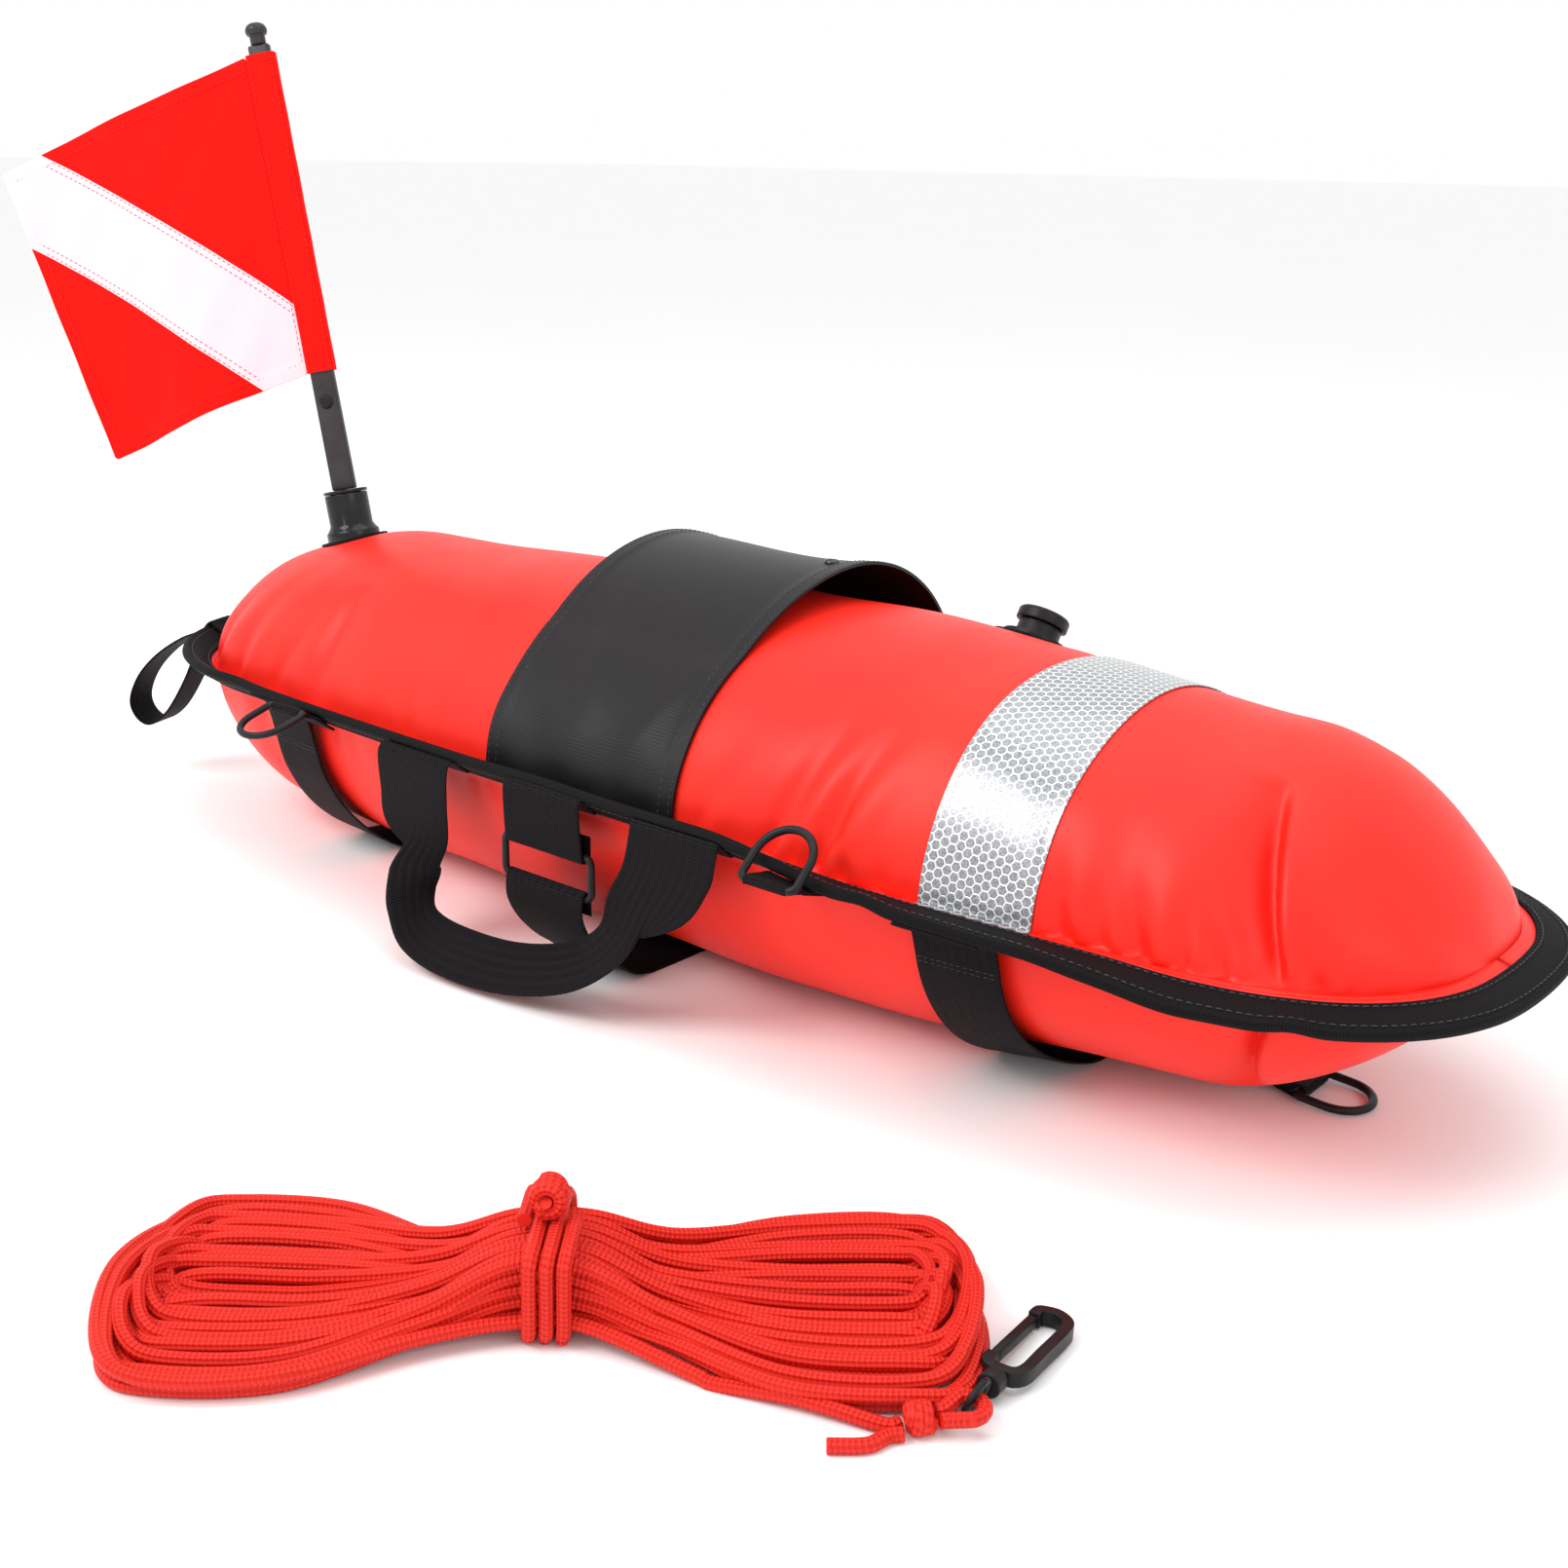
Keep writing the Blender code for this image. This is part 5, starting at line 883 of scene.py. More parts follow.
def body_columns():
    """Part stations of the fine surface: closer at the tips and at the nose's crease."""
    even = station_of(np.arange(STATION_X[0], STATION_X[-1], COLUMN_PITCH))
    tips = np.linspace(0, MIRRORED, TIP_COLUMNS)
    crease = station_of(np.linspace(*CREASE_COLUMNS))
    every = np.sort(np.concatenate([even, tips, STATIONS - tips, crease, [STATIONS]]))
    kept = [every[0]]
    for u in every[1:]:
        if u - kept[-1] > COLUMN_APART:
            kept.append(u)
    kept[-1] = STATIONS
    return np.array(kept)


COLUMNS = body_columns()
TURN_ROWS = 88
LEDGE_OUT = np.array([0.0, 0.0009, 0.0014, 0.0019, 0.0030, 0.0035, 0.0040, 0.0055, 0.0100, 0.0160,
                      FLANGE_WIDTH])
WELD_LINES = (0.0014, 0.0035)
WELD_RIDGE = 0.00022
SEAM_CROWD = 0.16
CREASE_FLAT = 0.25
CREASE_FLAT_WIDTH = 0.0015
CREASE_FULLNESS = 0.6
# Rows of short folds: start, end, ranges of lean, reach, depth and width, a set width, and the distance apart
PUCKER_ROWS = (
    (0.02 - BODY_LENGTH / 2, BODY_LENGTH / 2 - 0.015,
     ((-0.35, 0.35), (0.009, 0.026), (0.0004, 0.0013), (0.0028, 0.0055)), (), (0.012, 0.027)),
    (BODY_LENGTH / 2 - 0.045, BODY_LENGTH / 2 - 0.006,
     ((-0.2, 0.2), (0.008, 0.016), (0.0006, 0.0014)), (0.0024,), (0.007, 0.011)),
)
# A fold: how much wider it gets, the rise beside it, and how it starts at the seam and fades
FOLD_WIDENING = 0.9
FOLD_RISE = 0.45
FOLD_RISE_AWAY = 2.1
FOLD_RISE_WIDTH = 1.3
FOLD_FADE = 1.6
FOLD_AT_SEAM = 0.35
FOLD_START = 0.004
FAR_FOLD_SHIFT = 0.017
# Wide unevenness of the tight cloth: length, turns, shift, size, and the shift of the lower half
SWELL_WAVES = ((0.031, 2.1, 0.0, 1.0, 2.0), (0.053, -3.3, 1.3, 1.0, 2.0), (0.019, 5.0, 0.4, 0.7, 0.0))
SWELL_SEAM_TURNS = (0.12, 0.8)
SWELL_TIP_WIDTH = 0.03
FOLD_TIP_WIDTH = 0.02
INNER_SKIN_SHARES = (0.9, 0.5)


def section_turns():
    """Turns of the rows over the bowl, closer near both seams, where the folds are."""
    t = np.linspace(0, 1, TURN_ROWS + 1)
    return math.pi * (t - SEAM_CROWD * np.sin(2 * math.pi * t) / math.pi)


TURNS = section_turns()


def crease_depth(x, turn, upward):
    """How far the creases draw the ends of a half in."""
    folded = np.minimum(turn, math.pi - turn)
    depth = 0.0
    for seam_x, top_x, reach, deep, tail_side, nose_side, halves in CREASES:
        if upward or False in halves:
            climb = np.clip(folded / reach, 0, 1)
            off = x - (seam_x + (top_x - seam_x) * climb)
            width = np.where(off < 0, tail_side, nose_side)
            bell = np.exp(-np.abs(off) / width) * (1 - CREASE_FLAT * np.exp(-(off / CREASE_FLAT_WIDTH) ** 2))
            depth = depth + deep * bell * (4 * climb * (1 - climb)) ** CREASE_FULLNESS
    return depth


def pucker_list(seed):
    """Short folds all along a seam, unevenly spaced: place, lean, reach, depth, width."""
    draw = np.random.RandomState(seed)
    found = []
    for x, end, ranges, set_width, apart in PUCKER_ROWS:
        while x < end:
            found.append((x, *[draw.uniform(*span) for span in ranges], *set_width))
            x += draw.uniform(*apart)
    return found


PUCKERS = {(side, upward): pucker_list(PUCKER_SEED + 3 * side + upward) for side in (-1, 1)
           for upward in (True, False)}


def fold_field(x, climb, side, upward):
    """Depth of the folds that start at one seam; climb is the way up from it in metres."""
    folds = list(PUCKERS[(side, upward)])
    if upward:
        folds += [(p + (0.0 if side < 0 else FAR_FOLD_SHIFT), lean, reach, depth, width)
                  for p, lean, reach, depth, width in TALL_FOLDS]
    depth = np.zeros(np.broadcast(x, climb).shape)
    for place, lean, reach, deep, width in folds:
        wide = width * (1 + climb / reach * FOLD_WIDENING)
        off = x - place - lean * climb
        bell = np.exp(-(off / wide) ** 2)
        rise = np.exp(-((off - FOLD_RISE_AWAY * wide) / (FOLD_RISE_WIDTH * wide)) ** 2)
        start = FOLD_AT_SEAM + (1 - FOLD_AT_SEAM) * (1 - np.exp(-climb / FOLD_START))
        depth = depth + deep * (bell - FOLD_RISE * rise) * np.exp(-(climb / reach) ** FOLD_FADE) * start
    return depth


def soft_swell(x, turn, upward):
    """Wide, shallow unevenness of the tight panel."""
    swell = 0.0
    for length, turns, shift, size, lower_shift in SWELL_WAVES:
        swell = swell + size * np.sin(x / length + turns * turn + shift + (0.0 if upward else lower_shift))
    return swell


def outward(grid, sign):
    """The normals of a grid, turned to the side where its middle one points up, or down for a sign of -1."""
    normal = grid_normals(grid)
    middle = normal[grid.shape[0] // 2, grid.shape[1] // 2]
    return -normal if (middle @ UP) * sign < 0 else normal


def build_skin(upward):
    """The outer surface of one welded half as a grid of points, edge to edge."""
    sign = 1 if upward else -1
    u = COLUMNS[:, None]
    x, w, _, _ = along_body(u)
    height = np.maximum(catmull(H_RUN[upward], u + MIRRORED), 0.0)
    turn = TURNS[None, 1:-1]
    drawn = crease_depth(x, turn, upward)
    y = -np.maximum(w - drawn, 0.0) * np.cos(turn)
    z = SEAM_HEIGHT + sign * np.maximum(height - drawn, 0.0) * np.sin(turn)
    bowl = np.stack(np.broadcast_arrays(x, y, z), axis=-1)
    near = np.minimum(turn, math.pi - turn)
    room = np.clip(near / SWELL_SEAM_TURNS[0], 0, 1) * np.clip(w / SWELL_TIP_WIDTH, 0, 1)
    move = SWELL * soft_swell(x, turn, upward) * room * np.clip(near / SWELL_SEAM_TURNS[1], 0, 1)
    size = 0.5 * (w + height)
    for side, climb in ((-1, turn * size), (1, (math.pi - turn) * size)):
        move = move - fold_field(x, climb, side, upward) * np.clip(w / FOLD_TIP_WIDTH, 0, 1)
    bowl = bowl + outward(bowl, sign) * move[..., None]
    if not upward:
        bowl[..., 2] = np.maximum(bowl[..., 2], FLOOR_CLEARANCE)
    ridge = WELD_RIDGE * np.isin(LEDGE_OUT, WELD_LINES)
    lift = sign * (LAYER_GAP / 2 + PANEL_SKIN)
    near_ledge, far_ledge = (edge_point(u, side, LEDGE_OUT[None, :], lift + sign * ridge[None, :])
                             for side in (-1, 1))
    return np.concatenate([near_ledge[:, ::-1], bowl, far_ledge], axis=1)


SKIN = {upward: build_skin(upward) for upward in (True, False)}
LEDGE = len(LEDGE_OUT)
ROW_TURNS = np.concatenate([-LEDGE_OUT[::-1], TURNS[1:-1], math.pi + LEDGE_OUT])
NORMALS = {upward: outward(SKIN[upward], 1 if upward else -1) for upward in (True, False)}


def soften(grid, times):
    """Evens a grid out, for cloth that bridges the small folds under it."""
    for _ in range(times):
        inner = grid.copy()
        inner[1:-1] = (grid[:-2] + 2 * grid[1:-1] + grid[2:]) / 4
        grid = inner
    return grid


def on_skin(x, turn, upward, lift=0.0):
    """Points over the panel. A turn below 0 or above pi is metres out along the sewn edge."""
    column = np.interp(station_of(x), COLUMNS, np.arange(len(COLUMNS)))
    row = np.interp(turn, ROW_TURNS, np.arange(len(ROW_TURNS)))
    c, r = np.broadcast_arrays(column, row)
    ci, ri = np.minimum(c.astype(int), len(COLUMNS) - 2), np.minimum(r.astype(int), len(ROW_TURNS) - 2)
    ct, rt = (c - ci)[..., None], (r - ri)[..., None]

    def blend(grid):
        return ((grid[ci, ri] * (1 - ct) + grid[ci + 1, ri] * ct) * (1 - rt)
                + (grid[ci, ri + 1] * (1 - ct) + grid[ci + 1, ri + 1] * ct) * rt)

    point, normal = blend(SKIN[upward]), blend(NORMALS[upward])
    normal = unit(normal)
    return point + normal * np.asarray(lift)[..., None], normal


def build_panels():
    """The two welded halves, each a thin skin from edge to edge."""
    for upward, name in ((True, "upper_skin"), (False, "lower_skin")):
        outer = SKIN[upward]
        bowl_share, edge_share = INNER_SKIN_SHARES
        inner = outer - NORMALS[upward] * PANEL_SKIN * bowl_share
        for edge in (slice(0, LEDGE), slice(-LEDGE, None)):
            inner[:, edge] = outer[:, edge] - NORMALS[upward][:, edge] * PANEL_SKIN * edge_share
        obj = shell(name, inner, outer, grid_uv(outer), smooth=SHARP_PANEL)
        settle(obj, "float", COATED, "coated", ("upper_panel",) if upward else ("lower_panel",))


# Binding: how far its cut edge is tucked in and rounded, and how it puffs up between its rows of stitches
BINDING_TUCK = 0.0003
BINDING_ROUND = (0.0006, 0.0001)
BINDING_PUFF = 0.0002
BINDING_PUFF_MIDDLE = 0.0135
BINDING_PUFF_HALF = 0.0065
BINDING_PUFF_ROWS = (0.0075, 0.0195, 7)
BINDING_FOLD_STEPS = 9
BINDING_INSIDE_SHARE = 0.3
BINDING_SEAMS = (BINDING_START + 0.0022, FLANGE_WIDTH - 0.0030)
BINDING_SEAM_SINK = 0.0004
BINDING_SEAM_STAND = 0.0002


def ring_columns():
    """Part stations and sides round the edge: along the near side, then back along the far."""
    inner = COLUMNS[1:-1]
    u = np.concatenate([COLUMNS, inner[::-1]])
    side = np.concatenate([-np.ones(len(COLUMNS)), np.ones(len(inner))])
    return u, side


def binding_section():
    """Outlines of the folded strip, inner and outer, as (out, lift) from the edge's middle."""
    reach = BINDING_EDGE - FLANGE_WIDTH
    fold = [(FLANGE_WIDTH + reach * math.cos(a), BINDING_OUTER * math.sin(a))
            for a in np.linspace(math.pi / 2, -math.pi / 2, BINDING_FOLD_STEPS)]
    top = [(BINDING_START, BINDING_OUTER - BINDING_TUCK),
           (BINDING_START + BINDING_ROUND[0], BINDING_OUTER + BINDING_ROUND[1])]
    for out in np.linspace(*BINDING_PUFF_ROWS):
        puff = math.cos(math.pi * (out - BINDING_PUFF_MIDDLE) / BINDING_PUFF_HALF)
        top.append((out, BINDING_OUTER + BINDING_PUFF * puff))
    outer = top + fold + [(out, -lift) for out, lift in top[::-1]]
    inner = []
    for out, lift in outer:
        sign = 1 if lift > 0 else -1
        thick = abs(lift) > BINDING_CLOTH
        inside = (abs(lift) - BINDING_CLOTH) * sign if thick else lift * BINDING_INSIDE_SHARE
        inner.append((min(out, FLANGE_WIDTH + LAYER_GAP), inside))
    return inner, outer


def build_binding():
    """The strip folded over the edge, with a rounded fold, and its two rows of stitches on both faces."""
    u, side = ring_columns()
    inner, outer = (np.stack([edge_point(u, side, out, lift) for out, lift in section], axis=1)
                    for section in binding_section())
    obj = shell("edge_binding_cloth", inner, outer, grid_uv(outer), ring=True)
    settle(obj, "float", BINDING, "webbing", ("edge_binding",))
    lines = []
    for out in BINDING_SEAMS:
        for sign in (1, -1):
            low = edge_point(u, side, out, sign * (BINDING_OUTER - BINDING_SEAM_SINK))
            high = edge_point(u, side, out, sign * (BINDING_OUTER + BINDING_SEAM_STAND))
            lines.append((high, high - low))
    settle(stitches("binding_stitches", lines, EDGE_THREAD), "float", THREAD_BLACK, "webbing")


# Cloth that lies over the upper panel

BAND_START_X = -0.073
BAND_END_X = 0.047
BAND_CLOTH = 0.0010
BAND_LIFT = 0.017
BAND_FOOT = 0.004
BAND_LIFT_SHARES = (0.30, 0.92)
BAND_HEM = 0.0085
BAND_COLUMNS, BAND_ROWS = 72, 96
BAND_OFF_SKIN = 0.0004
BAND_HEM_CLOTH = 0.0005
BAND_HEM_SEAMS = (0.0018, BAND_HEM - 0.0012)
BAND_SAG = 0.0030
BAND_LIFT_FULLNESS = 1.3
BAND_SOFTENED = 3
# Ripple near the band's hem: height, turn of its middle, spread, waves across, turns, and where it fades in
BAND_RIPPLE = (0.0011, 0.30, 0.22, 16.0, 2.6, 0.1)
# Creases of the band: depth, place across it, lean, turn it leans from, width, turn of its middle, spread
BAND_CREASES = ((0.0010, 0.80, 0.25, 0.5, 0.05, 0.5, 0.4), (0.0009, 0.35, -0.3, 0.9, 0.06, 0.8, 0.35))
STRIP_MARGIN = 0.002
EYELET_X = 0.034
EYELET_SHARE = 0.545
EYELET_RIM = 0.0005
EYELET_RADIUS = 0.0042
EYELET_BORE = 0.0022
EYELET_HEIGHT = 0.0014
TAPE_X = 0.202
TAPE_WIDTH = 0.050
TAPE_CLOTH = 0.0005
TAPE_FOOT = 0.004
TAPE_COLUMNS, TAPE_ROWS = 40, 110
TAPE_OFF_SKIN = 0.0001
TAPE_WELD = (0.00018, 0.0022, 0.0006)
TAPE_SOFTENED = 2


def crossing(start, end, foot, columns, rows):
    """Places and turns of a strip across the upper panel, foot to foot."""
    x = np.linspace(start, end, columns)[:, None]
    turn = np.concatenate([[-foot, -foot / 2], np.linspace(STRIP_MARGIN, math.pi - STRIP_MARGIN, rows),
                           [math.pi + foot / 2, math.pi + foot]])[None, :]
    return x, turn


def band_stand(x, turn):
    """How far the band stands off the skin: on the far shoulder it lifts, near the hem it ripples."""
    low, high = (share * math.pi for share in BAND_LIFT_SHARES)
    inside = np.clip((turn - low) / (high - low), 0, 1)
    lift = BAND_LIFT * np.sin(math.pi * inside) ** BAND_LIFT_FULLNESS
    across = (x - BAND_START_X) / (BAND_END_X - BAND_START_X)
    sag = BAND_SAG * np.sin(math.pi * across) * np.sin(math.pi * inside) ** 2
    height, middle, spread_turn, waves, turns, fade = BAND_RIPPLE
    low_fold = np.exp(-((turn - middle) / spread_turn) ** 2)
    ripple = height * low_fold * (1 + np.sin(across * waves + turns * turn)) * np.clip(turn / fade, 0, 1)
    creases = 0.0
    for depth, place, lean, lean_turn, width, middle, spread_turn in BAND_CREASES:
        off = across - place - lean * (turn - lean_turn)
        near = np.exp(-((turn - middle) / spread_turn) ** 2)
        creases = creases + depth * np.exp(-(off / width) ** 2) * near
    return LAYER_GAP + BAND_OFF_SKIN + lift - sag + ripple + creases


def band_column(x):
    """The column of the band's grid at a place along the body."""
    return int(round((x - BAND_START_X) / (BAND_END_X - BAND_START_X) * (BAND_COLUMNS - 1)))


def build_band():
    """The band over the back, with its hems and stitches; its outer face is returned."""
    x, turn = crossing(BAND_START_X, BAND_END_X, BAND_FOOT, BAND_COLUMNS, BAND_ROWS)
    under, normal = on_skin(x, turn, True, band_stand(x, turn))
    under = soften(under, BAND_SOFTENED)
    edge = np.minimum(x - BAND_START_X, BAND_END_X - x)
    hem = BAND_HEM_CLOTH * (1 / (1 + np.exp((edge - BAND_HEM) / BAND_HEM_CLOTH)))
    over = under + normal * (BAND_CLOTH + hem)[..., None]
    obj = shell("band_cloth", under, over, grid_uv(over))
    settle(obj, "float", TWILL, "webbing", ("top_band",))
    outer_seam, inner_seam = BAND_HEM_SEAMS
    columns = [band_column(place) for place in (BAND_START_X + outer_seam, BAND_START_X + inner_seam,
                                                BAND_END_X - inner_seam, BAND_END_X - outer_seam)]
    lines = [(over[column, 2:-2], normal[column, 2:-2]) for column in columns]
    settle(stitches("band_stitches", lines, BAND_THREAD), "float", THREAD_BLACK, "webbing")
    return over, normal


START_RADIUS = 0.01
MERGE_TURNED = 0.00001
ROUNDING_STEPS = 3
ROUNDING_ANGLE = math.radians(35)


def start_circle(name, corners, fill):
    """A circle to start a piece from, with nothing else selected."""
    bpy.ops.object.select_all(action="DESELECT")
    bpy.ops.mesh.primitive_circle_add(vertices=corners, radius=START_RADIUS, fill_type=fill)
    return named(bpy.context.object, name)


def round_edges(obj, width):
    """Rounds a finished piece's sharp edges and shades the rest of it smooth."""
    cut = obj.modifiers.new("rounding", "BEVEL")
    cut.width = width
    cut.segments = ROUNDING_STEPS
    cut.limit_method = "ANGLE"
    cut.angle_limit = ROUNDING_ANGLE
    bpy.ops.object.modifier_apply(modifier=cut.name)
    bpy.ops.object.shade_smooth_by_angle(angle=SHARP_TURNED)


def lathe(name, profile, base, axis, material, slot, body, nodes, sides=56, rounding=0.0004):
    """Turns a closed outline of (radius, height) about an axis, with its edges rounded."""
    obj = start_circle(name, 3, "NOTHING")
    work = bmesh.new()
    corners = [work.verts.new((r, 0.0, h)) for r, h in profile]
    open_ended = profile[0][0] == 0
    for pair in zip(corners, corners[1:] if open_ended else corners[1:] + corners[:1]):
        work.edges.new(pair)
    work.to_mesh(obj.data)
    work.free()
    bpy.ops.object.mode_set(mode="EDIT")
    bpy.ops.mesh.select_all(action="SELECT")
    bpy.ops.mesh.spin(steps=sides, angle=2 * math.pi, center=(0, 0, 0), axis=(0, 0, 1), dupli=False)
    bpy.ops.mesh.select_all(action="SELECT")
    bpy.ops.mesh.remove_doubles(threshold=MERGE_TURNED)
    bpy.ops.mesh.normals_make_consistent(inside=False)
    bpy.ops.object.mode_set(mode="OBJECT")
    turn = Vector(UP).rotation_difference(Vector(axis)).to_matrix().to_4x4()
    obj.data.transform(Matrix.Translation(Vector(base)) @ turn)
    round_edges(obj, rounding)
    return settle(obj, body, material, slot, nodes)


def build_eyelet(over, normal):
    """The small ring pressed into the band where it stands off."""
    column, row = band_column(EYELET_X), int(over.shape[1] * EYELET_SHARE)
    rim, top = EYELET_RIM, EYELET_HEIGHT
    lathe("band_eyelet_ring", [
        (EYELET_BORE, 0.0), (EYELET_RADIUS, 0.0), (EYELET_RADIUS - rim, top - rim),
        (EYELET_RADIUS - 2 * rim, top), (EYELET_BORE + rim, top), (EYELET_BORE, top - rim),
    ], over[column, row], normal[column, row], EYELET_METAL, "reflective", "float", ("band_eyelet",))


def build_tape():
    """The silver tape over the nose end, pressed thin along both its edges."""
    x, turn = crossing(TAPE_X - TAPE_WIDTH / 2, TAPE_X + TAPE_WIDTH / 2, TAPE_FOOT, TAPE_COLUMNS, TAPE_ROWS)
    under, normal = on_skin(x, turn, True, LAYER_GAP)
    under = soften(under, TAPE_SOFTENED) + normal * TAPE_OFF_SKIN
    edge = np.minimum(x - x[0], x[-1] - x)
    depth, inset, width = TAPE_WELD
    welded = depth * np.exp(-((edge - inset) / width) ** 2)
    over = under + normal * (TAPE_CLOTH - welded)[..., None]
    obj = shell("silver_tape", under, over, grid_uv(over))
    settle(obj, "float", TAPE, "reflective", ("reflective_tape",))


build_panels()
build_binding()
build_eyelet(*build_band())
build_tape()


# Webbing

ACROSS = np.array([-0.5, -0.488, -0.465, -0.40, -0.30, -0.15, 0.0, 0.15, 0.30, 0.40, 0.465, 0.488, 0.5])
SELVEDGE = np.array([0.45, 0.85, 1.0, 1.0, 1.0, 1.0, 1.0, 1.0, 1.0, 1.0, 1.0, 0.85, 0.45])
BELLY_WEB_WIDTH = 0.038
WIDE_WEB_WIDTH = 0.050
RING_WEB_WIDTH = 0.0225
TAIL_STRAP_X = -0.230
TAIL_STRAP_SLACK = 0.005
MIDDLE_STRAP_X = -0.0155
NOSE_STRAP_X = 0.198
NOSE_STRAP_SLACK = 0.005
BUCKLE_Y = -0.1225
BUCKLE_TOP = 0.069
BUCKLE_BOTTOM = 0.049
BUCKLE_WIRE = 0.0017
BUCKLE_SIDE_CLEARANCE = 0.0015
BUCKLE_CORNER = 0.004
STRAP_RETURN = 0.009
FLOOR_GAP = 0.0001
FLOOR_WEBBING = 0.0006
BELLY_OFF_SKIN = 0.0002
BELLY_END_TURN = 0.30
BELLY_POINTS, BELLY_ROWS = 20, 150
BELLY_SEAM_ROWS = (14, 15, 134, 135)
BUCKLE_BELLY_TURN = math.pi * 5 / 12
BUCKLE_BELLY_POINTS = 14
BUCKLE_ROWS = (64, 190)
SLACK_SHARES = ((1.015, 0.44), (0.955, 0.29), (0.83, 0.12), (0.66, 0.0))


def webbing(name, grid, sign, nodes, floor=False):
    """Webbing on the float whose inner face is a grid, across by along; its outer face is returned."""
    normal = grid_normals(grid) * sign
    thin = (WEBBING / 2 * (1 - SELVEDGE))[:, None, None]
    low, high = grid + normal * thin, grid + normal * (WEBBING - thin)
    if floor:
        high[..., 2] = np.maximum(high[..., 2], FLOOR_GAP)
        low[..., 2] = np.maximum(low[..., 2], high[..., 2] + FLOOR_WEBBING)
    obj = shell(name, low, high, grid_uv(grid)[..., ::-1], smooth=SHARP_WEBBING)
    settle(obj, "float", RIBBED, "webbing", nodes)
    return high


def centred_webbing(name, grid, half):
    """Webbing that has a grid as its middle, with half its thickness, which may change, on each side."""
    normal = grid_normals(grid)
    uv = grid_uv(grid)[..., ::-1]
    return shell(name, grid - normal * half, grid + normal * half, uv, smooth=SHARP_WEBBING)


def sewn_points(u, side, outs, lift):
    """Places across the sewn edge, in the upright plane across the float."""
    return [tuple(edge_point(u, side, out, lift)[1:]) for out in outs]


def strap_grid(centre, width, make, rows):
    """Webbing across part of the float: each thread row's path is made at its own place."""
    grid = []
    for share in ACROSS:
        x = centre + width * share
        path = smooth_path(np.array(make(x, float(station_of(x)))), rows)
        grid.append([(x, y, z) for y, z in path])
    return np.array(grid)


def sewn_rows(u, side):
    """Where a strap's end is sewn under the edge, from the rim inwards."""
    return sewn_points(u, side, (FLANGE_WIDTH, FLANGE_WIDTH - STRAP_SEWN), -(BINDING_OUTER + LAYER_GAP))


def belly_path(x, low_turn, high_turn, count, slack):
    """A strap's way under the belly, hanging off it by its slack."""
    turn = np.linspace(low_turn, high_turn, count)
    points, _ = on_skin(x, turn, False, LAYER_GAP + BELLY_OFF_SKIN)
    y = points[:, 1] * (1 + slack / HALF_WIDTH)
    z = SEAM_HEIGHT - (SEAM_HEIGHT - points[:, 2]) * (1 + slack / SEAM_HEIGHT)
    return [tuple(place) for place in np.stack([y, np.maximum(z, WEBBING)], axis=1)]


def build_belly_straps():
    """The two straps that run under the belly from edge to edge, with their stitches."""
    def path(x, u):
        belly = belly_path(x, BELLY_END_TURN, math.pi - BELLY_END_TURN, BELLY_POINTS, slack)
        return sewn_rows(u, -1) + belly + sewn_rows(u, 1)[::-1]

    for name, centre, slack in (("tail", TAIL_STRAP_X, TAIL_STRAP_SLACK),
                                ("nose", NOSE_STRAP_X, NOSE_STRAP_SLACK)):
        grid = strap_grid(centre, BELLY_WEB_WIDTH, path, BELLY_ROWS)
        high = webbing("belly_webbing_" + name, grid, -1, ("belly_strap_" + name,), floor=True)
        normal = -grid_normals(high)
        lines = [(high[1:-1, row], normal[1:-1, row]) for row in BELLY_SEAM_ROWS]
        settle(stitches("belly_stitches_" + name, lines, STRAP_THREAD), "float", THREAD_BLACK, "webbing")


def round_bar(centre, radius, start, end, steps=9):
    """Points on an arc round a centre."""
    return [(centre[0] + radius * math.cos(a), centre[1] + radius * math.sin(a)) for a in
            np.linspace(start, end, steps)]


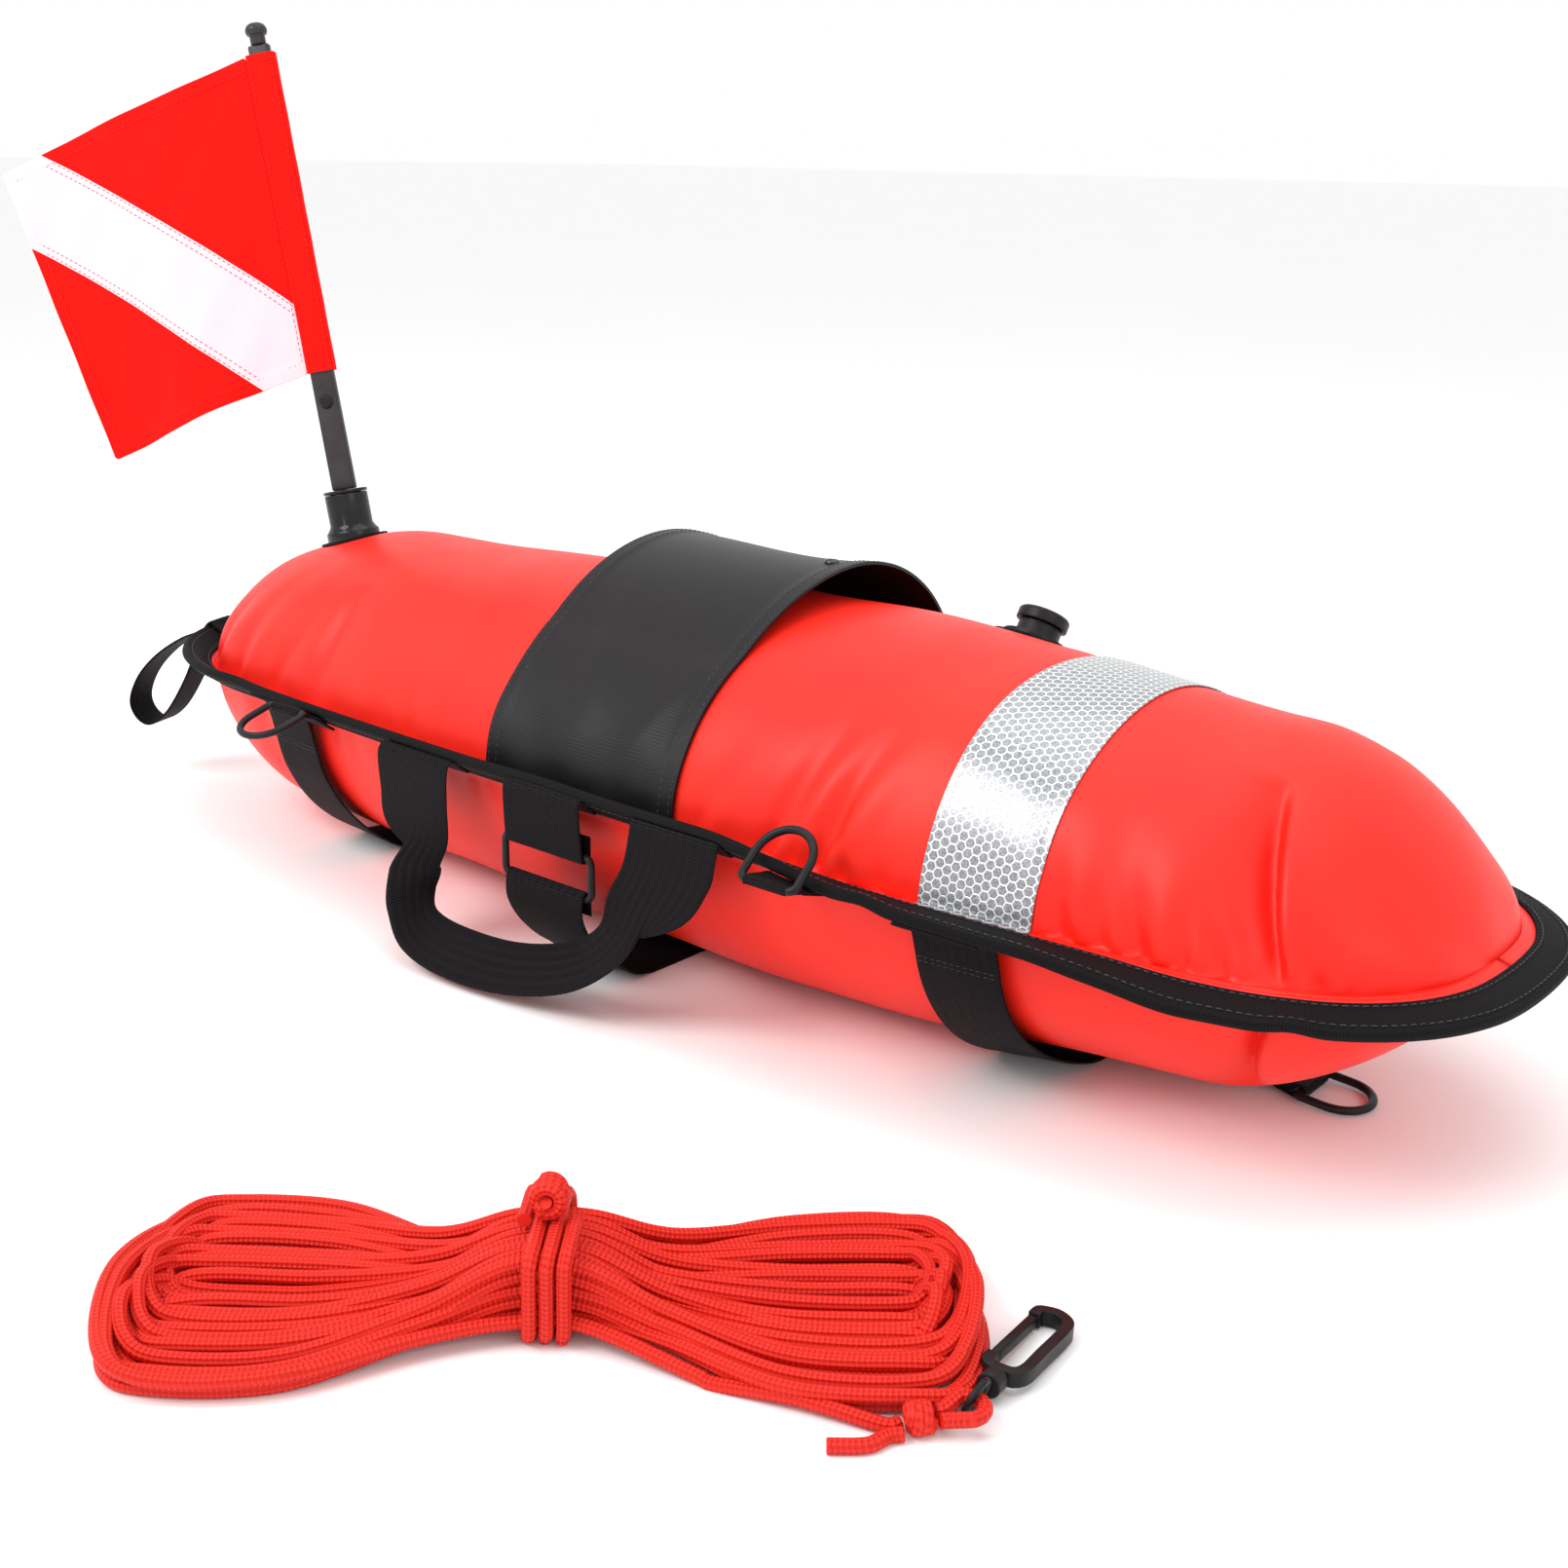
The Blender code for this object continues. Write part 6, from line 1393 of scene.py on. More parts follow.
def build_middle_strap():
    """The strap in two lengths, each rolled round a bar of the buckle, and the buckle."""
    inside = BUCKLE_WIRE + LAYER_GAP

    def upper(_, u):
        roll = round_bar((BUCKLE_Y, BUCKLE_TOP), inside, math.pi, 2 * math.pi)
        outside = sewn_points(u, -1, (FLANGE_WIDTH - STRAP_SEWN, FLANGE_WIDTH),
                              -(BINDING_OUTER + LAYER_GAP + WEBBING))
        return outside + roll + [(BUCKLE_Y + inside, BUCKLE_TOP + STRAP_RETURN)]

    def lower(x, u):
        roll = round_bar((BUCKLE_Y, BUCKLE_BOTTOM), inside, 0.0, math.pi)
        slack = [(BUCKLE_Y * side, SEAM_HEIGHT * rise + WEBBING) for side, rise in SLACK_SHARES]
        belly = belly_path(x, BUCKLE_BELLY_TURN, math.pi - BELLY_END_TURN, BUCKLE_BELLY_POINTS, 0.0)
        start = (BUCKLE_Y + inside, BUCKLE_BOTTOM - STRAP_RETURN)
        return [start] + roll + slack + belly + sewn_rows(u, 1)[::-1]

    for word, path, rows in (("upper", upper, BUCKLE_ROWS[0]), ("lower", lower, BUCKLE_ROWS[1])):
        grid = strap_grid(MIDDLE_STRAP_X, WIDE_WEB_WIDTH, path, rows)
        webbing("buckle_webbing_" + word, grid, -1, ("middle_strap_" + word,), floor=word == "lower")
    wide = WIDE_WEB_WIDTH / 2 + BUCKLE_SIDE_CLEARANCE + BUCKLE_WIRE - BUCKLE_CORNER
    top, bottom = BUCKLE_TOP - BUCKLE_CORNER, BUCKLE_BOTTOM + BUCKLE_CORNER
    outline = []
    for k, corner in enumerate(((wide, top), (-wide, top), (-wide, bottom), (wide, bottom))):
        for x, z in round_bar(corner, BUCKLE_CORNER, k * math.pi / 2, (k + 1) * math.pi / 2):
            outline.append((MIDDLE_STRAP_X + x, BUCKLE_Y, z))
    bar = tube("buckle_bar", outline, BUCKLE_WIRE, ring=True)
    settle(bar, "float", PLASTIC, "plastic", ("buckle_frame",))


# Handle, one length of webbing from foot to foot, folded along its middle for the grip

HANDLE_FOOT_LEFT_X = -0.1035
HANDLE_FOOT_RIGHT_X = 0.066
HANDLE_AXIS_Y = -0.1270
HANDLE_AXIS_Z = 0.0905
HANDLE_REACH = 0.020
HANDLE_ROWS = 150
HANDLE_RIM = 0.0006
FOLD_SHARE = 0.49
FOLD_SPREAD = 0.0009
FOLD_BEND = 0.08
# The handle's way: place along it, out from its hinge and up, then the three parts of its half width
HANDLE_ROUTE_SHARES = (
    (0.000, 0.00, 1.00, 1.00, 0.00, 0.00),
    (0.005, 0.05, 0.82, 0.98, 0.00, 0.00),
    (0.015, 0.12, 0.62, 0.90, 0.06, 0.00),
    (0.040, 0.30, 0.44, 0.40, 0.26, 0.04),
    (0.055, 0.55, 0.29, 0.14, 0.46, 0.12),
    (0.130, 0.85, 0.18, 0.02, 0.42, 0.26),
    (0.290, 1.00, 0.150, 0.00, 0.34, 0.36),
    (0.500, 0.88, 0.165, 0.00, 0.32, 0.36),
    (0.690, 0.62, 0.25, -0.16, 0.32, 0.34),
    (0.820, 0.42, 0.40, -0.42, 0.26, 0.26),
    (0.920, 0.18, 0.62, -0.90, 0.06, 0.12),
    (0.980, 0.05, 0.82, -0.99, 0.00, 0.02),
    (1.000, 0.00, 1.00, -1.00, 0.00, 0.00),
)
HANDLE_ACROSS = np.array([-1.0, -0.975, -0.93, -0.8, -0.6, -0.4, -0.2, -0.08, -0.03, 0.0,
                          0.03, 0.08, 0.2, 0.4, 0.6, 0.8, 0.93, 0.975, 1.0])
# Thickness towards a selvedge, as shares of the webbing's, from the outermost row on
HANDLE_SELVEDGE_SHARES = ((0.99, 0.25), (0.97, 0.42), (-1.0, 0.5))


def handle_foot(x, way):
    """Rows of an end of the handle that is sewn under the edge: place and half width."""
    lift = -(BINDING_OUTER + LAYER_GAP + WEBBING / 2)
    outs = (FLANGE_WIDTH - STRAP_SEWN, FLANGE_WIDTH - STRAP_SEWN / 2, FLANGE_WIDTH + HANDLE_RIM)
    return [(x, y, z, way * WIDE_WEB_WIDTH / 2, 0.0, 0.0)
            for y, z in sewn_points(float(station_of(x)), -1, outs, lift)]


def build_handle():
    """The handle: flat at both feet, twisted and folded in two for the grip, in one length."""
    span = HANDLE_FOOT_RIGHT_X - HANDLE_FOOT_LEFT_X
    half = WIDE_WEB_WIDTH / 2
    rows = handle_foot(HANDLE_FOOT_LEFT_X, 1.0)
    for along, out, up, wx, wy, wz in HANDLE_ROUTE_SHARES:
        rows.append((HANDLE_FOOT_LEFT_X + along * span, HANDLE_AXIS_Y - out * HANDLE_REACH,
                     HANDLE_AXIS_Z * up, wx * half, wy * half, wz * half))
    path = smooth_path(rows + handle_foot(HANDLE_FOOT_RIGHT_X, -1.0)[::-1], HANDLE_ROWS)
    centre, wide = path[:, :3], path[:, 3:]
    size = np.linalg.norm(wide, axis=1)
    wide = wide / size[:, None]
    stand = unit(np.cross(unit(np.gradient(centre, axis=0)), wide))
    fold = np.clip((1 - size / half) / (1 - FOLD_SHARE), 0, 1)[None, :, None]
    a = HANDLE_ACROSS[:, None, None]
    flat = a * (1 - fold) + (2 * np.abs(a) - 1) * 0.5 * fold
    apart = np.sign(a) * fold * FOLD_SPREAD * np.minimum(1.0, np.sqrt(np.abs(a) / FOLD_BEND))
    grid = centre[None] + wide[None] * half * flat + stand[None] * apart
    shares = np.select([np.abs(a) > edge for edge, _ in HANDLE_SELVEDGE_SHARES],
                       [share for _, share in HANDLE_SELVEDGE_SHARES])
    obj = centred_webbing("handle_webbing", grid, shares * WEBBING)
    settle(obj, None, RIBBED, "webbing", ("handle_foot_rear", "handle_foot_front", "handle_loop"))
    hinge = np.array([0.0, HANDLE_AXIS_Y, HANDLE_AXIS_Z])
    way = np.array([0.0, -0.8, -0.6])
    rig.blend(obj, "float", "handle", start=tuple(hinge - way * 0.003), end=tuple(hinge + way * 0.006))


# Rings and their tabs

RING_WIRE = 0.0018
RING_BAR = 0.0282
RING_DEPTH = 0.0265
REAR_RING_X = -0.196
FRONT_RING_X = 0.128
REAR_RING_TURN = math.radians(-17)
FRONT_RING_TURN = math.radians(138)
NOSE_RING_X = 0.297
NOSE_RING_Y = 0.016
NOSE_RING_TURN = math.radians(-3)
NOSE_TAB_LENGTH = 0.046
RING_CORNER = 0.0028
RING_BAR_STEPS, RING_CORNER_STEPS, RING_SIDE_STEPS, RING_BOW_STEPS = 9, 7, 5, 33
RING_SIDES = 18
TAB_ROLL_STEPS = 11
TAB_ROWS = 60


def joint_place(name):
    """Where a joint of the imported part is, and its axis."""
    for joint in frame["record"]["behaviour"]["joints"]:
        if joint["name"] == name:
            return np.array(joint["pos_m"], float), np.array(joint["axis"], float)
    raise ValueError(name)


def d_outline():
    """The D of a ring: a straight bar with tight corners and a round bow."""
    half, corner = RING_BAR / 2, RING_CORNER
    bow = RING_DEPTH - half
    points = [(x, 0.0) for x in np.linspace(corner - half, half - corner, RING_BAR_STEPS)]
    points += round_bar((half - corner, corner), corner, -math.pi / 2, 0.0, RING_CORNER_STEPS)[1:]
    points += [(half, y) for y in np.linspace(corner, bow, RING_SIDE_STEPS)[1:]]
    points += round_bar((0.0, bow), half, 0.0, math.pi, RING_BOW_STEPS)[1:]
    points += [(-half, y) for y in np.linspace(bow, corner, RING_SIDE_STEPS)[1:]]
    points += round_bar((corner - half, corner), corner, math.pi, 1.5 * math.pi, RING_CORNER_STEPS)[1:-1]
    return points


def build_ring(place, along, bow):
    """A D-ring at its joint, from the way of its bar and the way of its bow."""
    centre, _ = joint_place("ring_" + place + "_turn")
    along, bow = np.array(along, float), np.array(bow, float)
    points = [centre + along * a + bow * b for a, b in d_outline()]
    ring = tube("d_ring_" + place, points, RING_WIRE, sides=RING_SIDES, ring=True)
    settle(ring, "ring_" + place + "_body", PLASTIC, "plastic", ("ring_" + place,))


def build_side_tab(place, x, side):
    """The tab that holds a side ring: made on the near side, and mirrored for the far one."""
    lift = -(BINDING_OUTER + LAYER_GAP + WEBBING)
    centre, _ = joint_place("ring_" + place + "_turn")
    middle = (-abs(centre[1]), centre[2])
    inside = RING_WIRE + LAYER_GAP

    def legs(at, u):
        away = math.pi - float(flange_tilt(at))
        roll = round_bar(middle, inside, away - math.pi / 2, away + math.pi / 2, steps=TAB_ROLL_STEPS)
        upper = sewn_points(u, -1, (FLANGE_WIDTH - STRAP_SEWN, FLANGE_WIDTH, BINDING_EDGE), lift)
        lower = sewn_points(u, -1, (FLANGE_WIDTH, FLANGE_WIDTH - STRAP_SEWN / 2), lift - 2 * LAYER_GAP)
        return upper + roll + lower

    grid = strap_grid(x, RING_WEB_WIDTH, legs, TAB_ROWS)
    if side > 0:
        grid[..., 1] *= -1
    webbing("ring_webbing_" + place, grid, 1 if side < 0 else -1, ("ring_tab_" + place,))


def build_nose_tab():
    """The tab under the nose, rolled round the bar of its ring."""
    inside = RING_WIRE + LAYER_GAP
    height = inside + WEBBING
    starts = np.linspace(NOSE_RING_X - NOSE_TAB_LENGTH, NOSE_RING_X - RING_DEPTH, 5)

    def bottom(x):
        point, _ = on_skin(np.array([x]), np.array([math.pi / 2]), False)
        return float(point[0][2])

    upper = [(x, bottom(x) - LAYER_GAP) for x in starts]
    roll = round_bar((NOSE_RING_X, height), inside, math.pi / 2, -math.pi / 2, steps=TAB_ROLL_STEPS)
    lower = [(x, max(z - 2 * WEBBING - LAYER_GAP, WEBBING)) for x, z in upper[::-1]]
    upper = [(x, z - WEBBING) for x, z in upper]
    path = smooth_path(np.array(upper + roll + lower), TAB_ROWS)
    grid = np.array([[(x, NOSE_RING_Y + RING_WEB_WIDTH * share, z) for x, z in path] for share in ACROSS])
    webbing("ring_webbing_nose", grid, -1, ("ring_tab_nose",))


def build_rings():
    """Two rings on each side and one under the nose, each with its tab."""
    for side, word in ((-1, "near"), (1, "far")):
        for end, x in (("rear_", REAR_RING_X), ("front_", FRONT_RING_X)):
            build_side_tab(end + word, x, side)
        for end, turn in (("rear_", REAR_RING_TURN), ("front_", FRONT_RING_TURN)):
            build_ring(end + word, (1, 0, 0), (0, side * math.cos(turn), math.sin(turn)))
    build_nose_tab()
    build_ring("nose", (0, 1, 0), (math.cos(NOSE_RING_TURN), 0, math.sin(NOSE_RING_TURN)))


# Tail loop

LOOP_WEB_WIDTH = 0.020
LOOP_SEARCH = 9
LOOP_LENGTH = 0.055
LOOP_DROP = 0.060
LOOP_ROWS = 120
LOOP_HINGE_GAP = 0.0009
LOOP_FOOT_LENGTH = 0.012
LOOP_FOOT_CLEARANCE = 0.0006
LOOP_ROUTE_SHARES = ((0.27, 0.08), (0.62, 0.28), (0.88, 0.52), (1.00, 0.78), (0.92, 0.95), (0.74, 1.00),
                     (0.50, 0.84), (0.26, 0.50), (0.09, 0.18))
LOOP_LEAN = 0.0022
LOOP_LEAN_WAVES = 2.5
LOOP_SAMPLES = 400
LOOP_FOOT_STEPS, LOOP_FOOT_ROWS = 5, 24


def rim_near(target, out, lift):
    """The place in the near edge's tail end that is closest to a target in plan."""
    spots = edge_point(np.linspace(0, LOOP_SEARCH, LOOP_SAMPLES), -1, out, lift)
    return spots[np.argmin(np.hypot(spots[:, 0] - target[0], spots[:, 1] - target[1]))]


def build_tail_loop():
    """A teardrop of webbing at the tail's near corner, its ends sewn over and under the edge."""
    off = BINDING_OUTER + LOOP_FOOT_CLEARANCE
    half = LOOP_WEB_WIDTH / 2
    half_thick = (WEBBING / 2 * SELVEDGE)[:, None, None]
    hinge, along = joint_place("tail_loop_swing")
    level = np.array([-along[1], along[0], 0.0])
    corner = rim_near(hinge, BINDING_EDGE, 0.0)
    drop = UP * (WEBBING + 2 * LAYER_GAP)
    outs = np.linspace(FLANGE_WIDTH - LOOP_FOOT_LENGTH, BINDING_EDGE, LOOP_FOOT_STEPS)
    for name, sign, end in (("near", 1, hinge), ("middle", -1, hinge - drop)):
        grid = []
        for share in 2 * ACROSS:
            aside = along * half * share
            path = [rim_near(corner + aside, out, sign * (off + WEBBING / 2)) for out in outs]
            grid.append(smooth_path(np.array(path + [end - level * LOOP_HINGE_GAP + aside]), LOOP_FOOT_ROWS))
        foot = centred_webbing("tail_foot_" + name, np.array(grid), half_thick)
        settle(foot, "float", RIBBED, "webbing", ("tail_loop_foot_" + name,))
    middle = hinge - drop / 2
    route = [middle + level * LOOP_LENGTH * out - UP * LOOP_DROP * down for out, down in LOOP_ROUTE_SHARES]
    path = smooth_path([hinge] + route + [hinge - drop], LOOP_ROWS)
    share = np.linspace(0, 1, LOOP_ROWS)
    lean = LOOP_LEAN * np.sin(math.pi * share) * np.sin(LOOP_LEAN_WAVES * math.pi * share)
    grid = np.array([path + along * lean[:, None] + along * half * across for across in 2 * ACROSS])
    settle(centred_webbing("tail_webbing", grid, half_thick), "tail_handle", RIBBED, "webbing",
           ("tail_loop",))


build_belly_straps()
build_middle_strap()
build_handle()
build_rings()
build_tail_loop()


# Round fittings on the upper panel

PATCH_CLOTH = 0.0008
PATCH_LIFT = 0.0004
POLE_INSET = 0.067
POLE_X = POLE_INSET - BODY_LENGTH / 2
PATCH_RADIUS = 0.019
SOCKET_BASE_RADIUS = 0.015
SOCKET_BASE = 0.004
SOCKET_SKIRT = 0.0030
SOCKET_RADIUS = 0.0122
SOCKET_HEIGHT = 0.024
SOCKET_BORE = 0.0088
SOCKET_FLOOR = 0.003
PLUG_LIP_RADIUS = 0.0125
PLUG_LIP = 0.0018
SPIGOT_RADIUS = 0.0042
SPIGOT_LENGTH = 0.014
VALVE_X = 0.118
VALVE_TURN = math.radians(128)
VALVE_PATCH_RADIUS = 0.021
VALVE_BASE_RADIUS = 0.016
VALVE_BASE = 0.0022
VALVE_RADIUS = 0.0105
VALVE_HEIGHT = 0.009
VALVE_BORE = 0.0070
VALVE_CAP_RADIUS = 0.0125
VALVE_CAP_HEIGHT = 0.006
VALVE_STEM_RADIUS = 0.0062
VALVE_STEM = 0.005
VALVE_AXIS = (0.0372, 0.5244, 0.8507)
PATCH_STEP = 0.05
PATCH_RINGS, PATCH_SPOKES = 16, 72
PATCH_RIM_SHARE = 0.96
PATCH_EDGE_SHARE = 0.45
CAP_ROUND_SHARES = (0.8, 0.9)


def panel_patch(name, x, turn, radius, node):
    """A round of welded cloth that follows the panel."""
    low, high = (on_skin(np.array([x]), np.array([turn + step]), True)[0]
                 for step in (-PATCH_STEP, PATCH_STEP))
    reach = float(np.linalg.norm(high - low)) / (2 * PATCH_STEP)
    rounds = np.append(np.linspace(0.0, PATCH_RIM_SHARE, PATCH_RINGS), 1.0) * radius
    a, r = np.meshgrid(full_turn(PATCH_SPOKES), rounds, indexing="ij")
    under, normal = on_skin(x + r * np.cos(a), turn + r * np.sin(a) / reach, True, PATCH_LIFT)
    thick = PATCH_CLOTH * np.append(np.ones(PATCH_RINGS), PATCH_EDGE_SHARE)
    over = under + normal * thick[None, :, None]
    uv = np.stack([r * np.cos(a), r * np.sin(a)], -1)
    settle(shell(name, under, over, uv, ring=True), "float", BINDING, "webbing", (node,))


def low_end(node, axis):
    """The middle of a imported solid's flat lower end."""
    solid = bpy.data.objects[node]
    spots = np.array([tuple(solid.matrix_world @ vertex.co) for vertex in solid.data.vertices])
    reach = spots @ axis
    return spots[reach < reach.min() + LAYER_GAP / 10].mean(0)


def build_valve():
    """The inflation valve: its patch, its seat on the far side of the back, and its cap."""
    axis = np.array(VALVE_AXIS)
    axis /= np.linalg.norm(axis)
    top = low_end("valve_cap", axis) + axis * VALVE_STEM
    base = top - axis * (VALVE_HEIGHT + LAYER_GAP)
    panel_patch("valve_ground", VALVE_X, VALVE_TURN, VALVE_PATCH_RADIUS, "valve_patch")
    lathe("valve_seat", [
        (0.0, 0.0), (VALVE_BASE_RADIUS, 0.0), (VALVE_BASE_RADIUS, VALVE_BASE), (VALVE_RADIUS, VALVE_BASE),
        (VALVE_RADIUS, VALVE_HEIGHT), (VALVE_BORE, VALVE_HEIGHT), (VALVE_BORE, VALVE_BASE), (0.0, VALVE_BASE),
    ], base, axis, PLASTIC, "plastic", "float", ("valve_body",))
    lathe("valve_lid", [
        (0.0, -VALVE_STEM), (VALVE_STEM_RADIUS, -VALVE_STEM), (VALVE_STEM_RADIUS, 0.0),
        (VALVE_CAP_RADIUS, 0.0),
        (VALVE_CAP_RADIUS, VALVE_CAP_HEIGHT * CAP_ROUND_SHARES[0]),
        (VALVE_CAP_RADIUS * CAP_ROUND_SHARES[1], VALVE_CAP_HEIGHT), (0.0, VALVE_CAP_HEIGHT),
    ], top, axis, PLASTIC, "plastic", "cap", ("valve_cap",))


# Flagpole and flag

POLE_LEAN = math.radians(13.2)
POLE_WIDTH = 0.0138
POLE_TOP_WIDTH = 0.0118
POLE_THICKNESS = 0.0052
POLE_LENGTH = 0.246
PIN_HEIGHT = 0.050
PIN_RADIUS = 0.0032
PIN_HEAD_RADIUS = 0.0042
PIN_HEAD = 0.0012
KNOB_RADIUS = 0.0060
KNOB_NECK_RADIUS = 0.0042
KNOB_NECK = 0.005
KNOB_HEIGHT = 0.0065
FLAG_AZIMUTH = math.radians(-146.9)
HOIST_BOTTOM = 0.067
HOIST = POLE_LENGTH - HOIST_BOTTOM - 0.005
FLY = 0.165
FLY_BOTTOM = 0.137
FLAG_DROOP = math.radians(23)
FLAG_WAVES = 1.5
FLAG_FOLD_TOP = 0.004
FLAG_FOLD_BOTTOM = 0.016
FLAG_CLOTH = 0.00055
FLAG_HEM = 0.008
STRIPE_LAP = 0.004
SLEEVE_CLEARANCE = 0.0006
SLEEVE_CLOTH = 0.0008
STRIPE_UPPER_SHARES = ((0.0, 0.20), (0.855, 1.0))
STRIPE_LOWER_SHARES = ((0.17, 0.0), (1.0, 0.772))
FLAG_COLUMNS, FLAG_ROWS = 90, 34
FLAG_RIPPLE = 0.0007
FLAG_RIPPLE_FLY, FLAG_RIPPLE_HOIST, FLAG_RIPPLE_FADE = 21, (9, 13, 2), 4
HEM_STEP = 0.0008
SLEEVE_TURNS, SLEEVE_ROWS = 56, 60
SLEEVE_WRINKLE = 0.014
SLEEVE_WRINKLE_PITCH = 190
SLEEVE_MAP_RADIUS = 0.007
SLEEVE_SEAM_SHARE = 0.86
SEAM_SAMPLES = 160
HEM_SEAM_SHARE = 0.85
HEM_TOP_SHARE = 1.55
STRIPE_SEAM_INSET = 0.0015
SEAM_MARGIN = 0.01
HOIST_SEAM = 0.012
CUP_ROUND_SHARES = (0.6, 0.35, 1.6)
CUP_ROUNDING = 0.0006
BAR_ROUNDING = 0.0011
PIN_ROUNDING = 0.0003
HEAD_ROUND_SHARE = 0.7
KNOB_LIP_SHARE = 0.9
DOME_FULLNESS = 0.7
DOME_START_SHARE = 0.3
DOME_STEPS = 9
DOME_MARGIN = 0.02


def pole_frame():
    """The way up the pole, out along the flag and square to the flag."""
    axis = np.array([-math.sin(POLE_LEAN), 0.0, math.cos(POLE_LEAN)])
    out = np.array([math.cos(FLAG_AZIMUTH), math.sin(FLAG_AZIMUTH), 0.0])
    out = out - axis * np.dot(out, axis)
    out /= np.linalg.norm(out)
    return axis, out, np.cross(axis, out)


def plate(name, outline, depth, bevel, material, slot, body, nodes):
    """A flat piece: its outline is filled, drawn out by a depth and rounded along its edges."""
    obj = start_circle(name, len(outline), "NGON")
    for vertex, place in zip(obj.data.vertices, outline):
        vertex.co = Vector([float(v) for v in place])
    obj.matrix_world = Matrix()
    bpy.ops.object.mode_set(mode="EDIT")
    bpy.ops.mesh.select_all(action="SELECT")
    bpy.ops.mesh.extrude_region_move(TRANSFORM_OT_translate={"value": tuple(float(v) for v in depth)})
    bpy.ops.mesh.select_all(action="SELECT")
    bpy.ops.mesh.normals_make_consistent(inside=False)
    bpy.ops.object.mode_set(mode="OBJECT")
    round_edges(obj, bevel)
    return settle(obj, body, material, slot, nodes)


def build_cup(start, axis, lip):
    """The cup on the tail with its patch, and the plug that seats in it."""
    plug = start - axis * (lip + PLUG_LIP + LAYER_GAP)
    base = plug - axis * (SOCKET_FLOOR + LAYER_GAP)
    panel_patch("socket_ground", POLE_X, math.pi / 2, PATCH_RADIUS, "socket_patch")
    edge, slope, neck = (SOCKET_BASE * share for share in CUP_ROUND_SHARES)
    lathe("pole_cup", [
        (0.0, -SOCKET_SKIRT), (SOCKET_BASE_RADIUS, -SOCKET_SKIRT), (SOCKET_BASE_RADIUS, edge),
        (SOCKET_RADIUS + slope, SOCKET_BASE), (SOCKET_RADIUS, neck), (SOCKET_RADIUS, SOCKET_HEIGHT),
        (SOCKET_BORE, SOCKET_HEIGHT), (SOCKET_BORE, SOCKET_FLOOR), (0.0, SOCKET_FLOOR),
    ], base, axis, GLOSSY, "plastic", "float", ("pole_socket",), rounding=CUP_ROUNDING)
    bore = SPIGOT_RADIUS + LAYER_GAP
    bore_floor = lip + PLUG_LIP - SPIGOT_LENGTH - LAYER_GAP
    lathe("cup_plug", [
        (0.0, 0.0), (SOCKET_BORE - LAYER_GAP, 0.0), (SOCKET_BORE - LAYER_GAP, lip), (PLUG_LIP_RADIUS, lip),
        (PLUG_LIP_RADIUS, lip + PLUG_LIP), (bore, lip + PLUG_LIP), (bore, bore_floor), (0.0, bore_floor),
    ], plug, axis, GLOSSY, "plastic", "plug", ("pole_plug",))


def build_bar(start, axis, out, side):
    """The flat bar of the pole, with its pin and its knob."""
    low, high = POLE_WIDTH / 2, POLE_TOP_WIDTH / 2
    corners = [start + axis * h + out * w - side * POLE_THICKNESS / 2
               for h, w in ((0.0, low), (POLE_LENGTH, high), (POLE_LENGTH, -high), (0.0, -low))]
    plate("flag_bar", corners, side * POLE_THICKNESS, BAR_ROUNDING, BAR_GREY, "plastic", "pole",
          ("pole_bar",))
    reach = POLE_THICKNESS / 2 + LAYER_GAP
    crown = PIN_HEAD_RADIUS * HEAD_ROUND_SHARE
    lathe("bar_pin", [
        (0.0, -reach - PIN_HEAD), (crown, -reach - PIN_HEAD), (PIN_HEAD_RADIUS, -reach), (PIN_RADIUS, -reach),
        (PIN_RADIUS, reach), (PIN_HEAD_RADIUS, reach), (crown, reach + PIN_HEAD), (0.0, reach + PIN_HEAD),
    ], start + axis * PIN_HEIGHT, side, PLASTIC, "plastic", "pole", ("pole_pin",), sides=32,
          rounding=PIN_ROUNDING)
    dome = []
    for a in np.linspace(0.0, math.pi / 2 - DOME_MARGIN, DOME_STEPS):
        rise = DOME_START_SHARE + (1 - DOME_START_SHARE) * math.sin(a)
        dome.append((KNOB_RADIUS * math.cos(a) ** DOME_FULLNESS, KNOB_NECK + KNOB_HEIGHT * rise))
    foot = [(0.0, 0.0), (KNOB_NECK_RADIUS, 0.0), (KNOB_NECK_RADIUS, KNOB_NECK),
            (KNOB_RADIUS * KNOB_LIP_SHARE, KNOB_NECK)]
    profile = foot + dome + [(0.0, KNOB_NECK + KNOB_HEIGHT)]
    lathe("bar_knob", profile, start + axis * (POLE_LENGTH + LAYER_GAP), axis, BAR_GREY, "plastic", "pole",
          ("pole_knob",), sides=40)


def build_pole():
    """Cup, plug, bar and flag, from the place of the pole's joint up."""
    start, _ = joint_place("pole_turn")
    axis, out, side = pole_frame()
    build_cup(start, axis, SOCKET_HEIGHT - SOCKET_FLOOR)
    build_bar(start, axis, out, side)
    build_flag(start, axis, out, side)


def chain_points(points, share):
    """Places at shares of the way along a chain of points."""
    points = np.asarray(points, float)
    places = np.linspace(0, 1, len(points))
    return np.stack([np.interp(share, places, points[:, c]) for c in range(2)], -1)


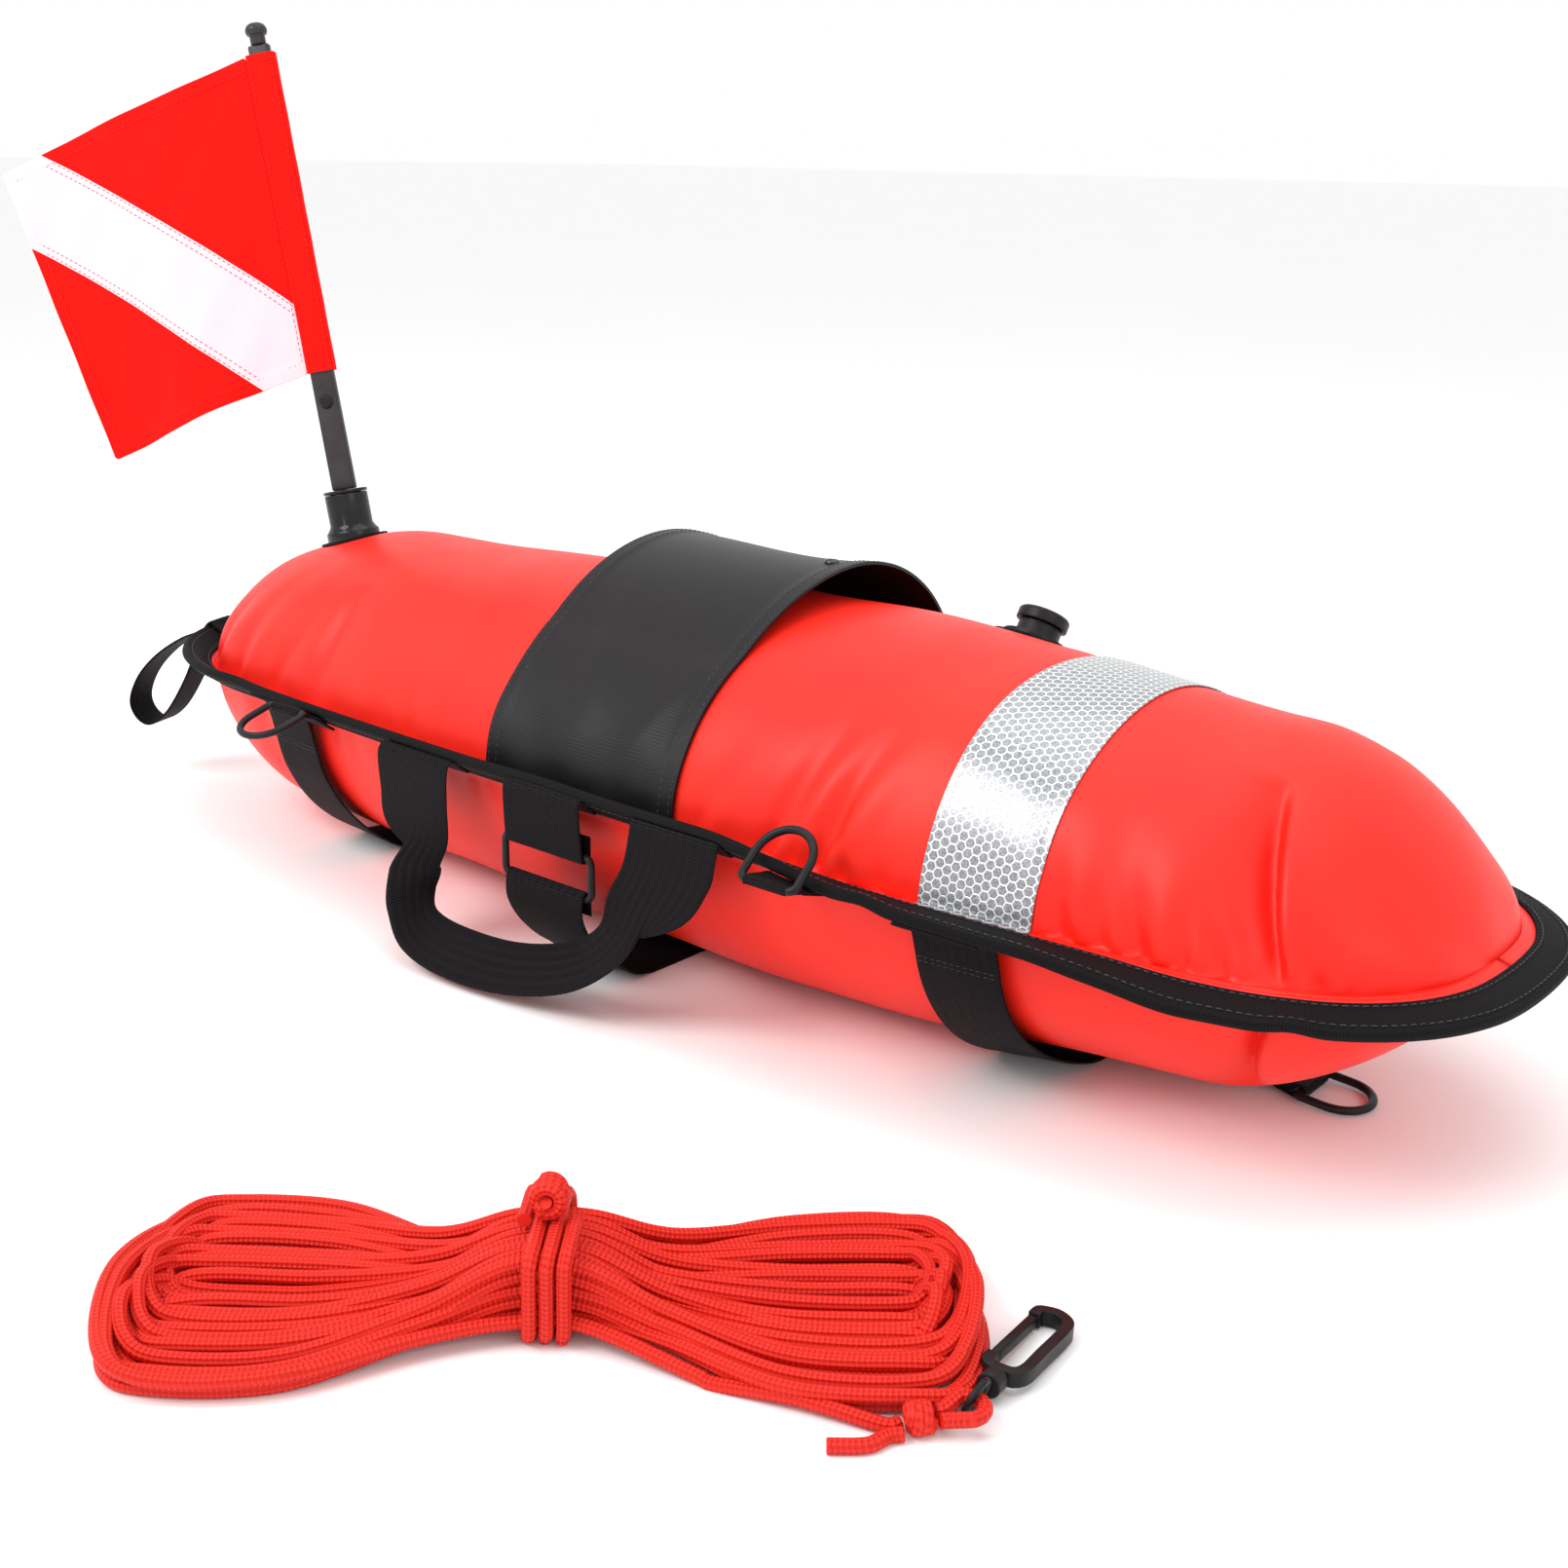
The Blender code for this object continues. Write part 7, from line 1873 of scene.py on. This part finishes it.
def build_sleeve(start, axis, out, side, inner):
    """The sleeve of the flag, squarish round the bar, and slightly wrinkled."""
    turns = full_turn(SLEEVE_TURNS)
    ca, sa = (np.sign(v) * np.sqrt(np.abs(v)) for v in (np.cos(turns), np.sin(turns)))
    heights = HOIST_BOTTOM + HOIST * np.linspace(0, 1, SLEEVE_ROWS)
    wrinkle = SLEEVE_WRINKLE * np.sin(heights * SLEEVE_WRINKLE_PITCH)[None] * np.sin(2 * turns)[:, None]
    grids = []
    for more in (0.0, SLEEVE_CLOTH):
        ring = out * ((inner[0] + more) * ca)[:, None] + side * ((inner[1] + more) * sa)[:, None]
        grids.append(start + axis * heights[None, :, None] + ring[:, None] * (1 + wrinkle[..., None]))
    uv = np.stack(np.meshgrid(turns * SLEEVE_MAP_RADIUS, heights, indexing="ij"), -1)
    sleeve = shell("flag_pocket", grids[0], grids[1], uv, ring=True)
    return settle(sleeve, "pole", FLAG_RED, "flag_red", ("flag_sleeve",)), heights


def flag_cloth(name, chains, lift, spot, side):
    """One cloth of the flag between chains of (fly, hoist) places, thicker where it is hemmed."""
    a, b = np.meshgrid(np.linspace(0, 1, FLAG_COLUMNS), np.linspace(0, len(chains) - 1, FLAG_ROWS),
                       indexing="ij")
    k = np.minimum(b.astype(int), len(chains) - 2)
    rows = np.stack([chain_points(chain, a) for chain in chains])
    low = np.take_along_axis(rows, k[None, ..., None], 0)[0]
    high = np.take_along_axis(rows, (k + 1)[None, ..., None], 0)[0]
    shares = low + (high - low) * (b - k)[..., None]
    fly, hoist = shares[..., 0], shares[..., 1]
    rim = np.minimum(np.minimum((1 - fly) * FLY, (1 - hoist) * HOIST), hoist * HOIST)
    thick = FLAG_CLOTH * (1 + np.clip((FLAG_HEM - rim) / HEM_STEP, 0, 1))
    grid = spot(fly, hoist, lift)
    half = side * (thick / 2)[..., None]
    uv = np.stack([fly * FLY, hoist * HOIST], -1)
    return shell(name, grid - half, grid + half, uv, smooth=SHARP_ROUND)


def flag_seams(spot, side, lap):
    """Lines of stitches along the hems, both edges of the stripe and the sleeve."""
    upper, lower = STRIPE_UPPER_SHARES, STRIPE_LOWER_SHARES
    hem, inset = FLAG_HEM * HEM_SEAM_SHARE, STRIPE_SEAM_INSET / FLY
    ends = [((SEAM_MARGIN, 1 - hem / HOIST), (1.0, 1 - hem / HOIST)),
            ((SEAM_MARGIN, hem / HOIST), (1.0, hem / HOIST)),
            ((1 - hem / FLY, SEAM_MARGIN), (1 - hem / FLY, 1 - SEAM_MARGIN))]
    for shift in (inset, 4 * inset):
        ends.append(((lower[0][0] + lap - shift, 0.0), (1.0, lower[1][1] - lap + shift)))
        ends.append(((0.0, upper[0][1] + lap - shift), (upper[1][0] - lap + shift, 1.0)))
    ends.append(((HOIST_SEAM, 0.0), (HOIST_SEAM, 1.0)))
    share = np.linspace(0, 1, SEAM_SAMPLES)
    across = np.tile(side, (len(share), 1))
    lines = []
    for first, last in ends:
        fly = first[0] + (last[0] - first[0]) * share
        hoist = first[1] + (last[1] - first[1]) * share
        lines.append((spot(fly, hoist, FLAG_CLOTH * HEM_TOP_SHARE), across))
    return lines


def build_flag(start, axis, out, side):
    """The sleeve on the bar, two red cloths, and a white stripe sewn over them."""
    inner = POLE_WIDTH / 2 + SLEEVE_CLEARANCE, POLE_THICKNESS / 2 + SLEEVE_CLEARANCE
    seam = inner[0] + SLEEVE_CLOTH + LAYER_GAP
    level = np.array([math.cos(FLAG_AZIMUTH), math.sin(FLAG_AZIMUTH), 0.0])
    along = level * math.cos(FLAG_DROOP) - UP * math.sin(FLAG_DROOP)

    def spot(fly, hoist, lift):
        """A place on the waving flag, from its shares along the fly and up the hoist."""
        fly, hoist = np.asarray(fly, float), np.asarray(hoist, float)
        reach = FLY_BOTTOM + (FLY - FLY_BOTTOM) * hoist
        fold = FLAG_FOLD_TOP + (FLAG_FOLD_BOTTOM - FLAG_FOLD_TOP) * (1 - hoist)
        wave_at = np.sin(FLAG_WAVES * math.pi * fly) * np.minimum(2 * fly, 1.0) * fold
        turn, more_turn, shift = FLAG_RIPPLE_HOIST
        ripple = FLAG_RIPPLE * np.sin(FLAG_RIPPLE_FLY * fly + turn * hoist)
        ripple = ripple * np.sin(more_turn * hoist + shift) * np.minimum(FLAG_RIPPLE_FADE * fly, 1.0)
        place = start + axis * (HOIST_BOTTOM + HOIST * hoist)[..., None] + out * seam
        return place + along * (reach * fly)[..., None] + side * (wave_at + ripple + lift)[..., None]

    sleeve, heights = build_sleeve(start, axis, out, side, inner)
    upper, lower = STRIPE_UPPER_SHARES, STRIPE_LOWER_SHARES
    lap = STRIPE_LAP / FLY
    wide = (((lower[0][0] + lap, 0.0), (1.0, lower[1][1] - lap)), ((0.0, 0.0), (1.0, 1.0)),
            ((0.0, upper[0][1] + lap), (upper[1][0] - lap, 1.0)))
    upper_red = ((0.0, upper[0][1]), (upper[1][0], 1.0))
    lower_red = ((lower[0][0], 0.0), (1.0, lower[1][1]))
    pieces = (
        ("stripe_cloth", FLAG_WHITE, "flag_white", wide, "flag_stripe_white", FLAG_CLOTH, (FLY, HOIST), 0.36),
        ("upper_cloth", FLAG_RED, "flag_red", (upper_red, (upper_red[0], (0.0, 1.0), upper_red[1])),
         "flag_red_upper", 0.0, (FLY * upper[1][0], HOIST * (1 - upper[0][1])), 0.5),
        ("lower_cloth", FLAG_RED, "flag_red", (lower_red, (lower_red[0], (1.0, 0.0), lower_red[1])),
         "flag_red_lower", 0.0, (FLY_BOTTOM * (1 - lower[0][0]), HOIST * lower[1][1]), 0.5),
    )
    made = []
    for name, material, slot, chains, node, lift, flat, part in pieces:
        cloth_piece = flag_cloth(name, chains, lift, spot, side)
        made.append((settle(cloth_piece, "pole", material, slot, (node,)), flat, part))
    threads = stitches("flag_stitches", flag_seams(spot, side, lap), FLAG_THREAD)
    thread = settle(threads, "pole", THREAD_RED, "flag_red")
    seams = []
    for way in (SLEEVE_SEAM_SHARE, -SLEEVE_SEAM_SHARE):
        points = start + axis * heights[:, None] + out * (inner[0] * way) + side * (inner[1] + SLEEVE_CLOTH)
        seams.append((points, np.tile(side, (len(points), 1))))
    more = settle(stitches("pocket_stitches", seams, FLAG_THREAD), "pole", THREAD_RED, "flag_red")
    for k, (cloth_piece, flat, part) in enumerate(made):
        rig.sheet(cloth_piece, flat=flat, held="hung", rests_on=("flag_pocket",),
                 area=flat[0] * flat[1] * part, with_pieces=(sleeve, thread, more) if k == 0 else ())


# Hank of line, its tie, knots and hook

ROPE = 0.005
HANK_X = 0.1795
HANK_Y = -0.306
HANK_HEADING = math.radians(39.8)
HANK_LOOPS = 20
HANK_SEED = 11
HANK_POINTS = 4600
HANK_REACH = 0.1470
HANK_SPREAD = 0.0530
HANK_STATIONS = (0.116, 0.078, 0.040, 0.012)
LOBE_BOW = (1.0, 0.93, 0.72, 0.60)
LANE_INNER = 0.06
LOBE_LAYER = 0.0045
END_LAYER = 0.0044
END_LAYERS = 4
WAIST_LAYERS = 5
WAIST_PITCH = 0.0046
WAIST_LOW = 0.0083
WAIST_LAYER = 0.0045
NEAR_STEP, FAR_STEP = 7, 13
FIRST_NEAR, FIRST_FAR = 3, 5
LOOSE = 0.0019
LOOSE_RISE_SHARE = 0.4
LOOSE_END_SHARE = 2.2
LOBE_OPENING = 0.8
LOBE_DESCENT = 1.5
END_ROUNDING = 0.020
TURN_SHOULDER_SHARES = (0.70, 0.80)
LAST_STRAND_ROWS = 5
HANK_EXIT = (0.052, 0.040)
ROPE_SIDES, KNOT_SIDES = 12, 16
LINE_LENGTH = 12.2
TIE_TURNS = 3
TIE_PITCH = 0.0056
TIE_CLEARANCE = 0.0006
TIE_KNOT_RADIUS = 0.0065
TIE_KNOT_LENGTH = 0.014
KNOT_RADIUS = 0.0055
KNOT_LENGTH = 0.011
KNOT_WRAPS = 3
KNOT_POINTS = 110
KNOT_END_SHARE = 0.9
KNOT_TUCK_TURN = 1.2
KNOT_TUCK_SHARE = 0.25
STRETCH_POINTS = 60
TIE_POINTS = 300
KNOT_ALONG = 0.119
KNOT_ACROSS = 0.0625
KNOT_HEADING = math.radians(52)
TAIL_END_ALONG = 0.0907
TAIL_END_ACROSS = 0.0728
HANK_AHEAD = np.array([math.cos(HANK_HEADING), math.sin(HANK_HEADING), 0.0])
HANK_NEAR = np.array([math.sin(HANK_HEADING), -math.cos(HANK_HEADING), 0.0])


def hank_place(ahead, near, height):
    """A place by the hank: along it, towards the camera and up."""
    return np.array([HANK_X, HANK_Y, height]) + HANK_AHEAD * ahead + HANK_NEAR * near


def hank_strand(rank, way, sign, rng, outside=False):
    """One strand from lobe to lobe: two layers at its ends, stacked in columns at the waist."""
    lane = LANE_INNER + (1 - LANE_INNER) * rank / (HANK_LOOPS - 1)
    column, level = divmod(rank, WAIST_LAYERS)
    column, level = (column + 1, WAIST_LAYERS - 1) if outside else (column, level)
    waist = ((column + 0.5) * WAIST_PITCH, WAIST_LOW + (WAIST_LAYERS - 1 - level) * WAIST_LAYER)
    rows = []
    for end in (-1, 1):
        jitter = rng.normal(0.0, LOOSE, 2)
        half = []
        for place, bow in zip(HANK_STATIONS, LOBE_BOW):
            t = (place - HANK_STATIONS[-1]) / (HANK_STATIONS[1] - HANK_STATIONS[-1])
            t = min(t, 1.0) ** LOBE_OPENING
            near = waist[0] * (1 - t) + (lane * HANK_SPREAD * bow + jitter[0]) * t
            lobe = ROPE / 2 + (rank % 2) * LOBE_LAYER + abs(jitter[1]) * LOOSE_RISE_SHARE
            rise = waist[1] * (1 - t) ** LOBE_DESCENT + lobe * (1 - (1 - t) ** LOBE_DESCENT)
            half.append((place * end * way, near * sign, rise))
        rows += half if end < 0 else half[::-1]
    return rows


def hank_turn(first, last, end, rise, rng):
    """The bend at an end of the hank, from one strand's end to the next one's start."""
    middle, half = (first[1] + last[1]) / 2, (first[1] - last[1]) / 2
    reach = HANK_REACH - END_ROUNDING * (1 - abs(half) / HANK_SPREAD)
    reach = reach - abs(rng.normal(0.0, LOOSE * LOOSE_END_SHARE))
    start = HANK_STATIONS[0]
    out, across = TURN_SHOULDER_SHARES
    side = start + (reach - start) * out
    return [(side * end, middle + half * across, (first[2] + rise) / 2), (reach * end, middle, rise),
            (side * end, middle - half * across, (last[2] + rise) / 2)]


def hank_path():
    """Loose turns drawn together at the waist: near strands run one way, far strands back."""
    rng = np.random.default_rng(HANK_SEED)
    strands = []
    for k in range(HANK_LOOPS):
        strands.append(hank_strand((NEAR_STEP * k + FIRST_NEAR) % HANK_LOOPS, 1, 1, rng))
        strands.append(hank_strand((FAR_STEP * k + FIRST_FAR) % HANK_LOOPS, -1, -1, rng))
    strands.append(hank_strand(HANK_LOOPS - 1, 1, 1, rng, outside=True)[:LAST_STRAND_ROWS])
    rows = [(-HANK_REACH, strands[0][0][1] + ROPE, ROPE / 2)]
    for k, (strand, following) in enumerate(zip(strands, strands[1:] + [None])):
        rows += strand
        if following:
            rise = ROPE / 2 + (k // 2 % END_LAYERS) * END_LAYER
            rows += hank_turn(strand[-1], following[0], 1 if k % 2 == 0 else -1, rise, rng)
    rows.append((*HANK_EXIT, ROPE / 2))
    path = smooth_path(rows, HANK_POINTS)
    path[:, 2] = np.maximum(path[:, 2], ROPE / 2)
    return np.array([hank_place(*row) for row in path])


def rope_piece(name, points, nodes, sides=14):
    """A length of the line on the float, or one that lies beside it."""
    return settle(tube(name, points, ROPE / 2, sides=sides), "float", ROPE_RED, "rope", nodes)


def tie_path(hank):
    """The rope wound round the hank's waist, from its top, and the height that it reaches."""
    flat = hank - np.array([HANK_X, HANK_Y, 0.0])
    waist = flat[np.abs(flat @ HANK_AHEAD) < TIE_TURNS * TIE_PITCH / 2]
    low, high = float(waist[:, 2].min()), float(waist[:, 2].max())
    wide = float(np.abs(waist @ HANK_NEAR).max()) - ROPE / 2
    off = ROPE + TIE_CLEARANCE
    turn = []
    for k, (near, height) in enumerate(((wide, high), (-wide, high), (-wide, low), (wide, low))):
        turn += round_bar((near, height), off, k * math.pi / 2, (k + 1) * math.pi / 2, steps=4)
        if k == 0:
            turn.append((0.0, high + off))
    turn = turn[4:] + turn[:4]
    points = []
    whole = TIE_TURNS * len(turn)
    for k in range(whole + 1):
        near, height = turn[k % len(turn)]
        points.append(hank_place((k / whole - 0.5) * TIE_TURNS * TIE_PITCH, near, height))
    return points, high + off


def knot(name, centre, axis, radius, length, node):
    """Rope wrapped round itself in close turns, with its ends tucked in."""
    aside = np.cross(axis, UP)
    aside /= np.linalg.norm(aside)
    over = np.cross(aside, axis)
    reach = radius - ROPE / 2
    turns = np.linspace(0, KNOT_WRAPS * 2 * math.pi, KNOT_POINTS)
    run = np.linspace(-0.5, 0.5, len(turns)) * (length - ROPE * KNOT_END_SHARE)
    tuck = np.clip(np.minimum(turns, turns[-1] - turns) / KNOT_TUCK_TURN, KNOT_TUCK_SHARE, 1.0)
    rim = aside * np.cos(turns)[:, None] + over * np.sin(turns)[:, None]
    points = centre + axis * run[:, None] + rim * (reach * tuck)[:, None]
    return rope_piece(name, points, (node,), KNOT_SIDES)


def build_hank():
    """The line from free end to knot, the tie round its waist, and the loop that holds the hook."""
    hank = hank_path()
    axis = np.array([math.cos(KNOT_HEADING), math.sin(KNOT_HEADING), 0.0])
    aside = np.array([math.sin(KNOT_HEADING), -math.cos(KNOT_HEADING), 0.0])
    centre = hank_place(KNOT_ALONG, KNOT_ACROSS, KNOT_RADIUS)
    back = centre - axis * (KNOT_LENGTH / 2 + LAYER_GAP)
    beside = ROPE / 2 + LAYER_GAP
    down = np.array([0.0, 0.0, KNOT_RADIUS - ROPE / 2])
    into = back - aside * beside - down
    middle = (hank[-1] + into) / 2 + HANK_NEAR * ROPE / 3 + UP * ROPE / 3
    way = (hank[-1] - hank[-2]) / np.linalg.norm(hank[-1] - hank[-2])
    stretch = smooth_path([hank[-1], hank[-1] + way * ROPE, middle, into - axis * ROPE, into], STRETCH_POINTS)
    route = np.concatenate([hank, stretch[1:]])[::-1]
    rope = rope_piece("long_line", route, ("hank_rope", "line_stretch"), ROPE_SIDES)
    wound, top = tie_path(hank)
    tie = rope_piece("waist_tie", smooth_path(wound, TIE_POINTS), ("hank_tie",))
    tied = knot("waist_knot", hank_place(0.0, 0.0, top + ROPE / 2 + LAYER_GAP + TIE_KNOT_RADIUS), HANK_NEAR,
                TIE_KNOT_RADIUS, TIE_KNOT_LENGTH, "tie_knot")
    end_knot = knot("hook_knot", centre, axis, KNOT_RADIUS, KNOT_LENGTH, "line_knot")
    out = back + aside * beside - down
    end = hank_place(TAIL_END_ALONG, TAIL_END_ACROSS, ROPE / 2)
    loose = smooth_path([out, out - axis * ROPE, (out + end) / 2 + aside * ROPE / 2, end], STRETCH_POINTS)
    tail = rope_piece("knot_tail", loose, ("line_tail",))
    loop = build_hook(centre, axis, aside)
    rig.cord(rope, exit=tuple(route[0]), length=LINE_LENGTH, diameter=ROPE, far_end="bare", stiffness="medium",
            lay="coiled", path=[tuple(p) for p in route], with_pieces=(tie, tied, end_knot, tail, loop))


# Swivel and snap hook

HOOK_HEADING = math.radians(97)
HOOK_LENGTH = 0.046
HOOK_WIDTH = 0.017
HOOK_BAR = 0.0040
HOOK_DEPTH = 0.0052
HOOK_PITCH = math.radians(3.5)
HOOK_STEPS = 90
HOOK_ROUTE_SHARES = ((0.20, 0.36), (0.13, 0.36), (0.065, 0.26), (0.045, 0.0), (0.065, -0.26), (0.16, -0.38),
                     (0.40, -0.38), (0.74, -0.38), (0.88, -0.30), (0.95, 0.0), (0.93, 0.31), (0.90, 0.36),
                     (0.83, 0.36))
GATE_CLEARANCE = 0.0008
SWIVEL_RADIUS = 0.0042
SWIVEL_LENGTH = 0.0060
SWIVEL_STEM_RADIUS = 0.0022
EYE_RADIUS = 0.0058
EYE_WIRE = 0.0013
EYE_TILT = math.radians(20)
EYE_HEIGHT = 0.0072
EYE_PULL = 0.0014
LOOP_ROPE_RADIUS = 0.0060
LOOP_ROPE_STEPS, LOOP_ROPE_POINTS = 11, 90
EYE_STEPS = 48
FRAME_ROUNDING, GATE_ROUNDING = 0.0009, 0.0006
GATE_WIDTH_SHARE, GATE_DEPTH_SHARE = 0.8, 0.8
GATE_STEPS = 13


def shifted(route, off):
    """A flat route moved aside."""
    way = unit(np.gradient(route, axis=0))
    return route + np.stack([-way[:, 1], way[:, 0]], 1) * off


def build_loop(knot_centre, axis, aside):
    """The rope's loop in front of its knot, and the crook that the swivel's eye hangs in."""
    front = knot_centre + axis * (KNOT_LENGTH / 2 + LAYER_GAP)
    crook = front + axis * (LOOP_ROPE_RADIUS + ROPE / 2) + UP * (EYE_HEIGHT - KNOT_RADIUS)
    leg = ROPE / 2 + LAYER_GAP
    straight = axis * ROPE / 2
    points = [front + aside * leg, front + aside * leg + straight]
    for a in np.linspace(0.0, math.pi, LOOP_ROPE_STEPS):
        points.append(crook + (aside * math.cos(a) + axis * math.sin(a)) * LOOP_ROPE_RADIUS)
    points += [front - aside * leg + straight, front - aside * leg]
    return rope_piece("hook_loop", smooth_path(points, LOOP_ROPE_POINTS), ("line_loop",)), crook


def build_swivel(crook, ahead, left, over):
    """The swivel's eye and barrel, and the hook's stem in it; the stem's front end is returned."""
    eye = crook + ahead * (EYE_RADIUS + EYE_PULL)
    upward = over * math.cos(EYE_TILT) - left * math.sin(EYE_TILT)
    ring = [eye + (ahead * math.cos(a) + upward * math.sin(a)) * EYE_RADIUS
            for a in full_turn(EYE_STEPS)]
    settle(tube("eye_ring", ring, EYE_WIRE, ring=True), "float", PLASTIC, "plastic", ("swivel_eye",))
    base = eye + ahead * (EYE_RADIUS + EYE_WIRE + LAYER_GAP)
    bore = SWIVEL_STEM_RADIUS + LAYER_GAP
    lathe("eye_barrel", [
        (0.0, 0.0), (SWIVEL_RADIUS, 0.0), (SWIVEL_RADIUS, SWIVEL_LENGTH), (bore, SWIVEL_LENGTH),
        (bore, SWIVEL_LENGTH / 4), (0.0, SWIVEL_LENGTH / 4),
    ], base, ahead, PLASTIC, "plastic", "float", ("swivel_barrel",), sides=40)
    stem_start = base + ahead * (SWIVEL_LENGTH / 4 + LAYER_GAP)
    stem = SWIVEL_LENGTH * 3 / 4 + LAYER_GAP
    lathe("snap_stem", [(0.0, 0.0), (SWIVEL_STEM_RADIUS, 0.0), (SWIVEL_STEM_RADIUS, stem), (0.0, stem)],
          stem_start, ahead, PLASTIC, "plastic", "hook", ("hook_stem",), sides=32)
    return stem_start + ahead * (stem + LAYER_GAP)


def build_hook(knot_centre, axis, aside):
    """The loop, the swivel and the snap hook with its gate; the loop is returned."""
    loop, crook = build_loop(knot_centre, axis, aside)
    level = math.cos(HOOK_PITCH)
    ahead = np.array([math.cos(HOOK_HEADING) * level, math.sin(HOOK_HEADING) * level, -math.sin(HOOK_PITCH)])
    left = np.array([-math.sin(HOOK_HEADING), math.cos(HOOK_HEADING), 0.0])
    over = np.cross(ahead, left)
    foot = build_swivel(crook, ahead, left, over)
    corners = [(a * HOOK_LENGTH, b * HOOK_WIDTH, 0.0) for a, b in HOOK_ROUTE_SHARES]
    route = smooth_path(corners, HOOK_STEPS)[:, :2]
    inner, outer = shifted(route, HOOK_BAR / 2), shifted(route, -HOOK_BAR / 2)
    nearest = min(inner[:, 0].min(), outer[:, 0].min())

    def flat(path, depth):
        """Places of a flat outline on the hook's lower face."""
        return [foot + ahead * (a - nearest) + left * b - over * depth / 2 for a, b in path]

    outline = np.concatenate([inner, outer[::-1]])
    plate("snap_frame", flat(outline, HOOK_DEPTH), over * HOOK_DEPTH, FRAME_ROUNDING, PLASTIC, "plastic",
          "hook", ("hook_frame",))
    mouth_low, mouth_high = route[0], route[-1]
    half = HOOK_BAR * GATE_WIDTH_SHARE / 2
    pivot = (mouth_low[0] + GATE_CLEARANCE + half, mouth_low[1])
    tip = mouth_high[0] - GATE_CLEARANCE
    outline = round_bar(pivot, half, math.pi / 2, 3 * math.pi / 2, GATE_STEPS)
    outline += [(tip, pivot[1] - half), (tip, pivot[1] + half)]
    depth = HOOK_DEPTH * GATE_DEPTH_SHARE
    plate("snap_gate", flat(outline, depth), over * depth, GATE_ROUNDING, PLASTIC, "plastic", "gate",
          ("hook_gate",))
    return loop


build_valve()
build_pole()
build_hank()

LOW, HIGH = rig.bounds()
json.dump({"cad": [list(corner) for corner in CAD_BOX], "visual": [list(LOW), list(HIGH)]},
          open("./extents.json", "w"))
